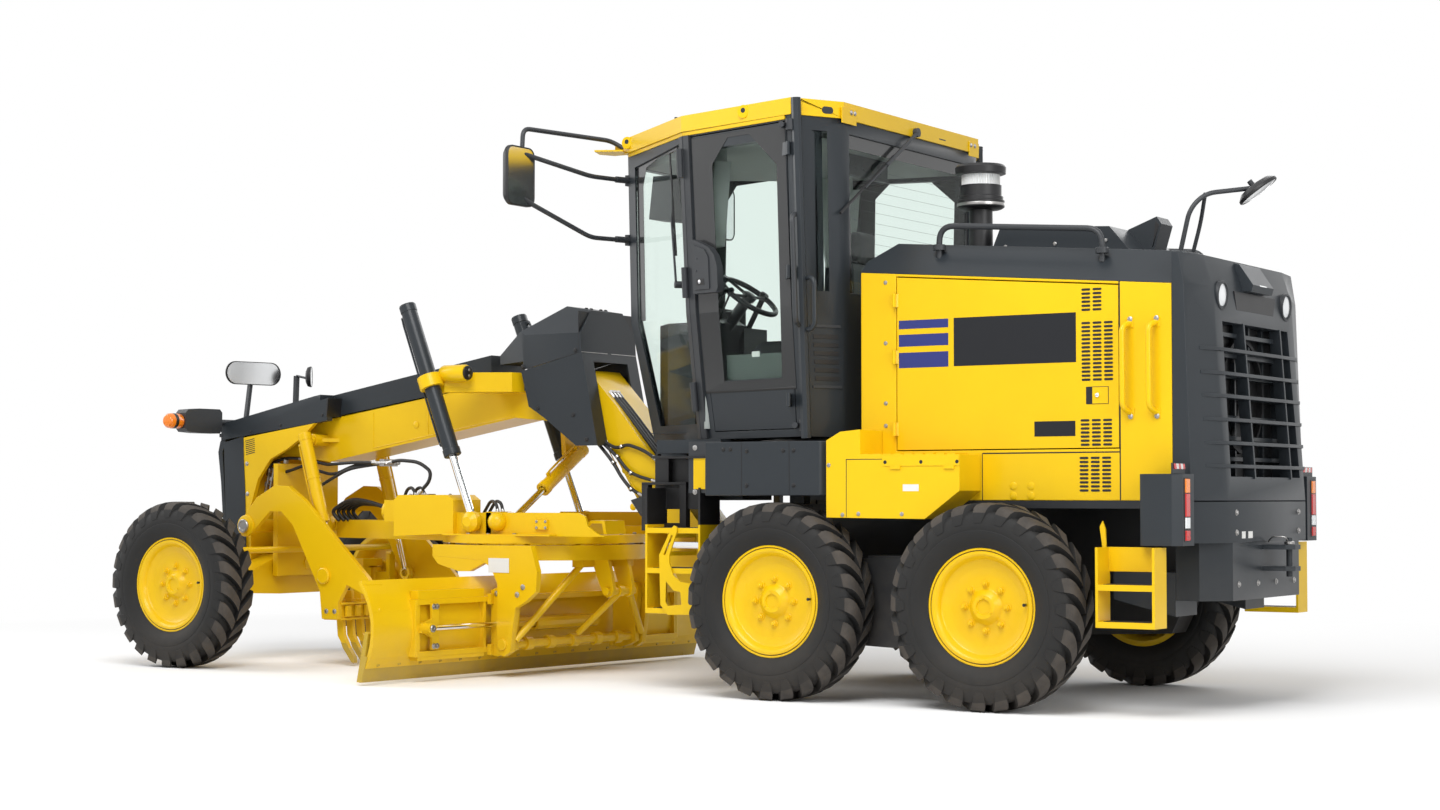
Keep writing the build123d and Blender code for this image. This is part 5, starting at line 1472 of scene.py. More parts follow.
    def _roof(self) -> Shape:
        """Fascia lip, lifting eyes, mirror brackets, plates, oval hole and aerial."""
        shape = Shape("roof_fittings", YELLOW)
        for facet, first, last in ((Facet.QUARTER, 0.03, 1.0), (Facet.DOOR, 0.0, 0.95)):
            self.panel(shape, facet, rectangle((first, last), (3.093, 3.113)), -0.004, 0.008)
        self.panel(shape, Facet.REAR_QUARTER, rectangle((0.10, 0.16), (2.99, 3.115)), 0.0015, 0.010)
        self.panel(shape, Facet.REAR, rectangle((-0.02, 0.078), (3.090, 3.175)), 0.0125, 0.018)
        self.panel(shape, Facet.REAR, rectangle((0.922, 1.0), (3.090, 3.175)), 0.0125, 0.018)
        eyes = ((0.985, 1.02), (0.40, -0.17))
        for x, y in eyes:
            for side in (1, -1):
                shape.prism(arc((y, 3.170), 0.036, range(0, 360, 20)), Axis.X, side * (x - 0.0032),
                    side * (x + 0.0232))
        shape.use(DARK)
        for x, y in eyes:
            for side in (1, -1):
                shape.bar((side * (x - 0.0045), y, 3.176), (side * (x + 0.0245), y, 3.176), 0.014, 18)
        oval = []
        for centre, start in ((0.75, -90), (0.64, 90)):
            oval += [(centre + 0.055 * math.cos(math.radians(start + t)),
                3.152 + 0.019 * math.sin(math.radians(start + t))) for t in range(0, 181, 30)]
        self.panel(shape, Facet.REAR_QUARTER, oval, 0.006, 0.0125)
        self.panel(shape, Facet.REAR, rectangle((0.690, 0.740), (3.140, 3.147)), 0.011, 0.0125)
        shape.use(STEEL).bolts([self.at(Facet.REAR, s, 3.155, 0.018) for s in (0.042, 0.066, 0.935, 0.965)],
            (0, 1, 0), 0.010)
        shape.use(YELLOW)
        for side in (1, -1):
            shape.prism([(side * 0.30, -0.245), (side * 0.44, -0.185), (side * 0.52, -0.335),
                (side * 0.40, -0.385), (side * 0.31, -0.33)], Axis.Z, 3.118, 3.128)
            shape.prism([(side * 0.30, -0.245), (side * 0.308, -0.245), (side * 0.318, -0.33),
                (side * 0.31, -0.33)], Axis.Z, 3.118, 3.175)
            shape.use(STEEL).bolts([(side * x, y, 3.128) for x, y in ((0.36, -0.24), (0.45, -0.30),
                (0.38, -0.34))], (0, 0, 1), 0.009)
            shape.use(YELLOW)
        shape.use(BLACK).bar((0.80, 0.44, 3.205), (0.80, 0.44, 3.2168), 0.010, 12)
        return shape

    def _inside(self) -> Shape:
        """Light headliner, pillar covers, dash, side boxes and the beam behind the driver."""
        shape = Shape("cab_lining", LINING)
        top = [(0.30, -0.10), (0.78, 0.56), (0.95, 1.30), (0.72, 1.43)]
        outline = top + [(-x, y) for x, y in reversed(top)]
        shape.prism(outline, Axis.Z, 3.020, 3.060)
        for side in (1, -1):
            shape.rings([[(side * x, y, z) for x, y in ((0.66, 0.50), (0.76, 0.66), (0.70, 0.72),
                (0.60, 0.56))] for z in (2.95, 3.02)])
            shape.rings([[(side * (x - 0.02), y, 2.48) for x, y in ((0.70, 0.54), (0.76, 0.66),
                (0.71, 0.70), (0.65, 0.58))],
                [(side * x, y, 2.72) for x, y in ((0.68, 0.50), (0.79, 0.68), (0.72, 0.74), (0.60, 0.56))],
                [(side * x, y, 2.95) for x, y in ((0.68, 0.50), (0.80, 0.70), (0.72, 0.76), (0.60, 0.56))]])
            shape.bar((side * 0.715, 0.60, 1.46), (side * 0.765, 0.60, 2.50), 0.022, 14)
            shape.prism([(1.20, 1.50), (1.40, 1.50), (1.40, 2.16), (1.33, 2.16)], Axis.X, side * 0.56,
                side * 0.86)
        shape.use(PLASTIC).block((-0.22, 0.22), (1.20, 1.23), (2.90, 3.022))
        for x in (-0.14, -0.05, 0.05, 0.14):
            shape.bar((x, 1.226, 2.965), (x, 1.235, 2.965), 0.028, 20)
        shape.prism([(0.02, 2.70), (0.18, 2.68), (0.18, 2.95), (0.05, 2.95)], Axis.X, 0.30, 0.46)
        return shape

    def _wheel_and_levers(self) -> Shape:
        """Steering column, padded wheel, lever rows and armrest boxes in place of the plain console."""
        shape = Shape("driver_console", PLASTIC)
        rise = self.console_rise
        shape.prism([(0.09, 1.44), (0.29, 1.44), (0.27, 1.86 + rise), (0.31, 1.95 + rise),
            (0.26, 1.985 + rise), (0.12, 1.975 + rise)], Axis.X, -0.125, 0.125)
        for side in (1, -1):
            bank = [(side * x, y) for x, y in ((0.13, -0.05), (0.24, -0.05), (0.39, 0.11), (0.39, 0.30),
                (0.13, 0.30))]
            shape.prism(bank, Axis.Z, 1.446, 1.94 + rise)
        shape.bar((0, 0.24, 1.90 + rise), (0, 0.41, 2.10 + rise), 0.034, 20)
        normal = Vector((0, 160, 210)).normalized()
        centre = Vector((0, 0.42, 2.11 + rise))
        ring = [(0.016 * math.sin(2 * math.pi * i / 14), 0.183 + 0.0155 * math.cos(2 * math.pi * i / 14))
            for i in range(14)]
        shape.turned(ring, centre, normal, 56, ring=True)
        shape.turned([(-0.02, 0.04), (0.012, 0.046), (0.022, 0.03)], centre, normal, 24)
        flat = Vector((0, -normal.z, normal.y))
        for across in (Vector((1, 0, 0)), Vector((-1, 0, 0)), flat):
            shape.bar(centre + across * 0.03, centre + across * 0.176, 0.0095, 12)
        knob = centre + Vector((0.13, 0, 0)) + flat * 0.128
        shape.bar(knob, knob + normal * 0.045, 0.019, 16)
        shape.use(DARK).block((-0.23, 0.23), (0.17, 0.25), (1.96 + rise, 2.045 + rise))
        shape.use(PLATE).prism([(y, z + rise) for y, z in ((0.249, 1.97), (0.253, 1.97), (0.253, 2.035),
            (0.249, 2.035))], Axis.X, -0.20, 0.20)
        shape.use(PLASTIC)
        for side in (1, -1):
            for i in range(4):
                x = side * (0.165 + 0.042 * i)
                foot, head = (x, 0.30 - 0.02 * i, 1.94 + rise), (x * 1.04, 0.40 - 0.02 * i, 2.125 + rise)
                shape.bar((x, 0.22, 1.94 + rise), foot, 0.014, 10)
                shape.bar(foot, head, 0.006, 10)
                shape.turned([(-0.02, 0.012), (0.0, 0.019), (0.022, 0.017), (0.03, 0.006)], head,
                    (0, 0.4, 0.9), 16)
        shape.use(RED).turned([(-0.02, 0.012), (0.0, 0.02), (0.022, 0.018), (0.03, 0.006)],
            (0.335, 0.36, 2.12 + rise), (0, 0.4, 0.9), 16)
        shape.bar((0.335, 0.30, 1.96 + rise), (0.335, 0.36, 2.11 + rise), 0.006, 10)
        shape.use(PLASTIC)
        for side in (1, -1):
            x = (side * 0.335, side * 0.465)
            shape.prism([(0.735, 1.70), (1.17, 1.70), (1.17, 1.935), (1.12, 1.955), (0.80, 1.955),
                (0.735, 1.90)], Axis.X, *x)
        shape.use(INTERIOR).prism([(0.73, 1.442), (1.10, 1.442), (1.10, 1.70), (0.75, 1.70)], Axis.X, -0.50,
            0.50)
        shape.use(BLACK).block((-0.58, 0.58), (0.12, 1.40), (1.4405, 1.446))
        for x, y in ((0.16, 0.34), (-0.16, 0.36), (-0.26, 0.36)):
            shape.prism([(y, 1.47), (y + 0.012, 1.46), (y + 0.07, 1.60), (y + 0.06, 1.61)], Axis.X,
                x - 0.03, x + 0.03)
        return shape

    def _seat_frame(self) -> Shape:
        """Suspension skirt, back shell and belt under and behind the seat's cushions."""
        shape = Shape("seat_frame", PLASTIC)
        for i in range(5):
            grow = 0.012 if i % 2 == 0 else 0.0
            z = 1.715 + 0.014 * i
            shape.block((-0.17 - grow, 0.17 + grow), (0.84 - grow, 1.10 + grow), (z, z + 0.013))
        shape.block((-0.215, 0.215), (0.785, 1.16), (1.785, 1.80))
        shape.prism([(1.205, 1.86), (1.236, 1.88), (1.236, 2.36), (1.222, 2.40), (1.205, 2.40)], Axis.X,
            -0.185, 0.185)
        for x in (-0.06, 0.06):
            shape.bar((x, 1.19, 2.38), (x, 1.19, 2.45), 0.008, 10)
        for side in (1, -1):
            shape.bar((side * 0.225, 1.10, 1.83), (side * 0.225, 1.16, 1.90), 0.02, 12)
        return shape


@dataclass
class Seat:
    """Padded driver's seat: base, back and head cushions with sewn channels, inside the plain CAD seat."""

    voxel: float = 0.0085
    steps: int = 14
    swell: float = 0.010
    channel_step: float = 0.085

    def build(self) -> None:
        """Build the three cushions as one padded piece."""
        low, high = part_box("seat")
        base = self._pad((0.225, 0.195, 0.052), (0.0, low[1] + 0.20, 1.862))
        back = self._pad((0.215, 0.050, 0.245), (0.0, high[1] - 0.075, 2.165))
        head = self._pad((0.112, 0.034, 0.085), (0.0, high[1] - 0.058, 2.505))
        for pad in (base, back, head):
            self._inflate(pad)
        self._channels(base, Axis.Y, Axis.Z)
        self._channels(back, Axis.Z, Axis.Y)
        mesh = bmesh.new()
        for pad in (base, back, head):
            mesh.from_mesh(pad.data)
            bpy.data.objects.remove(pad)
        piece = Trim.solid("seat_cushions", mesh, CLOTH)
        piece.data.polygons.foreach_set("use_smooth", [True] * len(piece.data.polygons))
        Trim.mount(piece, Body.REAR, ("seat",))

    def _pad(self, half: Point, centre: Point) -> bpy.types.Object:
        """Rounded cushion body before it is filled.

        Args:
            half: Half sizes.
            centre: Its middle.

        Returns:
            A dense mesh object.
        """
        mesh = bmesh.new()
        bmesh.ops.create_cube(mesh, size=2.0)
        for vertex in mesh.verts:
            vertex.co = Vector((vertex.co.x * half[0], vertex.co.y * half[1], vertex.co.z * half[2]))
        bmesh.ops.bevel(mesh, geom=mesh.edges[:], offset=min(half) * 0.75, segments=4, affect="EDGES",
            profile=0.6)
        for vertex in mesh.verts:
            vertex.co += Vector(centre)
        return Trim.solid("pad", mesh)

    def _inflate(self, pad: bpy.types.Object) -> None:
        remesh = pad.modifiers.new("voxels", "REMESH")
        remesh.mode = "VOXEL"
        remesh.voxel_size = self.voxel
        self._apply(pad)
        rest = [vertex.co.copy() for vertex in pad.data.vertices]
        cloth = pad.modifiers.new("filling", "CLOTH")
        cloth.settings.use_pressure = True
        cloth.settings.uniform_pressure_force = 4.0
        cloth.settings.effector_weights.gravity = 0.0
        cloth.settings.quality = 5
        scene = bpy.context.scene
        for step in range(1, self.steps + 1):
            scene.frame_set(step)
        self._apply(pad)
        scene.frame_set(1)
        for vertex, start in zip(pad.data.vertices, rest):
            moved = vertex.co - start
            if moved.length > self.swell:
                vertex.co = start + moved.normalized() * self.swell
        finer = pad.modifiers.new("finer", "SUBSURF")
        finer.levels = 1
        finer.render_levels = 1
        self._apply(pad)

    def _apply(self, pad: bpy.types.Object) -> None:
        """Apply the modifiers of a pad to its mesh."""
        graph = bpy.context.evaluated_depsgraph_get()
        result = bpy.data.meshes.new_from_object(pad.evaluated_get(graph))
        pad.modifiers.clear()
        pad.data = result

    def _channels(self, pad: bpy.types.Object, along: Axis, out: Axis) -> None:
        """Sink sewn channels into a cushion's face.

        Args:
            pad: The cushion.
            along: Axis along which the channels follow each other.
            out: Axis that points out of the face.
        """
        run, height = along.value, out.value
        inward = -1 if out is Axis.Z else 1
        pitch = self.channel_step
        middle = sum(vertex.co[run] for vertex in pad.data.vertices) / len(pad.data.vertices)
        for vertex in pad.data.vertices:
            seam = abs(abs(vertex.co.x) - 0.125)
            vertex.co[height] += inward * 0.003 * math.exp(-(seam / 0.006) ** 2)
            near = abs((vertex.co[run] - middle + pitch / 2) % pitch - pitch / 2)
            if abs(vertex.co.x) < 0.12:
                vertex.co[height] += inward * 0.005 * math.exp(-(near / 0.006) ** 2)


@dataclass
class FrontFrame:
    """Beam trim: cover seams, cheek louvres, lamps, front mirrors, work lamp, manifold and clipped hoses."""

    cheek_x: float = 0.3
    cover_x: float = 0.285
    beam_x: float = 0.165
    lamp_y: Flat = (-3.64, -3.53)
    trunnion: Point = (0.5, -1.5, 1.838)

    def build(self) -> None:
        """Build every dressing piece of the front frame."""
        self._covers().mirrored().done(Body.FRONT, 0.0008)
        self._cheeks().mirrored().done(Body.FRONT, 0.0008)
        self._lamps().done(Body.FRONT, 0.004, ("front_fittings",))
        self._manifold().done(Body.FRONT, 0.0015)
        self._hoses().done(Body.FRONT)
        self._welds().mirrored().done(Body.FRONT)
        loop = self._motor_hose().made()
        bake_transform(loop)

    def _covers(self) -> Shape:
        """Seams, bolts and grey edge strips of the dark covers."""
        shape = Shape("cover_seams", BLACK)
        x = (self.cover_x - 0.002, self.cover_x + 0.0012)
        shape.prism([(-1.064, 1.8525), (-0.621, 1.9505), (-0.621, 1.9545), (-1.064, 1.8565)], Axis.X, *x)
        shape.prism([(-0.6215, 1.955), (-0.6180, 1.955), (-0.6230, 2.205), (-0.6265, 2.205)], Axis.X,
            self.cover_x - 0.16, self.cover_x + 0.0008)
        shape.prism([(-2.652, 1.60), (-2.640, 1.60), (-2.630, 1.722), (-2.642, 1.722)], Axis.X, 0.16,
            0.3035)
        shape.use(STEEL).prism(rectangle((-0.604, -0.597), (1.953, 1.957)), Axis.X, 0.02, self.cover_x)
        shape.use(BLACK)
        bolts = [(self.cover_x, y, z) for y, z in ((-1.045, 1.877), (-0.645, 1.965), (-0.660, 1.575),
            (-0.560, 1.425), (-0.93, 1.62))]
        shape.bolts(bolts, (1, 0, 0), 0.011)
        shape.bolts([(self.cheek_x + 0.002, y, z) for y, z in ((-2.68, 1.612), (-3.05, 1.552),
            (-3.32, 1.512))], (1, 0, 0), 0.008)
        shape.bolts([(x, -0.70, 2.2305) for x in (0.05, 0.10)], (0, 0.17, 0.98), 0.010)
        shape.use(PLASTIC).block((0.166, 0.21), (-1.10, -1.03), (1.735, 1.79))
        shape.block((0.166, 0.20), (-1.15, -1.10), (1.745, 1.77))
        return shape

    def _cheeks(self) -> Shape:
        """Slanting louvre, bolts and a folded lower edge on the nose cheeks, with the pins' grey caps."""
        shape = Shape("cheek_dress", DARK)
        shape.prism([(-3.561, 1.442), (-3.385, 1.484), (-3.380, 1.341), (-3.366, 1.145), (-3.352, 0.735),
            (-3.532, 0.735)], Axis.X, self.cheek_x - 0.001, self.cheek_x + 0.005)
        shape.use(BLACK)
        x = (self.cheek_x - 0.002, self.cheek_x + 0.0012)
        for i in range(8):
            z = 1.452 - 0.0128 * i
            y = -3.368 + 0.001 * i
            shape.prism([(y, z - 0.004), (y + 0.082, z + 0.012), (y + 0.082, z + 0.0175), (y, z + 0.0015)],
                Axis.X, *x)
        shape.use(STEEL).bolts([(self.cheek_x, y, z) for y, z in ((-3.352, 1.300), (-3.346, 1.100),
            (-3.342, 0.88))], (1, 0, 0), 0.011)
        cap = (0.4735, -3.21, 0.89)
        shape.turned([(-0.004, 0.044), (0.006, 0.044), (0.010, 0.040), (0.010, 0.030), (0.007, 0.028)], cap,
            (1, 0, 0), 36)
        return shape

    def _lamps(self) -> Shape:
        """Head lamps with turn lamps, the oval mirror, the small mirror on its post and the work lamp."""
        shape = Shape("front_lamps", PLASTIC)
        low, high = self.lamp_y
        for side in (1, -1):
            shape.use(PLASTIC)
            corner = 0.022
            outline = [(0.352 + corner, 1.502), (0.560, 1.502), (0.684 - corner, 1.508),
                (0.684, 1.508 + corner), (0.684, 1.655 - corner), (0.684 - corner, 1.655), (0.560, 1.664),
                (0.352 + corner, 1.664), (0.352, 1.664 - corner), (0.352, 1.502 + corner)]
            shape.rings([[(side * x, y, z) for x, z in outline] for y in (low + 0.018, high)])
            inner = [(0.372, 1.520), (0.660, 1.524), (0.660, 1.640), (0.372, 1.646)]
            shape.rings([[(side * x, y, z) for x, z in inner] for y in (low + 0.0185, low + 0.010)])
            shape.use(CLEAR).rings([[(side * x, y, z) for x, z in inner]
                for y in (low + 0.0100, low + 0.006)])
            shape.use(AMBER)
            middle = (side * 0.684, -3.585, 1.578)
            shape.turned([(0.0, 0.044), (0.012, 0.050), (0.052, 0.050)], middle, (side, 0, 0), 32)
            shape.turned([(0.076, 0.050), (0.100, 0.048), (0.116, 0.036), (0.120, 0.018)], middle,
                (side, 0, 0), 32)
            shape.use(BLACK).turned([(0.050, 0.0505), (0.078, 0.0505)], middle, (side, 0, 0), 32)
            shape.use(PLASTIC).bar((side * 0.160, -3.575, 1.578), (side * 0.362, -3.582, 1.578), 0.021, 14)
            shape.bar((side * 0.350, -3.545, 1.478), (side * 0.350, -3.545, 1.502), 0.010, 10)
        self._mirror(shape, (0.112, -3.487, 1.914), (0.222, 0.078), -11.0, (0.168, -3.497, 1.585))
        self._mirror(shape, (-0.205, -3.262, 1.898), (0.085, 0.070), 38.0, (-0.200, -3.392, 1.62))
        shape.use(PLASTIC)
        face = [(-0.273, 1.060), (-0.190, 1.083), (-0.152, 1.030), (-0.200, 0.965)]
        shape.rings([[(x, y, z) for y, z in face] for x in (0.172, 0.232)])
        shape.bar((0.200, -0.165, 1.000), (0.200, -0.095, 0.935), 0.010, 10)
        shape.bar((0.200, -0.100, 0.940), (0.160, -0.100, 0.940), 0.010, 10)
        shape.use(CLEAR).rings([[(x, y, z) for y, z in ((-0.2755, 1.052), (-0.262, 1.058), (-0.196, 0.974),
            (-0.2065, 0.970))] for x in (0.178, 0.226)])
        return shape

    def _mirror(self, shape: Shape, centre: Point, half: Flat, turn: float, foot: Point) -> None:
        """Add one rounded mirror on its post.

        Args:
            shape: Shape that receives it.
            centre: Middle of the mirror.
            half: Half width and half height.
            turn: Degrees about the upright axis.
            foot: Foot of the post.
        """
        angle = math.radians(turn)
        width, radius = half
        points = []
        for middle, start in ((width - radius, -90), (radius - width, 90)):
            points += arc((middle, 0), radius, range(start, start + 181, 15))

        def ring(scale: float, depth: float) -> list[Vector]:
            return [Vector(centre) + Vector((u * scale * math.cos(angle) - depth * math.sin(angle),
                u * scale * math.sin(angle) + depth * math.cos(angle), v * scale)) for u, v in points]

        shape.use(BLACK).rings([ring(0.55, -0.028), ring(0.92, -0.016), ring(1.0, 0.0), ring(1.0, 0.009),
            ring(0.95, 0.011), ring(0.95, 0.006)])
        shape.use(MIRROR).rings([ring(0.945, 0.0062), ring(0.945, 0.0085)])
        shape.use(PLASTIC)
        top = (centre[0] + 0.02 * math.sin(angle), centre[1] - 0.02 * math.cos(angle), centre[2] - 0.01)
        if turn > 20.0:
            arm = (foot[0], foot[1] + 0.01, centre[2] + 0.01)
            shape.tube([foot, arm], 0.021, 0.02, 4)
            shape.bar(arm, top, 0.008, 10)
        else:
            shape.tube([foot, (foot[0] - 0.01, foot[1], foot[2] + 0.06), top], 0.0185, 0.03, 4)

    def _manifold(self) -> Shape:
        """Hose fittings in the nose, the bulkhead blocks and clamps that hold the lines."""
        shape = Shape("line_fittings", STEEL)
        for y, z in ((-3.275, 1.10), (-3.230, 1.135), (-3.175, 1.165), (-3.120, 1.185)):
            base = (0.205, y, z)
            top = (0.205, y + 0.03, z + 0.13)
            shape.bar(base, top, 0.0105, 10)
            middle = (Vector(base) + Vector(top)) / 2
            shape.turned([(-0.012, 0.018), (0.012, 0.018)], middle, (0, 0.23, 0.97), 6)
            shape.turned([(-0.012, 0.018), (0.012, 0.018)], top, (0, 0.23, 0.97), 6)
            shape.bar(middle, (0.205, middle[1] + 0.045, middle[2] + 0.004), 0.009, 10)
        shape.block((0.168, 0.30), (-2.19, -2.15), (1.275, 1.320))
        for y in (-2.20, -2.14):
            for x in (0.20, 0.245, 0.29):
                shape.turned([(-0.03, 0.014), (0.03, 0.014)], (x, y, 1.297), (0, 1, 0), 6)
        for y, z in ((-0.43, 1.285), (-0.40, 1.32), (-0.37, 1.38), (-0.30, 1.125), (-0.30, 1.222)):
            shape.turned(rectangle((-0.008, 0.008), (0.0140, 0.0115)), (0.190, y, z), (0, 0.7, -0.7), 18,
                ring=True)
            shape.block((0.1645, 0.180), (y - 0.006, y + 0.006), (z - 0.006, z + 0.006))
        shape.use(CHASSIS).block((0.166, 0.215), (-0.105, -0.088), (1.08, 1.34))
        shape.block((0.166, 0.18), (-0.25, -0.09), (1.06, 1.10))
        return shape

    def _hoses(self) -> Shape:
        """Clipped hoses along the beam, over the drawbar's nose and down the leg."""
        shape = Shape("clipped_hoses", HOSE)
        routes = (
            [(0.270, -2.860, 1.400), (0.278, -2.800, 1.315), (0.278, -2.660, 1.290), (0.300, -2.593, 1.291),
             (0.290, -2.400, 1.303), (0.290, -2.225, 1.297)],
            [(0.262, -2.830, 1.340), (0.270, -2.790, 1.262), (0.270, -2.640, 1.226), (0.285, -2.560, 1.232),
             (0.270, -2.420, 1.288), (0.245, -2.225, 1.297)],
            [(0.240, -2.800, 1.100), (0.262, -2.735, 1.150), (0.290, -2.600, 1.200), (0.300, -2.450, 1.262),
             (0.250, -2.320, 1.283), (0.200, -2.225, 1.297)],
            [(0.205, -3.245, 1.24), (0.215, -3.22, 1.30), (0.20, -3.10, 1.34), (0.19, -2.95, 1.33)],
            [(0.205, -3.145, 1.28), (0.215, -3.10, 1.24), (0.20, -2.99, 1.27), (0.19, -2.90, 1.30)],
            [(0.188, -0.600, 1.450), (0.188, -0.520, 1.378), (0.190, -0.430, 1.285), (0.188, -0.370, 1.195),
             (0.188, -0.300, 1.125), (0.190, -0.215, 1.085)],
            [(0.188, -0.580, 1.460), (0.188, -0.490, 1.390), (0.190, -0.400, 1.320), (0.188, -0.330, 1.240),
             (0.190, -0.257, 1.205), (0.195, -0.112, 1.170)],
            [(0.188, -0.560, 1.460), (0.188, -0.470, 1.395), (0.190, -0.400, 1.370), (0.188, -0.330, 1.395),
             (0.190, -0.200, 1.355), (0.195, -0.112, 1.300)],
        )
        for route in routes:
            shape.hose(route, 0.0105)
        for x in (0.04, 0.075, 0.11):
            shape.hose([(x, -0.50, 1.70), (x, -0.40, 1.60), (x, -0.13, 1.30), (x, -0.05, 1.21)], 0.015)
        return shape

    def _motor_hose(self) -> Shape:
        """Free hose from the beam's bulkhead down to the circle motor."""
        shape = Shape("motor_hose", HOSE)
        return shape.hose([(0.290, -2.115, 1.297), (0.300, -2.030, 1.313), (0.302, -1.860, 1.300),
            (0.304, -1.760, 1.240), (0.312, -1.765, 1.175), (0.330, -1.815, 1.120), (0.340, -1.830, 1.096)],
            0.0115)

    def _welds(self) -> Shape:
        """Weld beads and plate edges on the beam's sides and leg."""
        shape = Shape("beam_welds", YELLOW)
        for start, end in (((-2.36, 1.395), (-2.36, 1.625)), ((-1.90, 1.478), (-1.90, 1.69)),
                ((-0.46, 1.36), (-0.20, 1.00)), ((-0.55, 1.47), (-0.33, 1.12))):
            shape.bar((self.beam_x, *start), (self.beam_x, *end), 0.0035, 8)
        shape.bar((self.beam_x, -2.36, 1.395), (self.beam_x, -1.20, 1.58), 0.0035, 8)
        shape.turned([(0.0, 0.046), (0.015, 0.052), (0.180, 0.052), (0.190, 0.048)], self.trunnion,
            (0, 1, 0), 32)
        shape.use(BLACK).turned([(0.188, 0.043), (0.200, 0.043), (0.203, 0.038)], self.trunnion, (0, 1, 0),
            32)
        shape.use(STEEL).bolts([(0.500, -1.297, 1.838 + dz) for dz in (-0.018, 0.018)], (0, 1, 0), 0.009,
            False)
        shape.use(YELLOW)
        for y, z in ((-0.30, 1.02), (-0.36, 1.24), (-2.0, 1.54)):
            shape.turned([(-0.002, 0.022), (0.004, 0.022), (0.006, 0.018)], (self.beam_x, y, z), (1, 0, 0),
                20)
        return shape


@dataclass
class WorkingGear:
    """Drawbar plates, swivel balls, hose loops, circle arms' edges, blade frames, bolts and struts."""

    pivot: Point = (0.0, -1.08, 0.0)
    parked: float = -4.0
    arm_face: float = 0.641
    carrier_face: float = 0.591
    shaft: Flat = (-0.86, 0.20)
    shift_axis: Flat = (-0.968, 0.317)

    def build(self) -> None:
        """Build the working gear's dressing pieces."""
        self._drawbar().done(Body.DRAWBAR, 0.002)
        self._loops().done(Body.DRAWBAR)
        self._circle().turn(self.parked, self.pivot).done(Body.CIRCLE, 0.002)
        self._struts().turn(self.parked, self.pivot).done(Body.CIRCLE, 0.001)
        self._blade().turn(self.parked, self.pivot).done(Body.BLADE, 0.0015)
        self._carriers().turn(self.parked, self.pivot).done(Body.CARRIERS, 0.0015)
        self._teeth()
        self._edge_bolts()

    def _drawbar(self) -> Shape:
        """Motor cover box, side rails, swivel balls, brackets and the pinion housing."""
        shape = Shape("drawbar_dress", YELLOW)
        shape.prism([(-1.838, 0.836), (-1.838, 1.060), (-1.800, 1.092), (-1.410, 1.092), (-1.362, 1.060),
            (-1.362, 0.856)], Axis.X, 0.30, 0.566)
        for side in (1, -1):
            rail = (side * 0.515, side * 0.530)
            shape.prism([(-1.40, 0.845), (-1.40, 0.93), (-1.36, 0.985), (-0.44, 0.985), (-0.39, 0.965),
                (-0.37, 0.905), (-0.30, 0.862), (-0.25, 0.845)], Axis.X, *rail)
            shape.block((side * 0.40, side * 0.60), (-1.42, -0.60), (0.846, 0.856))
            for y, z in arc((-1.21, 0.93), 0.046, range(30, 390, 60)):
                shape.turned([(-0.02, 0.011), (0.0, 0.011), (0.003, 0.008)], (side * 0.602, y, z),
                    (side, 0, 0), 10)
            shape.turned([(-0.02, 0.062), (0.018, 0.062), (0.03, 0.050), (0.045, 0.030)],
                (side * 0.578, -1.21, 0.93), (side, 0, 0), 32)
        ball = [(-0.058 * math.cos(math.pi * i / 10), 0.058 * math.sin(math.pi * i / 10))
            for i in range(11)]
        shape.turned(ball, (0.545, -1.035, 0.93), (1, 0, 0), 24)
        shape.block((0.531, 0.545), (-0.75, -0.66), (0.885, 0.942))
        shape.use(STEEL).turned([(-0.004, 0.052), (0.006, 0.052)], (0.400, -1.700, 1.0925), (0, 0, 1), 6)
        shape.bolts([(0.545, y, z) for y in (-0.738, -0.672) for z in (0.895, 0.932)], (1, 0, 0), 0.007)
        shape.bolts([(0.45 + dx, y, 1.0925) for dx in (-0.1, 0.05) for y in (-1.76, -1.44)], (0, 0, 1),
            0.009)
        shape.use(YELLOW).turned([(0, 0.105), (0.06, 0.105), (0.07, 0.09), (0.16, 0.085), (0.17, 0.07)],
            (0.15, -1.72, 0.90), (0, 0, 1), 32)
        shape.use(STEEL).bolts([(x, y, 0.96) for x, y in arc((0.15, -1.72), 0.095, range(0, 360, 45))],
            (0, 0, 1), 0.008, False)
        shape.use(YELLOW).prism([(-0.50, 0.856), (-0.40, 0.940), (-0.30, 0.940), (-0.285, 0.860),
            (-0.305, 0.860), (-0.318, 0.922), (-0.39, 0.922), (-0.46, 0.856)], Axis.X, 0.26, 0.46)
        for x in (-0.3, 0.3):
            shape.block((x - 0.03, x + 0.03), (-0.72, -0.52), (0.85, 0.90))
        return shape

    def _loops(self) -> Shape:
        """Hoses in wide loops over the drawbar's nose and short ones at the motor."""
        shape = Shape("drawbar_hoses", HOSE)
        for i in range(5):
            x = 0.03 + 0.026 * i
            reach = 0.02 * i
            shape.tube([(x, -2.60 - reach, 0.925), (x + 0.01, -2.66 - reach, 0.985),
                (x + 0.02, -2.58, 1.035 + 0.4 * reach), (x + 0.03, -2.40, 1.030 + 0.3 * reach),
                (x + 0.04, -2.22 + reach, 0.975), (x + 0.04, -2.14 + reach, 0.915)], 0.0125, 0.09, 12)
        for x, y in ((0.22, -1.92), (0.18, -1.88)):
            shape.hose([(x + 0.06, y + 0.03, 1.075), (x + 0.06, y - 0.01, 1.14), (x, y - 0.11, 1.13),
                (x - 0.05, y - 0.20, 0.98), (x - 0.06, y - 0.24, 0.93)], 0.0105)
        for x in (0.36, 0.41):
            shape.hose([(x, -1.135, 0.972), (x, -1.15, 1.04), (x - 0.06, -1.24, 1.06),
                (x - 0.14, -1.36, 0.98), (x - 0.15, -1.40, 0.92)], 0.0100)
        return shape

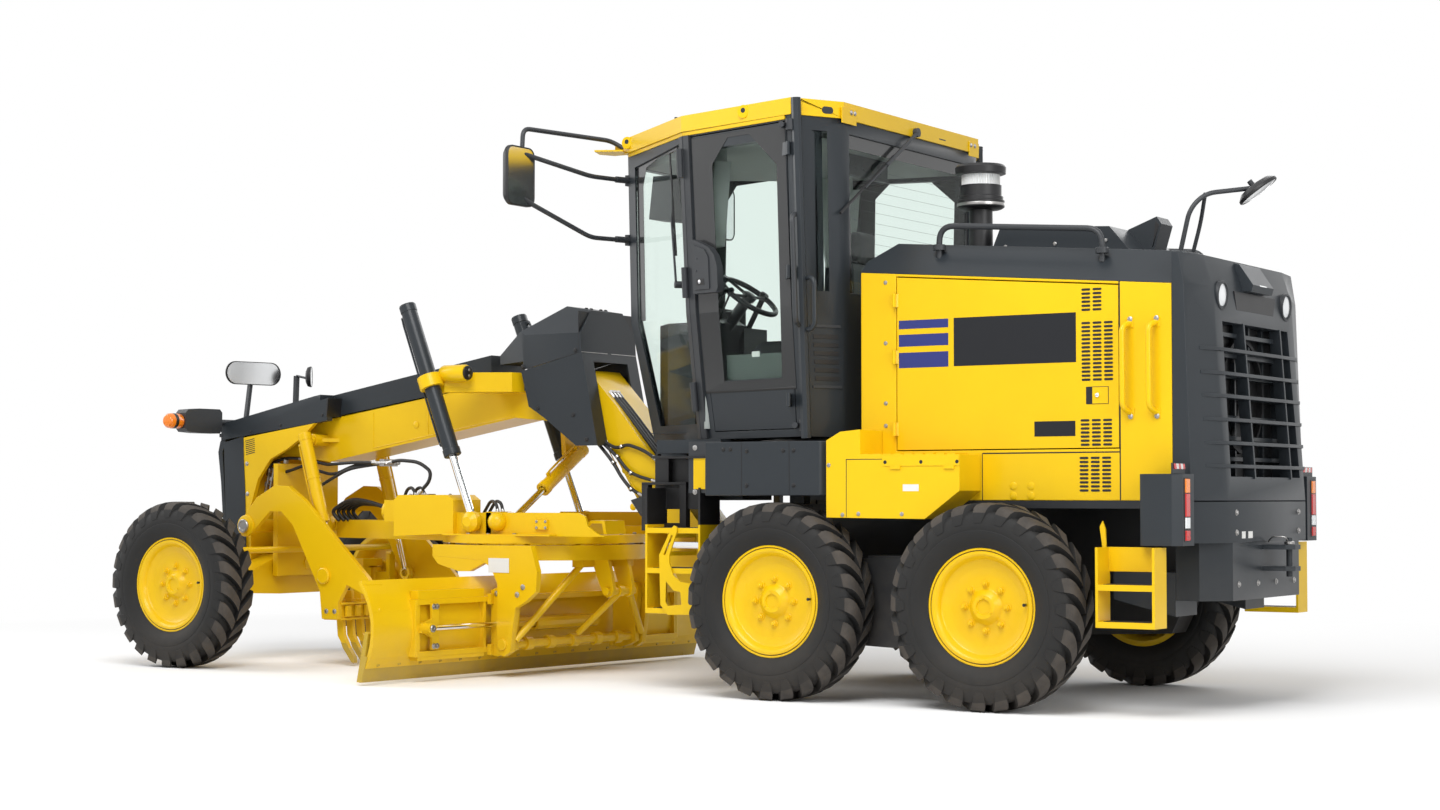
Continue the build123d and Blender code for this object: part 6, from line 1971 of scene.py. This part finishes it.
    def _circle(self) -> Shape:
        """Bare pale plate, hub bosses, stiffening ribs and pads on the circle and its arms."""
        shape = Shape("circle_dress", LABEL)
        shape.block((0.6402, 0.6430), (-0.975, -0.810), (0.628, 0.714))
        shape.use(YELLOW)
        for side in (1, -1):
            outer = side * self.arm_face
            shape.turned([(-0.004, 0.034), (0.010, 0.034), (0.013, 0.030)], (outer, *self.shaft),
                (side, 0, 0), 24)
            shape.prism([(-1.440, 0.786), (-1.440, 0.716), (-1.394, 0.672), (-1.226, 0.630),
                (-1.130, 0.632), (-1.000, 0.688), (-0.930, 0.690), (-0.930, 0.786)], Axis.X, side * 0.603,
                side * 0.639)
        for x, y in arc((0, -1.08), 0.60, range(0, 360, 30)):
            shape.turned([(0, 0.016), (0.006, 0.016), (0.008, 0.012)], (x, y, 0.789), (0, 0, 1), 6)
        shape.use(STEEL)
        for side in (1, -1):
            shape.bolts([(side * self.arm_face, y, z) for y, z in ((-0.745, 0.50), (-0.70, 0.545))],
                (side, 0, 0), 0.013)
        return shape

    def _struts(self) -> Shape:
        """Round braces from the circle's rear down to the carriers' pivot shaft."""
        shape = Shape("circle_braces", YELLOW)
        for side in (1, -1):
            shape.bar((side * 0.16, -0.62, 0.700), (side * 0.592, -0.800, 0.225), 0.021, 16)
        shape.block((-0.24, 0.24), (-0.66, -0.575), (0.655, 0.702))
        for x in (-0.075, 0.105):
            shape.prism([(-0.600, 0.702), (-0.470, 0.702), (-0.445, 0.620), (-0.425, 0.520),
                (-0.440, 0.485), (-0.475, 0.472), (-0.505, 0.490), (-0.540, 0.560)], Axis.X, x, x + 0.028)
        shape.bar((-0.105, -0.465, 0.512), (0.160, -0.465, 0.512), 0.024, 18)
        shape.turned([(0, 0.034), (0.045, 0.034)], (0.005, -0.465, 0.512), (1, 0, 0), 20)
        shape.bar((0.02, -0.470, 0.500), (0.02, -0.800, 0.245), 0.019, 14)
        shape.bar((-0.60, *self.shaft), (0.60, *self.shaft), 0.0255, 20)
        for x in (-0.42, -0.22, 0.0, 0.22, 0.42):
            shape.turned([(-0.028, 0.040), (0.028, 0.040)], (x, *self.shaft), (1, 0, 0), 24)
        return shape

    def _blade(self) -> Shape:
        """Stiffening frame, folded end plates, side shift bracket and bolts on the moldboard's back."""
        shape = Shape("moldboard_dress", YELLOW)
        low, high = -1.556, 1.544
        for side in (1, -1):
            outer = high if side > 0 else low
            xs = (outer - side * 0.34, outer - side * 0.90)
            for z0, z1 in ((0.484, 0.535), (0.128, 0.150)):
                shape.block(xs, (-1.070, -1.006), (z0, z1))
            near = (outer - side * 0.34, outer - side * 0.36)
            shape.block(near, (-1.066, -1.010), (0.150, 0.484))
            shape.prism(rectangle((outer - side * 0.16, outer - side * 0.02), (0.545, 0.578)),
                        Axis.Y, -1.150, -1.116)
            for x in (outer - side * 0.035, outer - side * 0.10):
                shape.turned([(-0.02, 0.012), (0.008, 0.012), (0.012, 0.008)], (x, -1.127, 0.084),
                    (0, 1, 0.25), 16)
            for y, z, tilt in ((-1.054, 0.30, 0), (-1.058, 0.43, 0.1)):
                shape.turned([(-0.03, 0.012), (0.012, 0.012), (0.016, 0.008)], (outer - side * 0.07, y, z),
                             (0, 1, tilt), 16)
        shape.prism([(1.045, 0.19), (1.045, 0.46), (1.105, 0.46), (1.105, 0.37), (1.175, 0.345),
            (1.175, 0.29), (1.105, 0.26), (1.105, 0.19)], Axis.Y, -1.008, -0.990)
        shape.turned([(-0.050, 0.033), (0.042, 0.033)], (1.165, *self.shift_axis), (0, 1, 0), 24)
        shape.block((1.135, 1.195), (-1.02, -0.985), (0.29, 0.345))
        shape.use(STEEL).bolts([(x, -0.990, z) for x in (1.062, 1.088) for z in (0.21, 0.44)], (0, 1, 0),
            0.013)
        shape.pin_end((1.165, -0.925, 0.317), (0, 1, 0), 0.022)
        shape.use(CHROME).bar((0.320, *self.shift_axis), (1.140, *self.shift_axis), 0.0165, 24)
        return shape

    def _carriers(self) -> Shape:
        """Slotted guide arcs, rail shoes, bolts and the side shift cylinder's yellow barrel on the carriers.
        """
        shape = Shape("carrier_dress", YELLOW)
        for side in (1, -1):
            x = side * 0.570
            outer = side * self.carrier_face
            slot = []
            for radius in (0.335, 0.285):
                angles = [math.radians(t) for t in range(62, 99, 6)]
                points = [(-0.86 + radius * math.cos(a) * 0.9, 0.20 + radius * math.sin(a)) for a in angles]
                slot += points if radius > 0.3 else points[::-1]
            shape.prism(slot, Axis.X, outer, outer + side * 0.006)
            for z in (0.468, 0.166):
                shape.block((x - side * 0.05, x + side * 0.05), (-1.003, -0.975), (z - 0.032, z + 0.032))
        shape.use(STEEL)
        for side in (1, -1):
            outer = side * self.carrier_face
            shape.bolts([(outer, y, z) for y, z in ((-0.955, 0.500), (-0.91, 0.495), (-0.875, 0.465),
                (-0.90, 0.155))], (side, 0, 0), 0.013)
            shape.turned([(-0.004, 0.036), (0.016, 0.036), (0.02, 0.03), (0.02, 0.02), (0.034, 0.02)],
                (outer + side * 0.006, -0.838, 0.475), (side, 0, 0), 28)
            shape.turned([(-0.004, 0.030), (0.014, 0.030), (0.02, 0.024)], (outer, *self.shaft),
                (side, 0, 0), 24)
        shape.use(YELLOW).turned([(0.0, 0.034), (0.02, 0.036), (0.535, 0.036), (0.545, 0.041),
            (0.600, 0.041), (0.603, 0.034)], (-0.02, *self.shift_axis), (1, 0, 0), 28)
        return shape

    def _teeth(self) -> None:
        """Hexagon heads round the circle's top flange, by array."""
        seed = Shape("flange_heads", STEEL)
        seed.turned([(0.0, 0.013), (0.010, 0.013), (0.012, 0.010)], (0.575, -1.08, 0.850), (0, 0, 1), 6)
        heads = Repeater.ring(seed, 20, (0, -1.08, 0), (0, 0, 1))
        Trim.mount(Trim.smooth(heads), Body.DRAWBAR)

    def _edge_bolts(self) -> None:
        """Plough bolts' nuts along the cutting edge's back, by array."""
        seed = Shape("edge_nuts", EDGE)
        seed.turned([(-0.004, 0.016), (0.012, 0.016), (0.014, 0.012)], (-1.45, -1.094, 0.118),
            (0, 0.95, 0.3), 6)
        nuts = Repeater.grid(seed, (18, (0.1706, 0, 0)))
        nuts.data.transform(upright_turn(self.parked, self.pivot))
        Trim.mount(Trim.smooth(nuts), Body.BLADE)


@dataclass
class Hydraulics:
    """Collars, glands, ports, hard pipes and bosses on the lift, side shift and scarifier cylinders."""

    def build(self) -> None:
        """Build the dressing of the lift, side shift and scarifier barrels and of the scarifier rods."""
        lift = Shape("lift_barrel_dress", DARK)
        scar = Shape("scarifier_barrel_dress", YELLOW)
        for side in (1, -1):
            x = side * 0.560
            self._barrel(lift, (x, -1.550, 1.785), (x, -1.210, 0.930), -0.52, 0.490, 0.050, (side, 0, 0))
            x = side * 0.350
            self._barrel(scar, (x, -2.780, 1.450), (x, -2.520, 0.575), -0.045, 0.560, 0.042, (side, 0, 0))
        lift.use(YELLOW)
        for side in (1, -1):
            self._ring(lift, (side * 0.560, -1.550, 1.785), Vector((0, 0.3695, -0.9292)), (-0.040, 0.040),
                0.075, 0.049)
            lift.use(BLACK).pin_end((side * 0.612, -1.550, 1.785), (side, 0, 0), 0.03)
            lift.use(YELLOW)
        lift.done("lift_barrels", 0.0015)
        scar.done("scarifier_barrels", 0.0015)
        shift = Shape("shift_barrel_dress", YELLOW)
        self._barrel(shift, (-0.300, -1.060, 1.350), (0.380, -1.060, 0.930), -0.07, 0.430, 0.042, (0, 1, 0))
        shift.done("shift_barrel", 0.0015)
        eyes = Shape("scarifier_rod_dress", YELLOW)
        for side in (1, -1):
            for y, z in arc((-2.520, 0.575), 0.034, range(45, 405, 90)):
                eyes.turned([(0.0, 0.009), (0.010, 0.009), (0.013, 0.006)], (side * 0.374, y, z),
                    (side, 0, 0), 10)
        eyes.done("scarifier_rods", 0.0)

    def _barrel(self, shape: Shape, start: Point, eye: Point, back: float, length: float, radius: float,
            side: Point) -> None:
        """Add a gland collar, end cap, two ports and the pipe between them.

        Args:
            shape: Shape that receives them.
            start: Trunnion or base pin.
            eye: Rod eye.
            back: Start of the barrel along its axis.
            length: End of the barrel along its axis.
            radius: Barrel radius.
            side: Direction in which the ports face.
        """
        base = Vector(start)
        unit = (Vector(eye) - base).normalized()
        out = Vector(side)
        out = (out - unit * out.dot(unit)).normalized()
        self._ring(shape, start, unit, (length - 0.046, length - 0.002), radius * 1.09, radius * 0.97)
        self._ring(shape, start, unit, (back + 0.004, back + 0.050), radius * 1.05, radius * 0.97)
        rear = unit.cross(out)
        ports = [base + unit * along + rear * radius * 0.9 for along in (back + 0.07, length - 0.10)]
        tops = [port + rear * 0.022 for port in ports]
        for port, top in zip(ports, tops):
            shape.bar(port, top, 0.014, 12)
        middle = (tops[0] + tops[1]) / 2
        shape.tube([tops[0], tops[0] + rear * 0.004 + unit * 0.03, middle + rear * 0.006,
            tops[1] + rear * 0.004 - unit * 0.03, tops[1]], 0.007, 0.03, 10)
        middle_ring = (back + length) * 0.5
        self._ring(shape, start, unit, (middle_ring - 0.010, middle_ring + 0.010), radius * 1.04,
            radius * 0.97)

    @staticmethod
    def _ring(shape: Shape, start: Point, unit: Vector, span: Flat, outer: float, inner: float) -> None:
        """Add a collar round a barrel.

        Args:
            shape: Shape that receives it.
            start: Point on the axis that spans are measured from.
            unit: Direction of the axis.
            span: Start and end along the axis.
            outer: Outer radius.
            inner: Inner radius.
        """
        low, high = span
        profile = [(low, inner), (low, outer - 0.002), (low + 0.002, outer), (high - 0.002, outer),
            (high, outer - 0.002), (high, inner)]
        shape.turned(profile, start, unit, 32, ring=True)


@dataclass
class Scarifier:
    """Teeth tips, wedges, rack caps and arm pins on the scarifier."""

    def build(self) -> None:
        """Build the scarifier's dressing pieces."""
        self._rack().done(Body.SCARIFIER, 0.0015)
        seed = Shape("scarifier_points", EDGE)
        seed.prism([(-2.347, 0.022), (-2.3275, 0.022), (-2.331, 0.060), (-2.395, 0.145), (-2.440, 0.150),
            (-2.424, 0.115)], Axis.X, -0.377, -0.343)
        points = Repeater.grid(seed, (9, (0.09, 0, 0)))
        Trim.mount(Trim.smooth(points, 0.0015), Body.SCARIFIER)

    def _rack(self) -> Shape:
        """Flanges, keeper plates and cylinder bosses."""
        shape = Shape("scarifier_dress", YELLOW)
        shape.block((-0.425, 0.425), (-2.552, -2.388), (0.392, 0.406))
        shape.block((-0.425, 0.425), (-2.545, -2.395), (0.294, 0.306))
        for i in range(9):
            x = -0.36 + 0.09 * i
            shape.block((x - 0.022, x + 0.022), (-2.402, -2.384), (0.315, 0.385))
            shape.block((x - 0.020, x + 0.020), (-2.51, -2.43), (0.406, 0.424))
        for side in (1, -1):
            shape.turned([(-0.02, 0.052), (0.012, 0.052), (0.018, 0.044)], (side * 0.450, -2.520, 0.575),
                (side, 0, 0), 28)
            shape.turned([(-0.01, 0.070), (0.008, 0.070), (0.012, 0.062)], (side * 0.449, -3.210, 0.890),
                (side, 0, 0), 32)
        shape.use(STEEL)
        for side in (1, -1):
            shape.bolts([(side * 0.449, y, z) for y, z in ((-2.50, 0.35), (-2.43, 0.35))], (side, 0, 0),
                0.012)
        return shape


@dataclass
class Fittings:
    """Pre-cleaner, exhaust, mirrors, steps, brackets, cab base dress and running gear details."""

    rear_mirror: Point = (0.095, 3.585, 2.655)
    rear_mirror_tilt: Point = (-0.20, 0.55, -0.80)

    def build(self) -> None:
        """Build them."""
        self._cleaner().done(Body.REAR, 0.0015, ("intake_and_exhaust",))
        self._mirrors().done(Body.REAR, 0.0015, ("mirrors",))
        self._cab_base().mirrored().done(Body.REAR, 0.0015)
        self._brackets().mirrored().done(Body.REAR, 0.002)
        self._underside().mirrored().done(Body.REAR, 0.002)

    def _cleaner(self) -> Shape:
        """Air pre-cleaner with its finned clear band, and the exhaust's slanting scoop."""
        shape = Shape("pre_cleaner", BLACK)
        centre = (0.225, 2.060, 0.0)
        shape.turned([(2.395, 0.066), (2.640, 0.064), (2.645, 0.112), (2.655, 0.128), (2.690, 0.130),
            (2.694, 0.122), (2.712, 0.122), (2.716, 0.1135), (2.774, 0.1135), (2.776, 0.098)], centre,
            (0, 0, 1), 48)
        shape.turned([(2.832, 0.098), (2.834, 0.126), (2.838, 0.137), (2.872, 0.139), (2.886, 0.128),
            (2.893, 0.070), (2.899, 0.030), (2.8992, 0.012)], centre, (0, 0, 1), 48)
        shape.use(STEEL).turned([(2.660, 0.1305), (2.668, 0.1315), (2.676, 0.1305)], centre, (0, 0, 1), 48)
        shape.use(CLEAR).turned([(2.774, 0.100), (2.834, 0.100)], centre, (0, 0, 1), 48)
        shape.use(LABEL)
        for i in range(44):
            angle = 2 * math.pi * i / 44
            x, y = centre[0] + 0.102 * math.cos(angle), centre[1] + 0.102 * math.sin(angle)
            shape.bar((x, y, 2.775), (x, y, 2.833), 0.0032, 4)
        shape.use(DARK)
        outer = [(2.700, 2.372), (2.860, 2.500), (3.020, 2.560), (3.046, 2.520), (2.995, 2.350)]
        shape.prism(outer, Axis.X, -0.078, 0.078)
        shape.use(BLACK).prism([(2.995, 2.400), (3.035, 2.515), (3.012, 2.540), (2.998, 2.400)], Axis.X,
            -0.066, 0.0785)
        shape.use(STEEL).bolts([(side * 0.332, y, 2.42) for side in (1, -1) for y in (2.26, 2.55, 2.84)],
            (1, 0, 0), 0.008)
        return shape

    def _mirrors(self) -> Shape:
        """Cab mirrors on their tube arms, the bracket pads and the round rear view mirror."""
        shape = Shape("mirror_set", PLASTIC)
        for route in ([(0.340, -0.212, 2.600), (0.600, -0.300, 2.600), (0.985, -0.452, 2.772),
                (1.040, -0.468, 2.800)], [(0.340, -0.212, 2.955), (0.600, -0.300, 2.960),
                (0.985, -0.452, 3.045), (1.040, -0.468, 3.055)],
                [(0.320, -0.255, 3.150), (0.360, -0.330, 3.202), (1.030, -0.470, 3.202),
                (1.040, -0.470, 3.060)]):
            shape.tube(route, 0.0138, 0.05, 14)
        for z in (2.602, 2.957):
            shape.tube([(0.335, -0.21, z), (0.43, -0.243, z)], 0.019, 0.02, 12)
            shape.block((0.318, 0.352), (-0.232, -0.205), (z - 0.032, z + 0.032))
        points = self._rounded_plate(0.127, 0.172, 0.05)
        middle = Vector((1.069, -0.470, 2.920))
        rings = []
        for scale, depth in ((0.60, -0.036), (0.90, -0.026), (1.0, -0.006), (1.0, 0.016), (0.965, 0.022),
                (0.955, 0.014)):
            rings.append([middle + Vector((u * scale, depth, v * scale)) for u, v in points])
        shape.use(BLACK).rings(rings)
        shape.use(MIRROR).rings([[middle + Vector((u * 0.95, depth, v * 0.95)) for u, v in points]
            for depth in (0.0142, 0.0165)])
        shape.mirrored()
        shape.use(PLASTIC).tube([(0.300, 3.240, 2.330), (0.300, 3.295, 2.560), (0.250, 3.360, 2.640),
            (0.110, 3.560, 2.668)], 0.0125, 0.06, 14)
        shape.tube([(0.150, 3.250, 2.345), (0.165, 3.300, 2.50), (0.250, 3.360, 2.640)], 0.0105, 0.06, 12)
        shape.block((0.130, 0.320), (3.215, 3.262), (2.318, 2.334))
        lens = [(-0.040, 0.030), (-0.030, 0.085), (-0.008, 0.112), (0.004, 0.114), (0.010, 0.108),
            (0.006, 0.104)]
        shape.use(BLACK).turned(lens, self.rear_mirror, self.rear_mirror_tilt, 40)
        shape.use(MIRROR).turned([(0.0062, 0.104), (0.014, 0.07), (0.018, 0.03)], self.rear_mirror,
            self.rear_mirror_tilt, 40)
        shape.use(PLASTIC).turned([(-0.02, 0.014), (0.03, 0.014)], (0.110, 3.556, 2.690),
            self.rear_mirror_tilt, 14)
        return shape

    @staticmethod
    def _rounded_plate(half_x: float, half_z: float, corner: float) -> list[Flat]:
        """Outline of a plate with rounded corners about its middle."""
        points = []
        for x, z, start in ((1, 1, 0), (-1, 1, 90), (-1, -1, 180), (1, -1, 270)):
            points += arc((x * (half_x - corner), z * (half_z - corner)), corner,
                range(start, start + 91, 18))
        return points

    def _cab_base(self) -> Shape:
        """Door seams, bolts and handles on the boxes under the cab, and the bare yellow plate before them."""
        shape = Shape("cab_base_dress", BLACK)
        for y in (1.035, 1.335):
            shape.block((1.048, 1.0508), (y, y + 0.004), (1.088, 1.372))
        shape.bolts([(1.05, y, z) for y, z in ((0.92, 1.335), (0.965, 1.335), (1.07, 1.325), (1.30, 1.325),
            (1.365, 1.325), (1.07, 1.14), (1.365, 1.14))], (1, 0, 0), 0.009)
        shape.use(DARK).tube([(1.000, 1.380, 2.238), (1.036, 1.468, 2.242), (1.042, 1.490, 2.215),
            (1.042, 1.493, 1.995), (1.036, 1.470, 1.966), (1.000, 1.380, 1.970)], 0.0125, 0.02, 14)
        shape.use(PLASTIC).block((0.860, 0.890), (0.587, 0.800), (1.100, 1.385))
        shape.use(YELLOW).block((0.889, 0.893), (0.621, 0.714), (1.122, 1.293))
        shape.use(STEEL).bolts([(0.890, 0.629, z) for z in (1.350, 1.106)], (1, 0, 0), 0.011)
        return shape

    def _brackets(self) -> Shape:
        """Black U bracket, grip bars on the treads, dark boxes, slotted step cheek and rear hook."""
        shape = Shape("step_dress", BLACK)
        for y, top in (((0.158, 0.202), 1.152), ((0.418, 0.462), 1.152), ((0.200, 0.420), 0.932)):
            shape.block((0.688, 0.732), y, (0.888, top))
        shape.block((0.60, 0.732), (0.158, 0.462), (1.148, 1.162))
        shape.block((0.55, 0.60), (0.16, 0.80), (1.10, 1.16))
        for i in range(3):
            z = 0.43 + 0.67 * i / 3 + 0.0305
            for k in range(5):
                shape.block((0.725 + 0.034 * k, 0.742 + 0.034 * k), (0.34, 0.63), (z, z + 0.002))
        for i in range(2):
            z = 0.44 + 0.362 * i / 2 + 0.0305
            for k in range(4):
                shape.block((0.950 + 0.032 * k, 0.966 + 0.032 * k), (3.14, 3.38), (z, z + 0.002))
        shape.block((0.600, 0.690), (0.222, 0.315), (1.160, 1.300))
        shape.block((0.500, 0.700), (0.200, 0.352), (1.300, 1.312))
        shape.block((0.640, 0.652), (0.315, 0.490), (1.123, 1.292))
        shape.block((0.560, 0.900), (0.352, 0.700), (1.292, 1.304))
        shape.use(DARK).block((0.420, 0.560), (0.175, 0.352), (1.304, 1.396))
        shape.block((0.300, 0.860), (0.352, 0.780), (1.320, 1.396))
        shape.block((0.330, 0.640), (0.500, 0.780), (1.060, 1.320))
        shape.use(YELLOW)
        outer = [(0.403, 0.757), (0.486, 0.905), (0.502, 0.920), (0.520, 0.915), (0.524, 0.890),
            (0.472, 0.757), (0.472, 0.715), (0.498, 0.645), (0.545, 0.610), (0.638, 0.598), (0.655, 0.557),
            (0.638, 0.430), (0.460, 0.425), (0.412, 0.480)]
        hole = [(0.451, 0.609), (0.500, 0.560), (0.545, 0.554), (0.554, 0.484), (0.460, 0.475),
            (0.446, 0.496)]
        slot = [(0.444, 0.757), (0.496, 0.866), (0.484, 0.866), (0.432, 0.757)]
        self._cut_plate(shape, outer, (hole, slot), (0.902, 0.912))
        shape.prism([(3.105, 0.80), (3.10, 0.92), (3.085, 0.96), (3.070, 0.93), (3.085, 0.82)], Axis.X,
            0.932, 0.944)
        return shape

    @staticmethod
    def _cut_plate(shape: Shape, outer: list[Flat], holes: tuple[list[Flat], ...], span: Flat) -> None:
        """Add a flat plate with openings, square to the machine's width.

        Args:
            shape: Shape that receives it.
            outer: Outline in y and z.
            holes: Outlines of the openings.
            span: Lower and upper x.
        """
        sheet = bmesh.new()
        loops = [[sheet.verts.new((span[0], y, z)) for y, z in outline] for outline in (outer, *holes)]
        edges = [sheet.edges.new((loop[i - 1], loop[i])) for loop in loops for i in range(len(loop))]
        bmesh.ops.triangle_fill(sheet, edges=edges, use_beauty=True)
        for face in sheet.faces:
            face.normal_update()
            points = [Vector(vert.co) for vert in face.verts]
            shape.rings([points, [point + Vector((span[1] - span[0], 0, 0)) for point in points]])
        sheet.free()

    def _underside(self) -> Shape:
        """Tandem case covers with bolt circles, brake pods and propeller shafts seen between the wheels."""
        shape = Shape("running_gear_dress", CHASSIS)
        for y in (1.25, 2.5):
            shape.turned([(-0.004, 0.175), (0.014, 0.175), (0.020, 0.160), (0.020, 0.09), (0.05, 0.085)],
                (0.850, y, 0.525), (1, 0, 0), 36)
            shape.bolts([(0.866, u, v) for u, v in arc((y, 0.525), 0.167, range(0, 360, 45))], (1, 0, 0),
                0.010, False)
        shape.block((0.645, 0.845), (1.70, 2.05), (0.752, 0.770))
        shape.turned([(0, 0.07), (0.10, 0.07), (0.11, 0.05)], (0.37, 1.70, 0.60), (0, -1, 0), 28)
        shape.bar((0.0, 0.66, 0.80), (0.0, 1.72, 0.60), 0.045, 20)
        return shape


def dress(frame: dict) -> None:
    """Build and dress every sub-assembly in order.

    Args:
        frame: The loaded frame.
    """
    paint = Refinish(frame)
    shared: dict[str, bpy.types.Object] = {}
    for axle, y in (("front", -3.22), ("mid", 1.25), ("rear", 2.5)):
        for side in Side:
            Wheel(f"{axle}_{side.name.lower()}", (1.004 * side.value, y, 0.525), side.value).build(shared)
    Wheel.clear(shared)
    Hood().build()
    Rails().build()
    RearCowl().build()
    Cab().build()
    FrontFrame().build()
    WorkingGear().build()
    Hydraulics().build()
    Scarifier().build()
    Fittings().build()
    paint.rounded(CHASSIS, 0.004, "rear_frame", "tandem_axle")
    paint.rounded(DARK, 0.006, "rear_bumper", "cab_base", "hood_top", "rear_grille", "beam_covers")
    paint.rounded(YELLOW, 0.005, "tanks_and_steps", dark_part=((0.68, 0.96), (0.10, 0.72), (0.925, 1.40)))
    paint.rounded(YELLOW, 0.005, "hood_sides", "hood_door_left", "hood_door_right", "cab_roof")
    paint.rounded(DARK, 0.004, "cab_shell", "door_left", "door_right")
    paint.paint(GLASS, "cab_glass", "door_glass_left", "door_glass_right")
    paint.rounded(IRON, 0.01, "engine")
    paint.rounded(YELLOW, 0.005, "front_beam", "front_axle", "knuckle_left", "knuckle_right", "tie_rod")
    paint.rounded(YELLOW, 0.004, "drawbar", "circle", "moldboard", "blade_carriers", "scarifier_arms",
        "scarifier_rack")
    paint.rounded(EDGE, 0.002, "cutting_edge")
    paint.rounded(DARK, 0.002, "lift_barrels")
    paint.rounded(YELLOW, 0.002, "shift_barrel", "scarifier_barrels", "artic_barrel_left",
        "artic_barrel_right")
    paint.rounded(CHROME, 0.001, "lift_rods", "shift_rod", "scarifier_rods", "artic_rod_left",
        "artic_rod_right")


def main() -> None:
    """Load the frame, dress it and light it."""
    logging.basicConfig(level=logging.INFO, format="%(message)s")
    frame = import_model()
    dress(frame)
    Studio().build()


if __name__ == "__main__":
    main()
